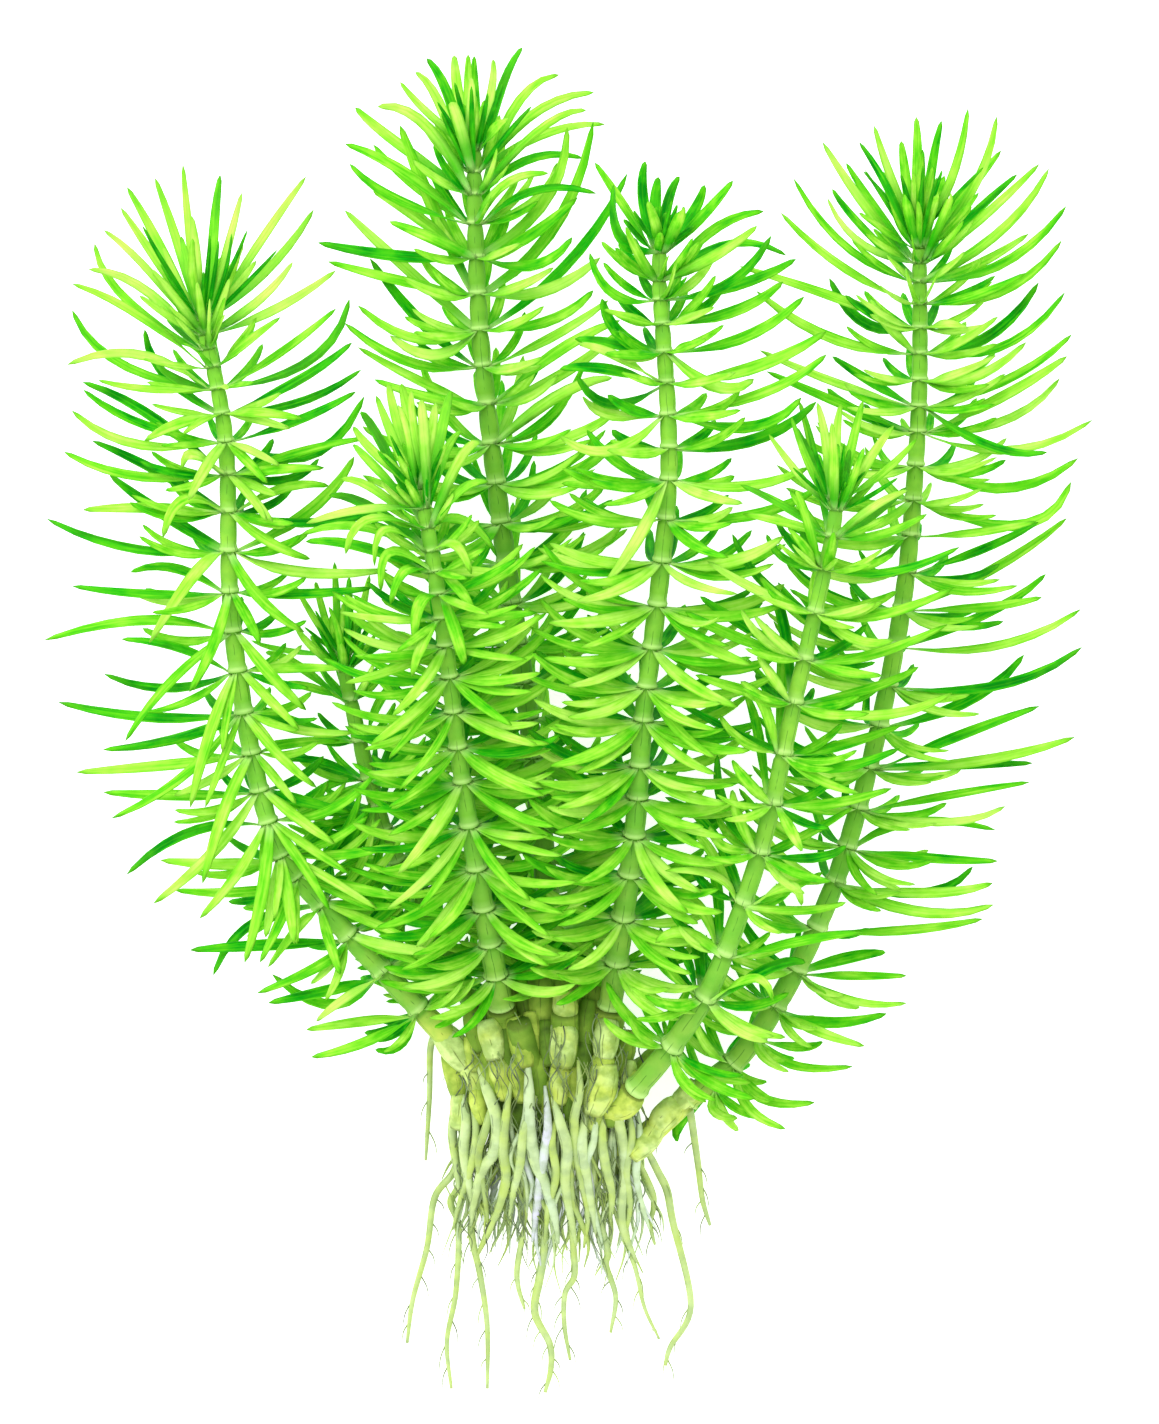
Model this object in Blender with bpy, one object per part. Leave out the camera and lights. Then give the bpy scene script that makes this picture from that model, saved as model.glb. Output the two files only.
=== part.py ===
"""An uprooted clump of Pogostemon deccanensis, a bog plant with narrow leaves in rings.

The clump lies on its back on a surface. Metres, +Z up. +Y runs from the roots to the stem tips
and +X to the right of somebody who looks down on it. The origin is the middle of the bounding
box, at the height of the surface.
"""

import math
import random

import bmesh
import bpy
import numpy as np
from mathutils import Vector

MM = 0.001

# Overall driving sizes, in millimetres
STEM_SIDES = 6
STEM_TIP_RADIUS = 1.15
STEM_FULL_RADIUS = 1.45
STEM_BASE_RADIUS = 1.85
STEM_THICKENS_OVER = 60.0
RING_BAND_HEIGHT = 0.55
BUD_LENGTH = 2.2
LEAF_HALF_WIDTH = 0.95
LEAF_THICKNESS = 0.42
LEAF_STEPS = 8
LEAF_MIDDLE_STEP = 4
FLOOR_CLEARANCE = 0.34
TIP_TOUCHES_UNDER = 0.6
NEARLY_UPRIGHT = 0.2
UPRIGHT_LEANS = 0.5
GAP = 0.3
DROPPED_UNDER = 0.8 * GAP
RING_TURN = math.radians(17.0)
STEM_SWELLS_FROM = 0.6
LEAF_STEEPEST = 78.0
FACES_TIP = 0.5
FACES_LIGHT = 0.9
BENT_OVER = 0.001
NO_AREA = 1e-14

# Leaves missing from the rings: half of those at the foot, and some of those behind the stem
BARE_BELOW_SHARE = 0.965
MISSING_SHARE = 0.5
FULL_RINGS_WITHIN = 8.0
SHED_MORE_BEYOND = 16.0

# How much single leaves differ from the habit: angles in degrees, and the range of their length
TURN_VARIES = 9.0
RISE_VARIES = 6.0
CURL_VARIES = 8.0
SWING_VARIES = 10.0
LENGTH_SHARES = (0.9, 1.06)

# The leaf habit along every stem: distance from the tip, rise of the side leaves above square to
# the stem, how far they curl up along their length, and the same two for leaves on the near side
HABIT = [
    (0.0, 75.0, 0.0, 77.0, 0.0),
    (1.5, 53.0, 6.0, 60.0, 0.0),
    (3.0, 40.0, 12.0, 44.0, 0.0),
    (6.0, 28.0, 22.0, 30.0, -10.0),
    (10.0, 17.0, 32.0, 12.0, -20.0),
    (16.0, 6.0, 40.0, -8.0, -30.0),
    (26.0, -4.0, 46.0, -28.0, -30.0),
    (40.0, -12.0, 50.0, -42.0, -28.0),
    (60.0, -14.0, 50.0, -48.0, -24.0),
    (100.0, -14.0, 50.0, -48.0, -20.0),
    (165.0, -12.0, 44.0, -45.0, -16.0),
]

# Each shoot: the route of its stem from the tip down, as x, y, height and the number of joints on
# to the next point; how far its near leaves hang down the stem; and leaf lengths as distance from
# the tip, length on the left and length on the right
SHOOTS = {
    "shoot_far_left": {
        "route": [
            (-56.2, 62.5, 26, 2),
            (-56.0, 59.8, 26, 5),
            (-52.9, 43.2, 26, 5),
            (-51.8, 13.8, 25, 5),
            (-46.3, -15.7, 22, 3),
            (-38.1, -28.5, 19, 4),
            (-17.4, -50.5, 13, 0),
        ],
        "hang": 1.0,
        "lengths": [
            (0, 22, 22), (6, 21, 21), (20, 22, 21), (36, 26, 20), (62, 27, 20), (82, 23, 18), (104, 18, 16),
            (130, 13, 11),
        ],
        "seed": 3,
    },
    "shoot_small_left": {
        "route": [
            (-34.6, 10.2, 15, 1),
            (-34.6, 7.9, 15, 3),
            (-30.8, -9.0, 13, 3),
            (-26.3, -21.9, 11, 4),
            (-14.2, -44.8, 6, 0),
        ],
        "hang": 0.5,
        "lengths": [(0, 12, 12), (10, 14, 13), (40, 14, 13), (60, 11, 10)],
        "seed": 11,
    },
    "shoot_mid_left": {
        "route": [
            (-22.7, 35.8, 36, 3),
            (-21.0, 26.2, 36, 4),
            (-18.8, 11.6, 35, 4),
            (-16.2, -9.5, 31, 3),
            (-12.9, -29.1, 25, 3),
            (-10.2, -44.5, 17, 0),
        ],
        "hang": 0.6,
        "lengths": [(0, 13, 13), (8, 15, 15), (25, 18, 17), (60, 19, 18), (85, 15, 14)],
        "seed": 5,
    },
    "shoot_tallest": {
        "route": [
            (-14.5, 88.5, 17, 1),
            (-14.5, 85.1, 17, 5),
            (-13.6, 60.6, 17, 5),
            (-10.3, 30.7, 17, 5),
            (-6.0, 0.3, 16, 4),
            (-3.6, -21.5, 14, 4),
            (-1.2, -43.7, 10, 0),
        ],
        "hang": 0.15,
        "lengths": [(0, 15, 16), (3, 19, 20), (25, 20, 20), (60, 21, 20), (130, 17, 17)],
        "seed": 7,
    },
    "shoot_centre_right": {
        "route": [
            (14.5, 73.6, 35, 2),
            (14.2, 68.0, 35, 7),
            (15.6, 37.2, 36, 6),
            (11.7, 0.0, 33, 3),
            (10.3, -17.8, 29, 4),
            (6.6, -44.5, 17, 0),
        ],
        "hang": 0.4,
        "lengths": [(0, 11, 11), (2, 13, 13), (5, 17, 18), (20, 18, 21), (60, 20, 20), (120, 16, 16)],
        "seed": 2,
    },
    "shoot_front_right": {
        "route": [
            (41.3, 34.1, 40, 2),
            (40.8, 28.4, 40, 4),
            (35.0, 2.8, 39, 3),
            (29.7, -20.3, 35, 3),
            (21.2, -42.9, 27, 2),
            (10.4, -57.3, 17, 0),
        ],
        "hang": 0.3,
        "lengths": [(0, 13, 13), (6, 16, 16), (20, 20, 20), (60, 20, 20), (95, 13, 13)],
        "seed": 17,
    },
    "shoot_far_right": {
        "route": [
            (54.6, 76.3, 18, 1),
            (54.6, 73.3, 18, 8),
            (54.3, 44.8, 18, 6),
            (50.9, 11.6, 18, 6),
            (41.5, -25.0, 16, 4),
            (29.2, -49.0, 12, 3),
            (18.6, -58.9, 10, 0),
        ],
        "hang": 0.2,
        "lengths": [
            (0, 17, 17), (3, 19, 21), (25, 21, 24), (45, 22, 27), (85, 22, 26), (110, 18, 19), (130, 14, 15),
            (160, 11, 13),
        ],
        "seed": 23,
    },
}

# Leaves that stand out at the edge of the clump: where each leaves its stem, its middle and its
# tip, in steps to the right of and down from the corner of the picture, and whether it grows at
# the side of its stem, in front of it or behind it
STEP = 0.155
MIDDLE_ACROSS = 567.5
MIDDLE_DOWN = 721.0
EDGE_LEAVES = {
    "shoot_far_left": [
        (200, 312, 190, 240, 183, 165, "behind"), (205, 312, 213, 240, 220, 175, "behind"),
        (198, 312, 178, 245, 155, 178, "behind"), (196, 314, 162, 250, 127, 187, "behind"),
        (194, 318, 158, 262, 122, 209, "side"), (192, 322, 150, 272, 106, 232, "side"),
        (210, 314, 228, 252, 243, 195, "front"), (203, 316, 198, 266, 193, 218, "front"),
        (213, 318, 228, 283, 241, 250, "front"), (215, 318, 262, 240, 306, 177, "side"),
        (216, 326, 268, 268, 313, 209, "behind"), (218, 334, 260, 302, 294, 264, "front"),
        (195, 332, 125, 298, 95, 244, "behind"), (196, 336, 145, 290, 89, 270, "side"),
        (200, 352, 138, 315, 74, 285, "side"), (222, 350, 275, 310, 336, 271, "side"),
        (212, 355, 245, 345, 281, 318, "front"), (205, 378, 120, 363, 72, 310, "behind"),
        (205, 375, 140, 355, 68, 365, "side"), (225, 372, 285, 350, 336, 309, "side"),
        (228, 378, 310, 360, 349, 299, "behind"), (212, 396, 150, 390, 100, 381, "front"),
        (230, 397, 300, 380, 352, 343, "side"), (232, 400, 300, 402, 361, 370, "behind"),
        (212, 400, 165, 375, 145, 330, "behind"), (215, 421, 180, 424, 145, 441, "front"),
        (215, 425, 140, 423, 84, 390, "behind"), (215, 440, 150, 415, 83, 382, "behind"),
        (215, 444, 135, 444, 73, 411, "side"), (232, 421, 300, 420, 356, 392, "side"),
        (235, 441, 310, 455, 364, 397, "behind"), (235, 446, 300, 452, 367, 438, "side"),
        (235, 445, 275, 470, 325, 468, "front"), (213, 446, 195, 455, 184, 470, "front"),
        (218, 470, 135, 476, 65, 452, "side"), (218, 470, 185, 500, 164, 538, "front"),
        (240, 472, 285, 488, 329, 486, "side"), (215, 502, 155, 470, 93, 441, "behind"),
        (215, 502, 150, 508, 84, 510, "side"), (220, 505, 195, 575, 150, 643, "front"),
        (240, 502, 310, 523, 390, 508, "side"), (240, 510, 270, 542, 311, 559, "front"),
        (238, 500, 285, 480, 319, 459, "behind"), (220, 548, 130, 548, 48, 519, "side"),
        (218, 552, 165, 515, 110, 475, "behind"), (240, 550, 300, 572, 388, 570, "side"),
        (240, 552, 310, 510, 354, 457, "behind"), (238, 552, 262, 600, 305, 632, "front"),
        (220, 590, 175, 568, 131, 572, "behind"), (222, 597, 150, 594, 73, 586, "side"),
        (225, 600, 214, 645, 190, 692, "front"), (242, 597, 300, 594, 372, 588, "side"),
        (222, 628, 145, 620, 45, 640, "side"), (225, 640, 170, 683, 126, 741, "front"),
        (228, 665, 180, 648, 122, 639, "side"), (228, 668, 210, 735, 191, 807, "front"),
        (243, 633, 270, 673, 307, 710, "front"), (245, 665, 290, 668, 345, 668, "side"),
        (228, 675, 170, 688, 105, 674, "behind"), (230, 707, 150, 717, 59, 702, "side"),
        (233, 712, 185, 775, 112, 818, "front"), (250, 712, 300, 730, 355, 732, "side"),
        (232, 715, 180, 738, 103, 750, "behind"), (248, 720, 280, 755, 317, 787, "front"),
        (235, 748, 225, 810, 203, 883, "front"), (235, 748, 165, 765, 77, 772, "side"),
        (258, 748, 290, 744, 340, 740, "side"), (240, 775, 180, 795, 104, 792, "side"),
        (250, 790, 215, 850, 154, 903, "front"), (262, 790, 300, 800, 350, 812, "side"),
        (255, 820, 190, 832, 127, 874, "side"), (258, 815, 240, 870, 200, 918, "front"),
        (265, 828, 262, 895, 245, 962, "front"), (280, 862, 230, 864, 161, 860, "side"),
        (283, 865, 283, 915, 260, 962, "front"), (300, 893, 240, 892, 175, 890, "side"),
        (310, 895, 300, 925, 268, 967, "front"), (312, 900, 250, 925, 213, 975, "behind"),
        (340, 925, 265, 945, 190, 950, "side"), (340, 928, 320, 965, 257, 993, "front"),
        (365, 962, 330, 990, 268, 1003, "side"), (365, 968, 345, 998, 316, 1021, "front"),
        (388, 1003, 330, 1005, 272, 975, "behind"), (390, 1005, 360, 1022, 306, 1030, "side"),
        (390, 1008, 365, 1042, 311, 1057, "front"), (430, 1035, 405, 1062, 380, 1084, "front"),
        (430, 1038, 400, 1045, 375, 1050, "side"),
    ],
    "shoot_small_left": [
        (347, 675, 340, 640, 329, 607, "front"), (345, 655, 349, 615, 349, 577, "front"),
        (340, 650, 336, 605, 334, 562, "behind"), (337, 655, 315, 620, 295, 586, "side"),
        (332, 675, 312, 647, 295, 625, "front"), (335, 645, 322, 610, 315, 582, "behind"),
        (347, 655, 360, 615, 369, 575, "behind"), (352, 657, 377, 645, 405, 632, "side"),
        (360, 677, 387, 670, 412, 652, "side"), (327, 677, 297, 665, 265, 652, "side"),
        (322, 655, 285, 650, 250, 640, "behind"), (340, 687, 310, 687, 280, 684, "side"),
        (350, 730, 307, 725, 255, 705, "side"), (357, 712, 380, 700, 405, 675, "side"),
        (350, 737, 322, 740, 270, 742, "side"), (365, 735, 400, 730, 440, 720, "side"),
        (352, 765, 322, 762, 287, 760, "side"), (365, 770, 335, 782, 285, 812, "side"),
        (372, 757, 410, 752, 440, 740, "side"),
    ],
    "shoot_mid_left": [
        (417, 472, 410, 440, 399, 407, "front"), (410, 470, 395, 442, 377, 397, "side"),
        (405, 470, 397, 422, 389, 385, "behind"), (415, 470, 410, 422, 402, 385, "behind"),
        (420, 467, 415, 430, 412, 392, "front"), (425, 467, 425, 435, 422, 402, "front"),
        (427, 470, 432, 435, 436, 405, "front"), (430, 465, 442, 430, 451, 392, "behind"),
        (430, 477, 445, 455, 462, 432, "side"), (435, 482, 460, 462, 480, 445, "front"),
        (432, 495, 460, 492, 489, 482, "front"), (400, 475, 375, 467, 355, 445, "side"),
        (400, 477, 377, 455, 354, 427, "behind"), (397, 470, 380, 440, 361, 414, "behind"),
        (407, 495, 375, 490, 341, 480, "side"), (410, 502, 365, 510, 308, 524, "side"),
        (405, 505, 370, 520, 347, 555, "front"), (402, 512, 387, 530, 376, 567, "front"),
        (415, 530, 392, 552, 382, 592, "front"), (422, 552, 405, 572, 391, 605, "front"),
        (420, 500, 420, 510, 423, 524, "front"), (427, 510, 429, 530, 427, 550, "front"),
        (435, 505, 462, 520, 495, 550, "side"), (440, 525, 455, 545, 472, 575, "front"),
        (437, 507, 470, 525, 497, 557, "behind"), (445, 575, 460, 590, 475, 612, "front"),
        (425, 575, 420, 605, 415, 642, "front"), (450, 605, 457, 635, 465, 665, "front"),
        (435, 622, 422, 647, 412, 677, "front"), (400, 507, 370, 507, 330, 496, "behind"),
        (405, 525, 362, 527, 302, 535, "side"), (420, 552, 362, 547, 307, 542, "side"),
        (440, 565, 475, 572, 515, 575, "side"),
    ],
    "shoot_tallest": [
        (478, 140, 471, 108, 471, 78, "front"), (470, 140, 458, 120, 450, 101, "front"),
        (482, 142, 495, 128, 508, 118, "front"), (478, 138, 475, 95, 474, 55, "behind"),
        (474, 138, 468, 95, 468, 54, "behind"), (470, 140, 458, 95, 454, 54, "behind"),
        (484, 140, 490, 95, 493, 58, "behind"), (468, 142, 450, 100, 427, 59, "side"),
        (466, 145, 442, 108, 415, 70, "side"), (465, 150, 430, 115, 400, 82, "side"),
        (488, 142, 500, 90, 522, 45, "side"), (490, 148, 515, 105, 559, 73, "side"),
        (492, 152, 535, 113, 594, 93, "side"), (495, 158, 540, 130, 586, 111, "front"),
        (492, 165, 545, 133, 605, 123, "side"), (462, 155, 425, 125, 378, 107, "side"),
        (460, 168, 395, 140, 355, 106, "behind"), (468, 175, 405, 172, 345, 143, "side"),
        (485, 180, 530, 158, 583, 157, "side"), (482, 203, 505, 185, 548, 174, "front"),
        (468, 206, 395, 198, 350, 164, "side"), (465, 225, 415, 185, 373, 143, "behind"),
        (485, 205, 535, 190, 596, 193, "side"), (485, 225, 535, 200, 557, 162, "behind"),
        (472, 235, 415, 215, 373, 190, "side"), (472, 240, 430, 238, 390, 222, "front"),
        (488, 240, 530, 235, 577, 197, "side"), (490, 260, 545, 200, 567, 127, "behind"),
        (475, 262, 395, 255, 318, 242, "side"), (465, 290, 430, 200, 400, 125, "behind"),
        (490, 268, 535, 265, 572, 237, "front"), (476, 295, 400, 280, 328, 261, "side"),
        (476, 298, 400, 262, 345, 210, "behind"), (495, 298, 555, 225, 593, 122, "behind"),
        (495, 300, 545, 290, 600, 257, "side"), (485, 332, 415, 338, 358, 305, "side"),
        (480, 335, 420, 320, 370, 258, "behind"), (495, 332, 550, 320, 593, 290, "side"),
        (498, 335, 570, 260, 627, 173, "behind"), (485, 368, 410, 362, 345, 323, "side"),
        (485, 370, 435, 355, 390, 335, "front"), (503, 368, 555, 335, 608, 300, "side"),
        (487, 400, 425, 383, 358, 347, "side"), (505, 372, 560, 350, 620, 320, "front"),
        (490, 407, 430, 398, 375, 380, "front"), (510, 407, 560, 375, 620, 330, "side"),
        (512, 410, 560, 395, 612, 378, "front"),
    ],
    "shoot_centre_right": [
        (657, 238, 643, 200, 645, 163, "behind"), (659, 236, 655, 207, 658, 179, "behind"),
        (662, 238, 667, 206, 679, 178, "behind"), (667, 242, 692, 215, 704, 187, "behind"),
        (668, 248, 703, 217, 732, 183, "side"), (665, 240, 677, 225, 683, 210, "front"),
        (670, 250, 697, 240, 718, 222, "front"), (652, 246, 622, 205, 595, 165, "side"),
        (650, 252, 620, 240, 613, 188, "front"), (670, 262, 712, 232, 763, 213, "side"),
        (672, 282, 715, 258, 756, 229, "front"), (670, 266, 728, 245, 786, 256, "behind"),
        (672, 285, 728, 285, 770, 238, "side"), (652, 310, 612, 295, 590, 255, "front"),
        (672, 305, 740, 285, 795, 260, "behind"), (672, 310, 735, 312, 782, 283, "side"),
        (672, 340, 745, 338, 803, 298, "side"), (650, 338, 620, 335, 602, 300, "behind"),
        (650, 340, 615, 345, 575, 340, "side"), (674, 367, 755, 368, 825, 333, "side"),
        (650, 367, 615, 357, 578, 345, "front"), (674, 372, 715, 388, 753, 380, "front"),
        (652, 396, 605, 370, 560, 370, "side"), (675, 396, 765, 393, 825, 356, "side"),
        (652, 400, 612, 405, 577, 377, "behind"), (675, 424, 750, 428, 800, 399, "side"),
        (655, 424, 610, 415, 583, 398, "behind"), (676, 428, 755, 440, 815, 403, "behind"),
        (655, 430, 610, 452, 560, 437, "front"), (676, 481, 745, 487, 808, 468, "side"),
        (655, 481, 605, 485, 562, 484, "side"), (680, 515, 755, 515, 818, 488, "side"),
        (655, 485, 640, 535, 605, 585, "front"),
    ],
    "shoot_front_right": [
        (828, 500, 815, 470, 795, 427, "behind"), (827, 510, 797, 475, 768, 436, "side"),
        (828, 505, 810, 470, 790, 418, "behind"), (830, 500, 815, 462, 799, 402, "behind"),
        (832, 498, 825, 450, 816, 405, "front"), (834, 498, 835, 450, 840, 405, "behind"),
        (836, 500, 850, 450, 862, 402, "behind"), (838, 500, 865, 465, 892, 427, "side"),
        (845, 508, 880, 475, 915, 440, "side"), (832, 500, 832, 470, 830, 425, "front"),
        (838, 505, 852, 478, 862, 450, "front"), (838, 510, 872, 508, 905, 492, "front"),
        (838, 537, 870, 517, 905, 488, "behind"), (840, 542, 880, 535, 925, 515, "side"),
        (830, 578, 870, 565, 902, 540, "behind"), (835, 580, 892, 572, 957, 548, "side"),
        (828, 612, 860, 607, 895, 592, "behind"), (825, 618, 880, 615, 952, 588, "side"),
        (822, 622, 855, 640, 892, 640, "front"), (817, 652, 840, 647, 865, 625, "behind"),
        (815, 657, 870, 655, 945, 625, "side"), (817, 660, 845, 672, 880, 675, "front"),
        (812, 695, 870, 688, 917, 667, "behind"), (807, 702, 880, 715, 950, 693, "side"),
        (824, 522, 785, 508, 740, 486, "side"), (822, 540, 790, 525, 742, 515, "side"),
        (825, 543, 805, 520, 795, 492, "front"), (827, 575, 805, 550, 787, 528, "front"),
        (822, 575, 785, 560, 766, 535, "side"), (812, 612, 762, 582, 732, 535, "behind"),
        (810, 617, 755, 590, 707, 562, "side"), (802, 645, 775, 640, 754, 617, "front"),
        (800, 652, 730, 635, 685, 612, "side"), (800, 650, 742, 625, 700, 597, "behind"),
        (797, 642, 782, 620, 766, 592, "behind"), (790, 700, 742, 690, 695, 675, "side"),
        (790, 697, 770, 675, 757, 657, "front"), (790, 687, 782, 670, 777, 655, "behind"),
        (787, 705, 762, 705, 740, 682, "front"), (797, 745, 840, 745, 900, 725, "behind"),
        (795, 752, 835, 767, 898, 748, "side"), (790, 762, 820, 780, 857, 792, "front"),
        (780, 810, 790, 830, 802, 850, "front"), (782, 805, 830, 803, 890, 788, "side"),
        (765, 850, 800, 837, 852, 807, "behind"), (767, 852, 815, 857, 845, 845, "side"),
        (767, 857, 795, 872, 830, 880, "front"), (775, 865, 787, 885, 800, 905, "front"),
        (752, 897, 785, 890, 822, 872, "behind"), (750, 905, 800, 910, 845, 902, "side"),
        (747, 915, 800, 940, 862, 931, "front"), (732, 947, 765, 952, 800, 937, "behind"),
        (735, 957, 770, 967, 805, 962, "side"), (730, 960, 752, 977, 772, 1000, "front"),
        (780, 750, 740, 735, 668, 697, "side"), (775, 745, 757, 730, 745, 695, "behind"),
        (770, 800, 745, 780, 732, 760, "front"), (755, 842, 737, 815, 732, 790, "front"),
        (755, 842, 725, 810, 717, 755, "behind"), (750, 855, 722, 845, 710, 825, "front"),
        (750, 856, 710, 850, 696, 837, "side"), (747, 855, 712, 832, 665, 797, "behind"),
        (750, 860, 715, 875, 665, 870, "side"), (735, 907, 700, 907, 670, 892, "side"),
        (735, 902, 717, 887, 705, 855, "behind"), (725, 920, 685, 932, 655, 942, "side"),
        (717, 947, 695, 940, 675, 927, "behind"), (715, 960, 685, 955, 667, 945, "side"),
    ],
    "shoot_far_right": [
        (918, 225, 918, 165, 917, 116, "behind"), (913, 226, 907, 180, 902, 140, "behind"),
        (923, 226, 932, 170, 942, 120, "behind"), (908, 228, 892, 180, 874, 126, "side"),
        (906, 232, 888, 190, 859, 143, "side"), (905, 236, 875, 205, 847, 162, "behind"),
        (928, 230, 953, 175, 968, 109, "side"), (932, 236, 975, 185, 997, 116, "side"),
        (930, 235, 965, 195, 1002, 149, "behind"), (912, 230, 908, 212, 905, 196, "front"),
        (925, 230, 932, 212, 938, 194, "front"), (930, 236, 945, 212, 950, 195, "front"),
        (928, 248, 975, 212, 1018, 173, "behind"), (930, 248, 985, 215, 1039, 164, "side"),
        (928, 255, 1000, 232, 1048, 170, "front"), (905, 250, 865, 205, 823, 142, "side"),
        (905, 255, 862, 225, 833, 188, "behind"), (905, 268, 845, 245, 794, 178, "side"),
        (905, 272, 860, 243, 827, 199, "front"), (928, 275, 1005, 262, 1066, 206, "side"),
        (928, 272, 975, 265, 1029, 233, "behind"), (905, 292, 840, 265, 781, 213, "side"),
        (928, 294, 1005, 290, 1062, 240, "side"), (925, 298, 970, 297, 1026, 273, "front"),
        (908, 316, 835, 297, 740, 266, "side"), (925, 317, 945, 324, 968, 327, "front"),
        (925, 362, 990, 335, 1039, 282, "behind"), (908, 340, 885, 322, 871, 300, "front"),
        (908, 342, 865, 322, 830, 278, "behind"), (928, 363, 1005, 345, 1065, 292, "side"),
        (928, 386, 975, 377, 1026, 342, "front"), (928, 388, 1010, 378, 1072, 334, "side"),
        (905, 363, 830, 337, 757, 291, "side"), (906, 388, 835, 382, 760, 350, "side"),
        (905, 388, 870, 380, 833, 356, "behind"), (928, 409, 1005, 395, 1067, 356, "side"),
        (905, 409, 840, 403, 767, 371, "side"), (928, 428, 1005, 420, 1060, 378, "behind"),
        (905, 432, 860, 412, 828, 388, "behind"), (928, 432, 1010, 450, 1092, 420, "side"),
        (928, 436, 990, 446, 1047, 452, "front"), (925, 470, 1005, 488, 1078, 458, "side"),
        (925, 506, 1020, 525, 1071, 482, "side"), (922, 520, 980, 532, 1036, 521, "front"),
        (918, 600, 1000, 565, 1067, 518, "behind"), (920, 575, 985, 548, 1038, 522, "side"),
        (912, 610, 985, 607, 1042, 597, "side"), (908, 640, 990, 612, 1046, 574, "behind"),
        (905, 646, 1000, 645, 1081, 609, "side"), (900, 683, 1000, 685, 1082, 647, "side"),
        (885, 722, 970, 700, 1024, 655, "behind"), (885, 755, 960, 735, 1039, 706, "front"),
        (880, 757, 985, 760, 1075, 737, "side"), (880, 764, 960, 765, 1033, 763, "behind"),
        (875, 797, 950, 795, 1030, 782, "side"), (872, 800, 945, 822, 1005, 806, "front"),
        (862, 840, 915, 822, 996, 830, "behind"), (860, 842, 930, 858, 998, 861, "side"),
        (845, 880, 930, 893, 993, 883, "side"), (845, 885, 920, 912, 993, 905, "front"),
        (850, 882, 925, 893, 973, 867, "behind"), (835, 921, 910, 930, 983, 919, "side"),
        (815, 962, 850, 958, 886, 953, "behind"), (815, 965, 855, 976, 907, 976, "side"),
        (812, 968, 850, 1000, 907, 1003, "front"), (782, 999, 830, 1023, 887, 1014, "side"),
        (780, 1003, 815, 1030, 865, 1046, "front"), (758, 1037, 800, 1048, 823, 1043, "behind"),
        (752, 1040, 795, 1066, 853, 1067, "side"), (725, 1065, 745, 1080, 767, 1083, "behind"),
        (722, 1072, 765, 1100, 815, 1103, "side"), (720, 1076, 748, 1107, 786, 1129, "front"),
        (697, 1095, 715, 1112, 738, 1119, "side"), (690, 1105, 682, 1122, 679, 1143, "behind"),
    ],
}

# How far down from its tip the leaves above take up the left and the right side of a stem
EDGE_REACH = {
    "shoot_far_left": (175.0, 75.0),
    "shoot_small_left": (15.0, 15.0),
    "shoot_mid_left": (17.0, 15.0),
    "shoot_tallest": (40.0, 40.0),
    "shoot_centre_right": (36.0, 45.0),
    "shoot_front_right": (78.0, 78.0),
    "shoot_far_right": (32.0, 175.0),
}

# The same leaves by where they grow: the angle of the face they want round the stem, on the left
# and on the right; how far they bow; and how far their tips are lifted, which varies. In the tuft
# at the tip of a stem they spread more
EDGE_ANGLES = {"side": (180.0, 0.0), "front": (128.0, 52.0), "behind": (232.0, -52.0)}
EDGE_BOW = {"side": 0.0, "front": 3.0, "behind": -3.0}
EDGE_LIFT = {"side": 0.0, "front": 2.5, "behind": -2.5}
EDGE_LIFT_VARIES = 1.5
TUFT_WITHIN = 12.0
TUFT_SPREAD = 0.28

# How each of them finds its face: joints near enough are tried, and the way from the joint, the
# turn from the wanted angle and a face that looks away from the leaf count against a face
JOINT_WITHIN = 12.0
AWAY_COUNTS_PER = 3.0
TURN_COUNTS_PER = math.radians(35.0)
LEAST_FACING = 0.1
FACING_COUNTS = 8.0
WORST_FACE = 4.5

# A leaf beside those at the edge is shorter, and none stands out to the side
SIDE_LEAF_OVER = 0.35
BESIDE_EDGE_SHARE = 0.75

# How near each leaf points to somebody who looks down: under the first number it grows behind the
# stem, and under the second it finds its place last. Over the third it parts to the left or right
# of the stem, by a turn at its foot and a swing along it. Such leaves stop hanging and then end
# towards the foot of the stem
BACK_LEAF_UNDER = -0.3
PLACED_LAST_UNDER = -0.4
ASIDE_FROM = 0.6
ASIDE_TURN = 18.0
ASIDE_SWING = 34.0
BARE_FRONT_OVER = 4.0
HANG_FADES_OVER = 26.0

# Swollen stem bases packed on the crown. Those that carry a shoot run straight on from its foot
# for a way, then to a point inside the crown; the spent ones carry nothing, and run from their
# top to that point. The last number is the radius
SHOOT_BASES = {
    "shoot_far_left": (3.0, (-8.5, -60.5, 10.0), 2.0),
    "shoot_small_left": (3.0, (-7.0, -58.0, 7.0), 1.9),
    "shoot_mid_left": (3.0, (-5.5, -59.5, 11.5), 2.2),
    "shoot_tallest": (3.0, (-2.0, -59.0, 9.0), 2.2),
    "shoot_centre_right": (3.0, (2.5, -59.5, 12.0), 2.2),
    "shoot_front_right": (3.0, (3.0, -61.0, 12.0), 2.1),
    "shoot_far_right": (11.0, (5.5, -63.0, 8.5), 1.8),
}
SPENT_BASES = [
    ((-7.6, -46.8, 20.5), (-4.4, -59.0, 13.0), 1.9),
    ((-0.4, -45.2, 19.8), (-0.8, -58.5, 14.0), 2.1),
    ((12.4, -53.6, 9.5), (3.0, -59.5, 8.5), 1.9),
]
BASE_SIDES = 5
BASE_SWELL = (0.95, 1.12, 0.9)
CROWN_SEGMENTS = 8
CROWN_RINGS = 5
CROWN_MIDDLE = (-2.0, -58.0, 8.2)
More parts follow.
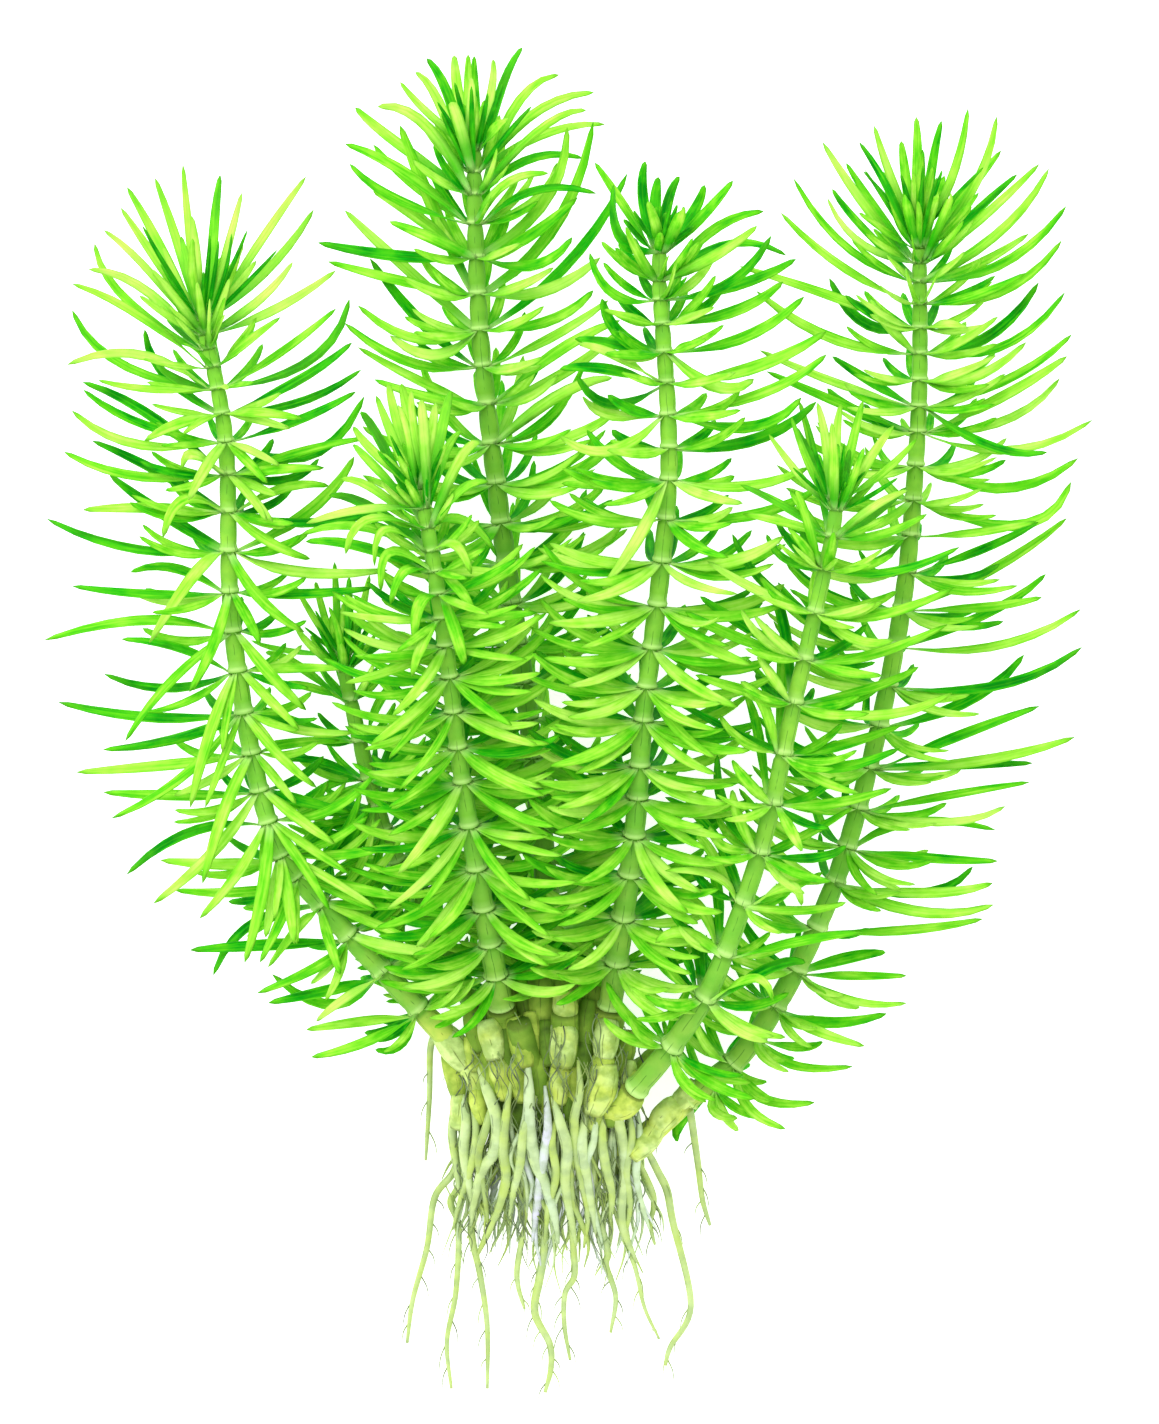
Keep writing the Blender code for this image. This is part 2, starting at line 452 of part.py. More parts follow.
CROWN_HALF_SIZE = (12.6, 8.4, 8.2)

# The bunched roots under the crown: points down each strand and its radius at both ends
ROOT_BUNCH = [
    (((-12.5, -64.9, 6.0), (-15.4, -71.0, 4.2), (-14.6, -76.2, 1.6)), 2.4, 0.7),
    (((-9.8, -65.9, 8.0), (-12.0, -75.0, 5.0), (-13.2, -83.4, 1.2)), 2.6, 0.6),
    (((-6.6, -66.6, 5.6), (-8.0, -75.5, 5.4), (-7.6, -83.8, 1.4)), 2.6, 0.6),
    (((-3.4, -66.7, 8.6), (-4.6, -75.0, 6.0), (-3.8, -81.7, 1.9)), 2.6, 0.7),
    (((-0.4, -66.7, 5.8), (0.6, -75.0, 5.0), (1.0, -82.2, 1.6)), 2.6, 0.65),
    (((2.4, -66.9, 8.4), (4.4, -74.5, 6.0), (5.9, -81.5, 1.8)), 2.5, 0.65),
    (((4.8, -69.2, 6.0), (7.6, -74.6, 5.0), (8.6, -80.0, 1.4)), 2.2, 0.6),
    (((7.0, -69.8, 6.6), (10.2, -73.6, 4.8), (11.0, -77.8, 1.4)), 2.0, 0.55),
    (((-11.0, -57.5, 18.4), (-12.2, -66.0, 13.2), (-11.6, -73.0, 6.6)), 1.5, 1.6),
    (((-5.4, -56.0, 20.0), (-6.6, -65.5, 15.6), (-6.2, -73.0, 7.4)), 1.5, 1.8),
    (((0.6, -57.0, 20.2), (1.2, -65.5, 15.6), (1.4, -73.0, 7.6)), 1.5, 1.8),
    (((7.4, -61.2, 18.7), (6.4, -66.5, 14.4), (6.0, -72.6, 7.4)), 1.4, 1.6),
    (((-13.6, -64.5, 7.8), (-19.6, -69.6, 5.2)), 1.3, 0.3),
]

# Long single roots: points from the crown to the tip, and the radius at the start
LONG_ROOTS = {
    "root_long_left": (
        (
            (-16.2, -63.9, 5.0), (-17.6, -69.9, 2.6), (-20.7, -74.2, 1.0), (-21.9, -82.0, 0.8),
            (-24.1, -90.1, 0.7), (-25.0, -96.9, 0.5),
        ),
        0.62,
    ),
    "root_wavy_left": (
        (
            (-17.2, -72.9, 1.0), (-18.2, -75.1, 0.8), (-17.0, -79.0, 0.8), (-17.4, -89.0, 0.8),
            (-18.8, -96.7, 0.7), (-18.1, -104.0, 0.5),
        ),
        0.58,
    ),
    "root_straight_left": (
        (
            (-14.6, -77.4, 1.2), (-14.9, -80.4, 0.9), (-13.6, -86.4, 0.8), (-12.5, -94.4, 0.8),
            (-12.5, -104.0, 0.5),
        ),
        0.62,
    ),
    "root_short_middle": (((-7.8, -84.8, 1.0), (-7.7, -88.0, 0.7), (-6.7, -91.6, 0.5)), 0.5),
    "root_hooked_middle": (
        (
            (-3.7, -82.8, 1.3), (-4.4, -87.0, 0.8), (-5.1, -92.2, 0.8), (-2.8, -97.0, 0.8),
            (-2.6, -100.8, 0.7), (-3.5, -104.6, 0.5),
        ),
        0.7,
    ),
    "root_thin_middle": (
        ((1.0, -83.2, 1.1), (1.0, -86.6, 0.8), (-0.4, -89.2, 0.7), (-0.5, -94.0, 0.7), (0.4, -99.6, 0.5)),
        0.55,
    ),
    "root_middle_right": (((6.2, -82.4, 1.2), (6.0, -84.8, 0.8), (7.5, -89.7, 0.8), (6.7, -95.3, 0.5)), 0.58),
    "root_thin_right": (
        ((9.0, -81.0, 0.9), (10.6, -85.4, 0.6), (12.0, -91.4, 0.5), (14.3, -96.3, 0.4)),
        0.42,
    ),
    "root_short_right": (
        ((13.0, -72.8, 2.4), (13.4, -75.6, 1.0), (12.9, -78.4, 0.7), (13.6, -81.6, 0.5)),
        0.5,
    ),
    "root_long_right": (
        (
            (14.0, -70.0, 3.2), (15.5, -73.2, 1.2), (16.4, -78.0, 0.9), (19.2, -91.0, 0.8),
            (16.0, -97.5, 0.7), (15.2, -100.4, 0.5),
        ),
        0.65,
    ),
    "root_side_left": (((-21.2, -50.2, 9.5), (-21.5, -58.7, 4.5), (-22.1, -68.4, 0.7)), 0.55),
    "root_side_right": (
        ((19.2, -61.4, 6.6), (20.3, -69.0, 2.4), (21.0, -74.5, 0.8), (22.2, -78.6, 0.5)),
        0.6,
    ),
}
STRAND_SIDES = 5
ROOT_SIDES = 4
ROOT_TAPER = (1.0, 0.8, 0.45)

# How far to each side of a place on a strand its direction is read, in stretches; and what keeps a
# division from failing
A_LITTLE = 0.05
TINY = 1e-9

COLOURS = {
    "leafy": ((0.16, 0.52, 0.05, 1.0), 0.5),
    "crown": ((0.45, 0.47, 0.12, 1.0), 0.7),
    "root": ((0.60, 0.64, 0.42, 1.0), 0.75),
}


def smooth_point(points, place):
    """A point on the smooth curve through the points; place counts the stretches from 0."""
    last = len(points) - 1
    stretch = min(int(place), last - 1)
    u = place - stretch
    p1 = np.array(points[stretch], float)
    p2 = np.array(points[stretch + 1], float)
    p0 = np.array(points[stretch - 1], float) if stretch > 0 else 2 * p1 - p2
    p3 = np.array(points[stretch + 2], float) if stretch + 2 <= last else 2 * p2 - p1
    square = 2 * p0 - 5 * p1 + 4 * p2 - p3
    cube = 3 * p1 - p0 - 3 * p2 + p3
    return 0.5 * (2 * p1 + (p2 - p0) * u + square * u ** 2 + cube * u ** 3)


def unit(vector):
    """The direction of a vector, with a length of one."""
    return vector / max(np.linalg.norm(vector), TINY)


def between(rows, where):
    """Each further column of the rows, read at a place in their first column."""
    table = np.array(rows, float)
    return [float(np.interp(where, table[:, 0], table[:, c])) for c in range(1, table.shape[1])]


def stem_joints(shoot):
    """The joints of a stem from the tip down, each with its frame and distance from the tip."""
    route = shoot["route"]
    points = [row[:3] for row in route]
    centres = []
    for index, row in enumerate(route[:-1]):
        for step in range(row[3]):
            centres.append(smooth_point(points, index + step / row[3]))
    centres.append(smooth_point(points, len(points) - 1))
    joints = []
    run = 0.0
    for index, centre in enumerate(centres):
        above = centres[max(index - 1, 0)]
        below = centres[min(index + 1, len(centres) - 1)]
        along = unit(above - below)
        near = unit(np.array([0.0, 0.0, 1.0]) - along[2] * along)
        right = np.cross(along, near)
        run += np.linalg.norm(centre - above)
        joints.append({"centre": centre, "along": along, "near": near, "right": right, "run": run})
    total = joints[-1]["run"]
    for index, joint in enumerate(joints):
        thick = min(joint["run"] / STEM_THICKENS_OVER, 1.0)
        radius = STEM_TIP_RADIUS + (STEM_FULL_RADIUS - STEM_TIP_RADIUS) * thick
        low = max(joint["run"] / total - STEM_SWELLS_FROM, 0.0) / (1.0 - STEM_SWELLS_FROM)
        joint["radius"] = radius + (STEM_BASE_RADIUS - radius) * low
        joint["turn"] = index * RING_TURN
        joint["share"] = joint["run"] / total
    return joints


def outward(joint, angle):
    """The direction away from a stem at an angle round it, from its right over its near side."""
    return math.cos(angle) * joint["right"] + math.sin(angle) * joint["near"]


def leaf_foot(joint, angle):
    """Where a leaf leaves its stem, on the flat of one of the stem's sides."""
    return joint["centre"] + outward(joint, angle) * joint["radius"] * math.cos(math.pi / STEM_SIDES)


def face_middle(joint, k):
    """The angle of the middle of one of the stem's sides."""
    return joint["turn"] + (k + 0.5) * 2 * math.pi / STEM_SIDES


def settle(path):
    """Keeps a path above the surface, and lets a tip that nearly touches it rest on it."""
    path[:, 2] = np.maximum(path[:, 2], FLOOR_CLEARANCE)
    if path[-1][2] < TIP_TOUCHES_UNDER:
        path[-1][2] = 0.0
    return path


def leaf_path(joint, angle, rise, curl, length, swing):
    """Points along a leaf, from the stem out. It slides along the surface where it meets it."""
    path = [leaf_foot(joint, angle)]
    for step in range(LEAF_STEPS):
        u = (step + 0.5) / LEAF_STEPS
        lift = math.radians(min(max(rise + curl * u, -LEAF_STEEPEST), LEAF_STEEPEST))
        way = math.cos(lift) * outward(joint, angle + swing * u) + math.sin(lift) * joint["along"]
        point = path[-1] + way * length / LEAF_STEPS
        if point[2] < FLOOR_CLEARANCE:
            flat = way * (1.0, 1.0, 0.0)
            if np.linalg.norm(flat) < NEARLY_UPRIGHT:
                flat = flat + UPRIGHT_LEANS * joint["along"] * (1.0, 1.0, 0.0)
            point = path[-1] + unit(flat) * length / LEAF_STEPS
            point[2] = max((path[-1][2] + FLOOR_CLEARANCE) * 0.5, FLOOR_CLEARANCE)
        path.append(point)
    return settle(np.array(path))


def leaf_faces_up(path, joint, facet):
    """The way a blade's upper side faces: towards the tip, and turned to the light above."""
    way = unit(path[-1] - path[0])
    facing = FACES_TIP * joint["along"] + np.array([0.0, 0.0, FACES_LIGHT])
    facing = unit(facing - np.dot(facing, way) * way)
    untwisted = np.dot(np.cross(outward(joint, facet), joint["along"]), np.cross(way, facing))
    return facing if untwisted >= 0 else -facing


# What a stretch in place may reach from its line, and the gap that stands for nothing near
THICKEST_RADIUS = 2.3
FREE = 9.0


class Crowd:
    """Straight stretches already in place, each with a flat section, for keeping pieces apart."""

    def __init__(self):
        self.rows = []
        self.table = None

    def add(self, a, b, across, facing, half_width, half_depth, tag):
        self.rows.append(np.concatenate([a, b, across * half_width, facing * half_depth, tag]))
        self.table = None

    def room(self, a, b, across, facing, half_width, half_depth, skip):
        """The least gap between a new stretch and those in place, without the skipped ones."""
        if self.table is None:
            self.table = np.array(self.rows)
        t = self.table
        reach = half_width + GAP + THICKEST_RADIUS
        low = np.minimum(a, b) - reach
        high = np.maximum(a, b) + reach
        near = np.all(np.maximum(t[:, 0:3], t[:, 3:6]) > low, axis=1)
        near &= np.all(np.minimum(t[:, 0:3], t[:, 3:6]) < high, axis=1)
        near &= ~skip(t[:, 12], t[:, 13])
        t = t[near]
        if not len(t):
            return FREE
        pa, pb = t[:, 0:3], t[:, 3:6]
        d1 = b - a
        d2 = pb - pa
        r = a - pa
        aa = max(float(d1 @ d1), TINY)
        ee = np.maximum(np.einsum("ij,ij->i", d2, d2), TINY)
        f = np.einsum("ij,ij->i", d2, r)
        c = r @ d1
        bb = d2 @ d1
        denom = np.maximum(aa * ee - bb * bb, TINY)
        s = np.clip((bb * f - c * ee) / denom, 0, 1)
        u = np.clip((bb * s + f) / ee, 0, 1)
        s = np.clip((bb * u - c) / aa, 0, 1)
        apart = (a + s[:, None] * d1) - (pa + u[:, None] * d2)
        far = np.linalg.norm(apart, axis=1)
        way = apart / np.maximum(far, TINY)[:, None]
        own = np.sqrt((way @ across * half_width) ** 2 + (way @ facing * half_depth) ** 2)
        their_across = np.einsum("ij,ij->i", way, t[:, 6:9])
        their_depth = np.einsum("ij,ij->i", way, t[:, 9:12])
        theirs = np.sqrt(their_across ** 2 + their_depth ** 2)
        return float(np.min(far - own - theirs))


NO_STEM_RUNS = (0.3, 0.2, 0.93)


def add_tube(crowd, points, radii, tag):
    """Puts a round piece into the crowd. Its section stands square to a way that no stem runs."""
    for index in range(len(points) - 1):
        a = np.array(points[index], float)
        b = np.array(points[index + 1], float)
        way = unit(b - a)
        across = unit(np.cross(way, NO_STEM_RUNS))
        radius = max(radii[index], radii[index + 1])
        crowd.add(a, b, across, np.cross(way, across), radius, radius, tag)


def stem_bases(shoots):
    """The points along each stem base on the crown, from its top into the crown, and its radius."""
    bases = []
    for name, (straight, inside, radius) in SHOOT_BASES.items():
        foot = shoots[name]["joints"][-1]
        top = foot["centre"] - GAP * foot["along"]
        bases.append(([top, top - straight * foot["along"], inside], radius))
    for top, inside, radius in SPENT_BASES:
        middle = tuple((a + b) / 2 for a, b in zip(top, inside))
        bases.append(([top, middle, inside], radius))
    return bases


def edge_path(leaf, tip_lift, bow):
    """Points along an edge leaf: its place seen from above is given, its height isn't."""
    start = leaf_foot(leaf["joint"], leaf["angle"])
    tip = leaf["tip"]
    bend = 2 * leaf["middle"] - 0.5 * (start[:2] + tip)
    path = []
    for step in range(LEAF_STEPS + 1):
        u = step / LEAF_STEPS
        flat = (1 - u) ** 2 * start[:2] + 2 * u * (1 - u) * bend + u * u * tip
        height = start[2] + tip_lift * u + bow * 4 * u * (1 - u)
        path.append([flat[0], flat[1], height])
    return settle(np.array(path))


def edge_leaves(shoots):
    """The leaves at the edge of the clump, each given to the nearest free face of a joint."""
    wanted = []
    for number, (name, shoot) in enumerate(shoots.items()):
        chance = random.Random(shoot["seed"] + 50)
        taken = shoot["taken"]
        for row in EDGE_LEAVES.get(name, []):
            spots = []
            for across, down in (row[0:2], row[2:4], row[4:6]):
                spots.append(np.array([(across - MIDDLE_ACROSS) * STEP, (MIDDLE_DOWN - down) * STEP]))
            best = None
            for place, joint in enumerate(shoot["joints"][:-1]):
                off = np.linalg.norm(joint["centre"][:2] - spots[0])
                if off > JOINT_WITHIN:
                    continue
                to_right = np.dot(spots[1] - joint["centre"][:2], joint["right"][:2]) > 0
                aim = math.radians(EDGE_ANGLES[row[6]][int(to_right)])
                for k in range(STEM_SIDES):
                    if (place, k) in taken:
                        continue
                    facet = face_middle(joint, k)
                    turn = abs((facet - aim + math.pi) % (2 * math.pi) - math.pi)
                    faces_leaf = np.dot(unit(spots[2] - joint["centre"][:2]), outward(joint, facet)[:2])
                    cost = off / AWAY_COUNTS_PER + turn / TURN_COUNTS_PER
                    cost += max(LEAST_FACING - faces_leaf, 0.0) * FACING_COUNTS
                    if best is None or cost < best[0]:
                        best = (cost, place, k, facet)
            if best is None or best[0] > WORST_FACE:
                continue
            place, k, facet = best[1:]
            taken.add((place, k))
            joint = shoot["joints"][place]
            lift = chance.uniform(-EDGE_LIFT_VARIES, EDGE_LIFT_VARIES) + EDGE_LIFT[row[6]]
            if joint["run"] < TUFT_WITHIN:
                lift += TUFT_SPREAD * math.sin(facet) * np.linalg.norm(spots[2] - spots[0])
            wanted.append({
                "shoot": number, "name": name, "place": place, "facet": k, "joint": joint,
                "angle": facet, "face_angle": facet, "middle": spots[1], "tip": spots[2],
                "bow": EDGE_BOW[row[6]], "lift": lift,
            })
    return wanted


def wanted_leaves(shoots):
    """Every other leaf as it would grow with nothing in its way, the outermost first."""
    wanted = []
    for number, (name, shoot) in enumerate(shoots.items()):
        chance = random.Random(shoot["seed"])
        joints = shoot["joints"]
        reach = EDGE_REACH.get(name, (0.0, 0.0))
        for place, joint in enumerate(joints[:-1]):
            side_rise, side_curl, near_rise, near_curl = between(HABIT, joint["run"])
            left, right = between(shoot["lengths"], joint["run"])
            above_foot = joints[-1]["run"] - joint["run"]
            hang = shoot["hang"] * min(max(above_foot - BARE_FRONT_OVER, 0.0) / HANG_FADES_OVER, 1.0)
            backs = []
            for k in range(STEM_SIDES):
                facet = face_middle(joint, k)
                angle = facet + math.radians(chance.uniform(-TURN_VARIES, TURN_VARIES))
                side = math.cos(angle) ** 2
                nearness = math.sin(angle)
                to_right = math.cos(angle) > 0
                length = (right if to_right else left) * chance.uniform(*LENGTH_SHARES)
                rise = side_rise
                curl = side_curl
                if nearness > 0:
                    rise += (1 - side) * hang * (near_rise - side_rise)
                    curl += (1 - side) * hang * (near_curl - side_curl)
                rise += chance.uniform(-RISE_VARIES, RISE_VARIES)
                curl += chance.uniform(-CURL_VARIES, CURL_VARIES)
                swing = math.radians(chance.uniform(-SWING_VARIES, SWING_VARIES))
                aside = max(nearness - ASIDE_FROM, 0.0) / (1.0 - ASIDE_FROM) * (-1 if to_right else 1)
                if joint["run"] > TUFT_WITHIN:
                    angle += math.radians(ASIDE_TURN) * aside
                    swing += math.radians(ASIDE_SWING) * aside
                if joint["share"] > BARE_BELOW_SHARE and chance.random() < MISSING_SHARE:
                    continue
                if (place, k) in shoot["taken"]:
                    continue
                if nearness > ASIDE_FROM and above_foot < BARE_FRONT_OVER:
                    continue
                if joint["run"] < reach[int(to_right)]:
                    if side > SIDE_LEAF_OVER:
                        continue
                    length *= BESIDE_EDGE_SHARE
                leaf = {
                    "shoot": number, "name": name, "place": place, "facet": k, "joint": joint,
                    "angle": angle, "face_angle": facet, "rise": rise, "curl": curl, "length": length,
                    "swing": swing, "order": -side if nearness > PLACED_LAST_UNDER else 1.0 - nearness,
                }
                if nearness < BACK_LEAF_UNDER:
                    backs.append(leaf)
                wanted.append(leaf)
            backs.sort(key=lambda row: -row["order"])
            shed = 1 + max(place % 2, int(joint["run"] > SHED_MORE_BEYOND))
            if joint["run"] > FULL_RINGS_WITHIN:
                for leaf in backs[:shed]:
                    wanted.remove(leaf)
    wanted.sort(key=lambda row: (round(row["order"], 1), row["place"], row["shoot"]))
    return wanted


# What is tried until a leaf clears the others, from the smallest change: a swing and a rise in
# degrees and a share of the length, or for an edge leaf a lift of its tip and a bow. A swing of 20
# degrees, a rise of 16 degrees and a fifth of the length count as equally large changes
SWINGS_TRIED = (0, -10, 10, -20, 20, -30, 30)
RISES_TRIED = (0, -8, 8, -16, 16, -26, 26)
SHARES_TRIED = (1.0, 0.85, 0.7, 0.55)
SWING_COUNTS_PER = 20
RISE_COUNTS_PER = 16
SHARE_COUNTS_PER = 0.2
LIFTS_TRIED = (0, 1.5, -1.5, 3, -3, 4.5, -4.5, 6, -6, 8, -8, 10, -10)
BOWS_TRIED = (0, 1.5, -1.5, 3, -3)
BOW_COUNTS = 2


def try_cost(change):
    """How large a change of swing, rise and length is."""
    swing, rise, share = change
    shorter = (1 - share) / SHARE_COUNTS_PER
    return (swing / SWING_COUNTS_PER) ** 2 + (rise / RISE_COUNTS_PER) ** 2 + shorter ** 2


def edge_try_cost(change):
    """How large a change of lift and bow is."""
    lift, bow = change
    return lift ** 2 + BOW_COUNTS * bow ** 2


TRIES = sorted(
    [(swing, rise, share) for swing in SWINGS_TRIED for rise in RISES_TRIED for share in SHARES_TRIED],
    key=try_cost,
)
EDGE_TRIES = sorted([(lift, bow) for lift in LIFTS_TRIED for bow in BOWS_TRIED], key=edge_try_cost)


def halves(path, facing):
    """The two straight stretches of a leaf, each with its way across and its flat side."""
    middle = path[LEAF_MIDDLE_STEP]
    rows = []
    for a, b in ((path[0], middle), (middle, path[-1])):
        way = unit(b - a)
        flat = unit(facing - np.dot(facing, way) * way)
        rows.append((a, b, np.cross(way, flat), flat))
    return rows


# The share of the inner half of a leaf that may touch the pieces round its foot
LEAF_FOOT_SHARE = 0.25


def leaf_room(crowd, leaf, path, facing):
    """The least gap between a leaf and everything in place that it doesn't grow from."""
    number, place = leaf["shoot"], leaf["place"]
    gaps = []
    for part, (a, b, across, flat) in enumerate(halves(path, facing)):
        if part == 0:
            a = a + LEAF_FOOT_SHARE * (b - a)

        def skip(owner, where, part=part):
            own = owner == number
            own_stem = own & (where < 0) & (np.abs(-1 - where - place) <= 1) & (part == 0)
            own_ring = own & (np.floor(where) == place)
            inner_half = where == np.floor(where)
            return own_stem | (own_ring & (inner_half | (part == 0)))

        gaps.append(crowd.room(a, b, across, flat, LEAF_HALF_WIDTH, LEAF_THICKNESS / 2, skip))
    return min(gaps)


def place_leaf(crowd, shoots, leaf, shapes):
    """Puts a leaf in place in the first of its shapes that clears everything, or the best one."""
    best = None
    for path in shapes:
        facing = leaf_faces_up(path, leaf["joint"], leaf["face_angle"])
        gap = leaf_room(crowd, leaf, path, facing)
        if best is None or gap > best[0]:
            best = (gap, path, facing)
        if gap >= GAP:
            break
    gap, path, facing = best
    if gap < DROPPED_UNDER:
        return
    for part, (a, b, across, flat) in enumerate(halves(path, facing)):
        tag = (leaf["shoot"], leaf["place"] + 0.1 * part)
        crowd.add(a, b, across, flat, LEAF_HALF_WIDTH, LEAF_THICKNESS / 2, tag)
    shoots[leaf["name"]]["leaves"].append({**leaf, "path": path, "facing": facing})


# What stands for the crown's pieces and for the long roots in place of a shoot's number
CROWN_TAG = (99, 0)
ROOT_TAG = (98, 0)


def place_leaves(shoots):
    """Leaves for every shoot: first those at the edge, then all others, clear of each other."""
    crowd = Crowd()
    for number, shoot in enumerate(shoots.values()):
        joints = shoot["joints"]
        for place in range(len(joints) - 1):
            add_tube(
                crowd,
                [joints[place]["centre"], joints[place + 1]["centre"]],
                [joints[place]["radius"], joints[place + 1]["radius"]],
                (number, -1 - place),
            )
    for points, radius in stem_bases(shoots):
        add_tube(crowd, points, [radius] * len(points), CROWN_TAG)
    for points, start_radius in LONG_ROOTS.values():
        add_tube(crowd, points, [start_radius] * len(points), ROOT_TAG)
    for leaf in edge_leaves(shoots):
        shapes = (edge_path(leaf, leaf["lift"] + lift, leaf["bow"] + bow) for lift, bow in EDGE_TRIES)
        place_leaf(crowd, shoots, leaf, shapes)
    for leaf in wanted_leaves(shoots):
        shapes = (
            leaf_path(
                leaf["joint"], leaf["angle"] + math.radians(swing_by) * 0.5, leaf["rise"] + raise_by,
                leaf["curl"], leaf["length"] * share, leaf["swing"] + math.radians(swing_by),
            )
            for swing_by, raise_by, share in TRIES
        )
        place_leaf(crowd, shoots, leaf, shapes)


def collection(name, hidden=False):
    """A new collection in the scene, left out of renders if it only holds shapes joined in."""
    made = bpy.data.collections.new(name)
    bpy.context.scene.collection.children.link(made)
    made.hide_render = hidden
    return made


def split_bent_faces(bm):
    """Splits each bent four-sided face along the diagonal that stands out, so no wall folds in."""
    for face in list(bm.faces):
        if len(face.verts) != 4:
            continue
        a, b, c, d = list(face.verts)
        normal = (b.co - a.co).cross(c.co - a.co)
        if normal.length < NO_AREA:
            continue
        height = (d.co - a.co).dot(normal.normalized())
        if abs(height) < BENT_OVER * MM:
            continue
        ends = (a, c) if height < 0 else (b, d)
        bmesh.utils.face_split(face, ends[0], ends[1])


def finish_mesh(name, bm, home, kind):
    """Turns a bmesh into a smooth-shaded object with its own material."""
    bmesh.ops.recalc_face_normals(bm, faces=bm.faces)
    if bm.calc_volume(signed=True) < 0:
        bmesh.ops.reverse_faces(bm, faces=bm.faces)
    split_bent_faces(bm)
    mesh = bpy.data.meshes.new(name)
    bm.to_mesh(mesh)
    bm.free()
    for face in mesh.polygons:
        face.use_smooth = True
    thing = bpy.data.objects.new(name, mesh)
    home.objects.link(thing)
    material = bpy.data.materials.new(name + "_surface")
    material.use_nodes = True
    shader = material.node_tree.nodes["Principled BSDF"]
    colour, roughness = COLOURS[kind]
    shader.inputs["Base Color"].default_value = colour
    shader.inputs["Roughness"].default_value = roughness
    shader.inputs["Metallic"].default_value = 0.0
    mesh.materials.append(material)
    return thing


def ring_points(centre, right, near, radius, sides, turn):
    """The corners of a regular ring round a centre, in the plane of two directions."""
    spots = []
    for k in range(sides):
        angle = turn + k * 2 * math.pi / sides
        spots.append(centre + radius * (math.cos(angle) * right + math.sin(angle) * near))
    return spots


def start_tube(bm, points):
    """A closed face with its corners at the points, to be drawn out into a tube."""
    made = bmesh.ops.create_circle(bm, cap_ends=True, cap_tris=False, segments=len(points), radius=1.0)
    corners = list(made["verts"])
    for corner, point in zip(corners, points):
        corner.co = Vector(point)
    return corners, corners[0].link_faces[0]


def draw_out(bm, corners, cap, points):
    """Extrudes the cap of a tube and puts its corners at the points. The foot's own cap stays."""
    has_walls = any(len(edge.link_faces) > 1 for edge in cap.edges)
    made = bmesh.ops.extrude_face_region(bm, geom=[cap])
    fresh = [item for item in made["geom"] if isinstance(item, bmesh.types.BMVert)]
    ordered = []
    for corner in corners:
        match = min(fresh, key=lambda vert: (vert.co - corner.co).length_squared)
        fresh.remove(match)
        ordered.append(match)
    old_cap = cap
    cap = [item for item in made["geom"] if isinstance(item, bmesh.types.BMFace)][0]
    for corner, point in zip(ordered, points):
        corner.co = Vector(point)
    if has_walls:
        bmesh.ops.delete(bm, geom=[old_cap], context="FACES_ONLY")
    return ordered, cap


def close_to_point(bm, corners, point):
    """Draws the corners of an open end together, which closes it."""
    bmesh.ops.pointmerge(bm, verts=corners, merge_co=Vector(point))


def draw_leaf(bm, face, low_corners, high_corners, leaf):
    """Extrudes a face of a joint's band into a leaf: a keeled blade that runs to a point."""
    path = leaf["path"] * MM
    middle = path[LEAF_MIDDLE_STEP]
    way = unit(path[-1] - path[0])
    flat = leaf["facing"]
    across = np.cross(way, flat)
    lows = [vert.co.copy() for vert in low_corners]
    highs = [vert.co.copy() for vert in high_corners]
    made = bmesh.ops.extrude_discrete_faces(bm, faces=[face])
    face = made["faces"][0]
    first, second = across * LEAF_HALF_WIDTH * MM, -across * LEAF_HALF_WIDTH * MM
    if np.dot(np.array(highs[0]) - np.array(highs[1]), across) < 0:
        first, second = second, first
    keel = []
    for vert in face.verts:
        place = min(range(4), key=lambda k: (vert.co - (lows + highs)[k]).length_squared)
        if place < 2:
            keel.append(vert)
        else:
            vert.co = Vector(middle + (first if place == 2 else second))
    bmesh.ops.pointmerge(bm, verts=keel, merge_co=Vector(middle - flat * LEAF_THICKNESS * MM))
    made = bmesh.ops.extrude_discrete_faces(bm, faces=[face])
    close_to_point(bm, list(made["faces"][0].verts), path[-1])


def joint_ring(joint, shift):
    """The corners of a stem's section at a joint, or a little way along from it."""
    centre = (joint["centre"] + shift * joint["along"]) * MM
    return ring_points(centre, joint["right"], joint["near"], joint["radius"] * MM, STEM_SIDES, joint["turn"])


def make_shoot(name, shoot, home):
    """One stem, drawn out joint by joint from its foot, with a leaf from each face of a band."""
    joints = shoot["joints"]
    leaves = {}
    for leaf in shoot["leaves"]:
        leaves[(leaf["place"], leaf["facet"])] = leaf
    bm = bmesh.new()
    foot = joints[-1]
    corners, cap = start_tube(bm, joint_ring(foot, 0.0))
    bands = []
    for place in range(len(joints) - 2, -1, -1):
        for shift in (-RING_BAND_HEIGHT / 2, RING_BAND_HEIGHT / 2):
            lower = corners
            corners, cap = draw_out(bm, corners, cap, joint_ring(joints[place], shift))
        bands.append((place, lower, corners))
    tip = joints[0]
    top = tip["centre"] + tip["along"] * BUD_LENGTH
    last, cap = draw_out(bm, corners, cap, [vert.co for vert in corners])
    close_to_point(bm, last, top * MM)
    for place, lower, upper in bands:
        for k in range(STEM_SIDES):
            leaf = leaves.get((place, k))
            if leaf is None:
                continue
            low_corners = (lower[k], lower[(k + 1) % STEM_SIDES])
            high_corners = (upper[k], upper[(k + 1) % STEM_SIDES])
            four = set(low_corners + high_corners)
            face = next(item for item in lower[k].link_faces if set(item.verts) == four)
            draw_leaf(bm, face, low_corners, high_corners, leaf)
    for vert in bm.verts:
        vert.co.z = max(vert.co.z, 0.0)
    return finish_mesh(name, bm, home, "leafy")


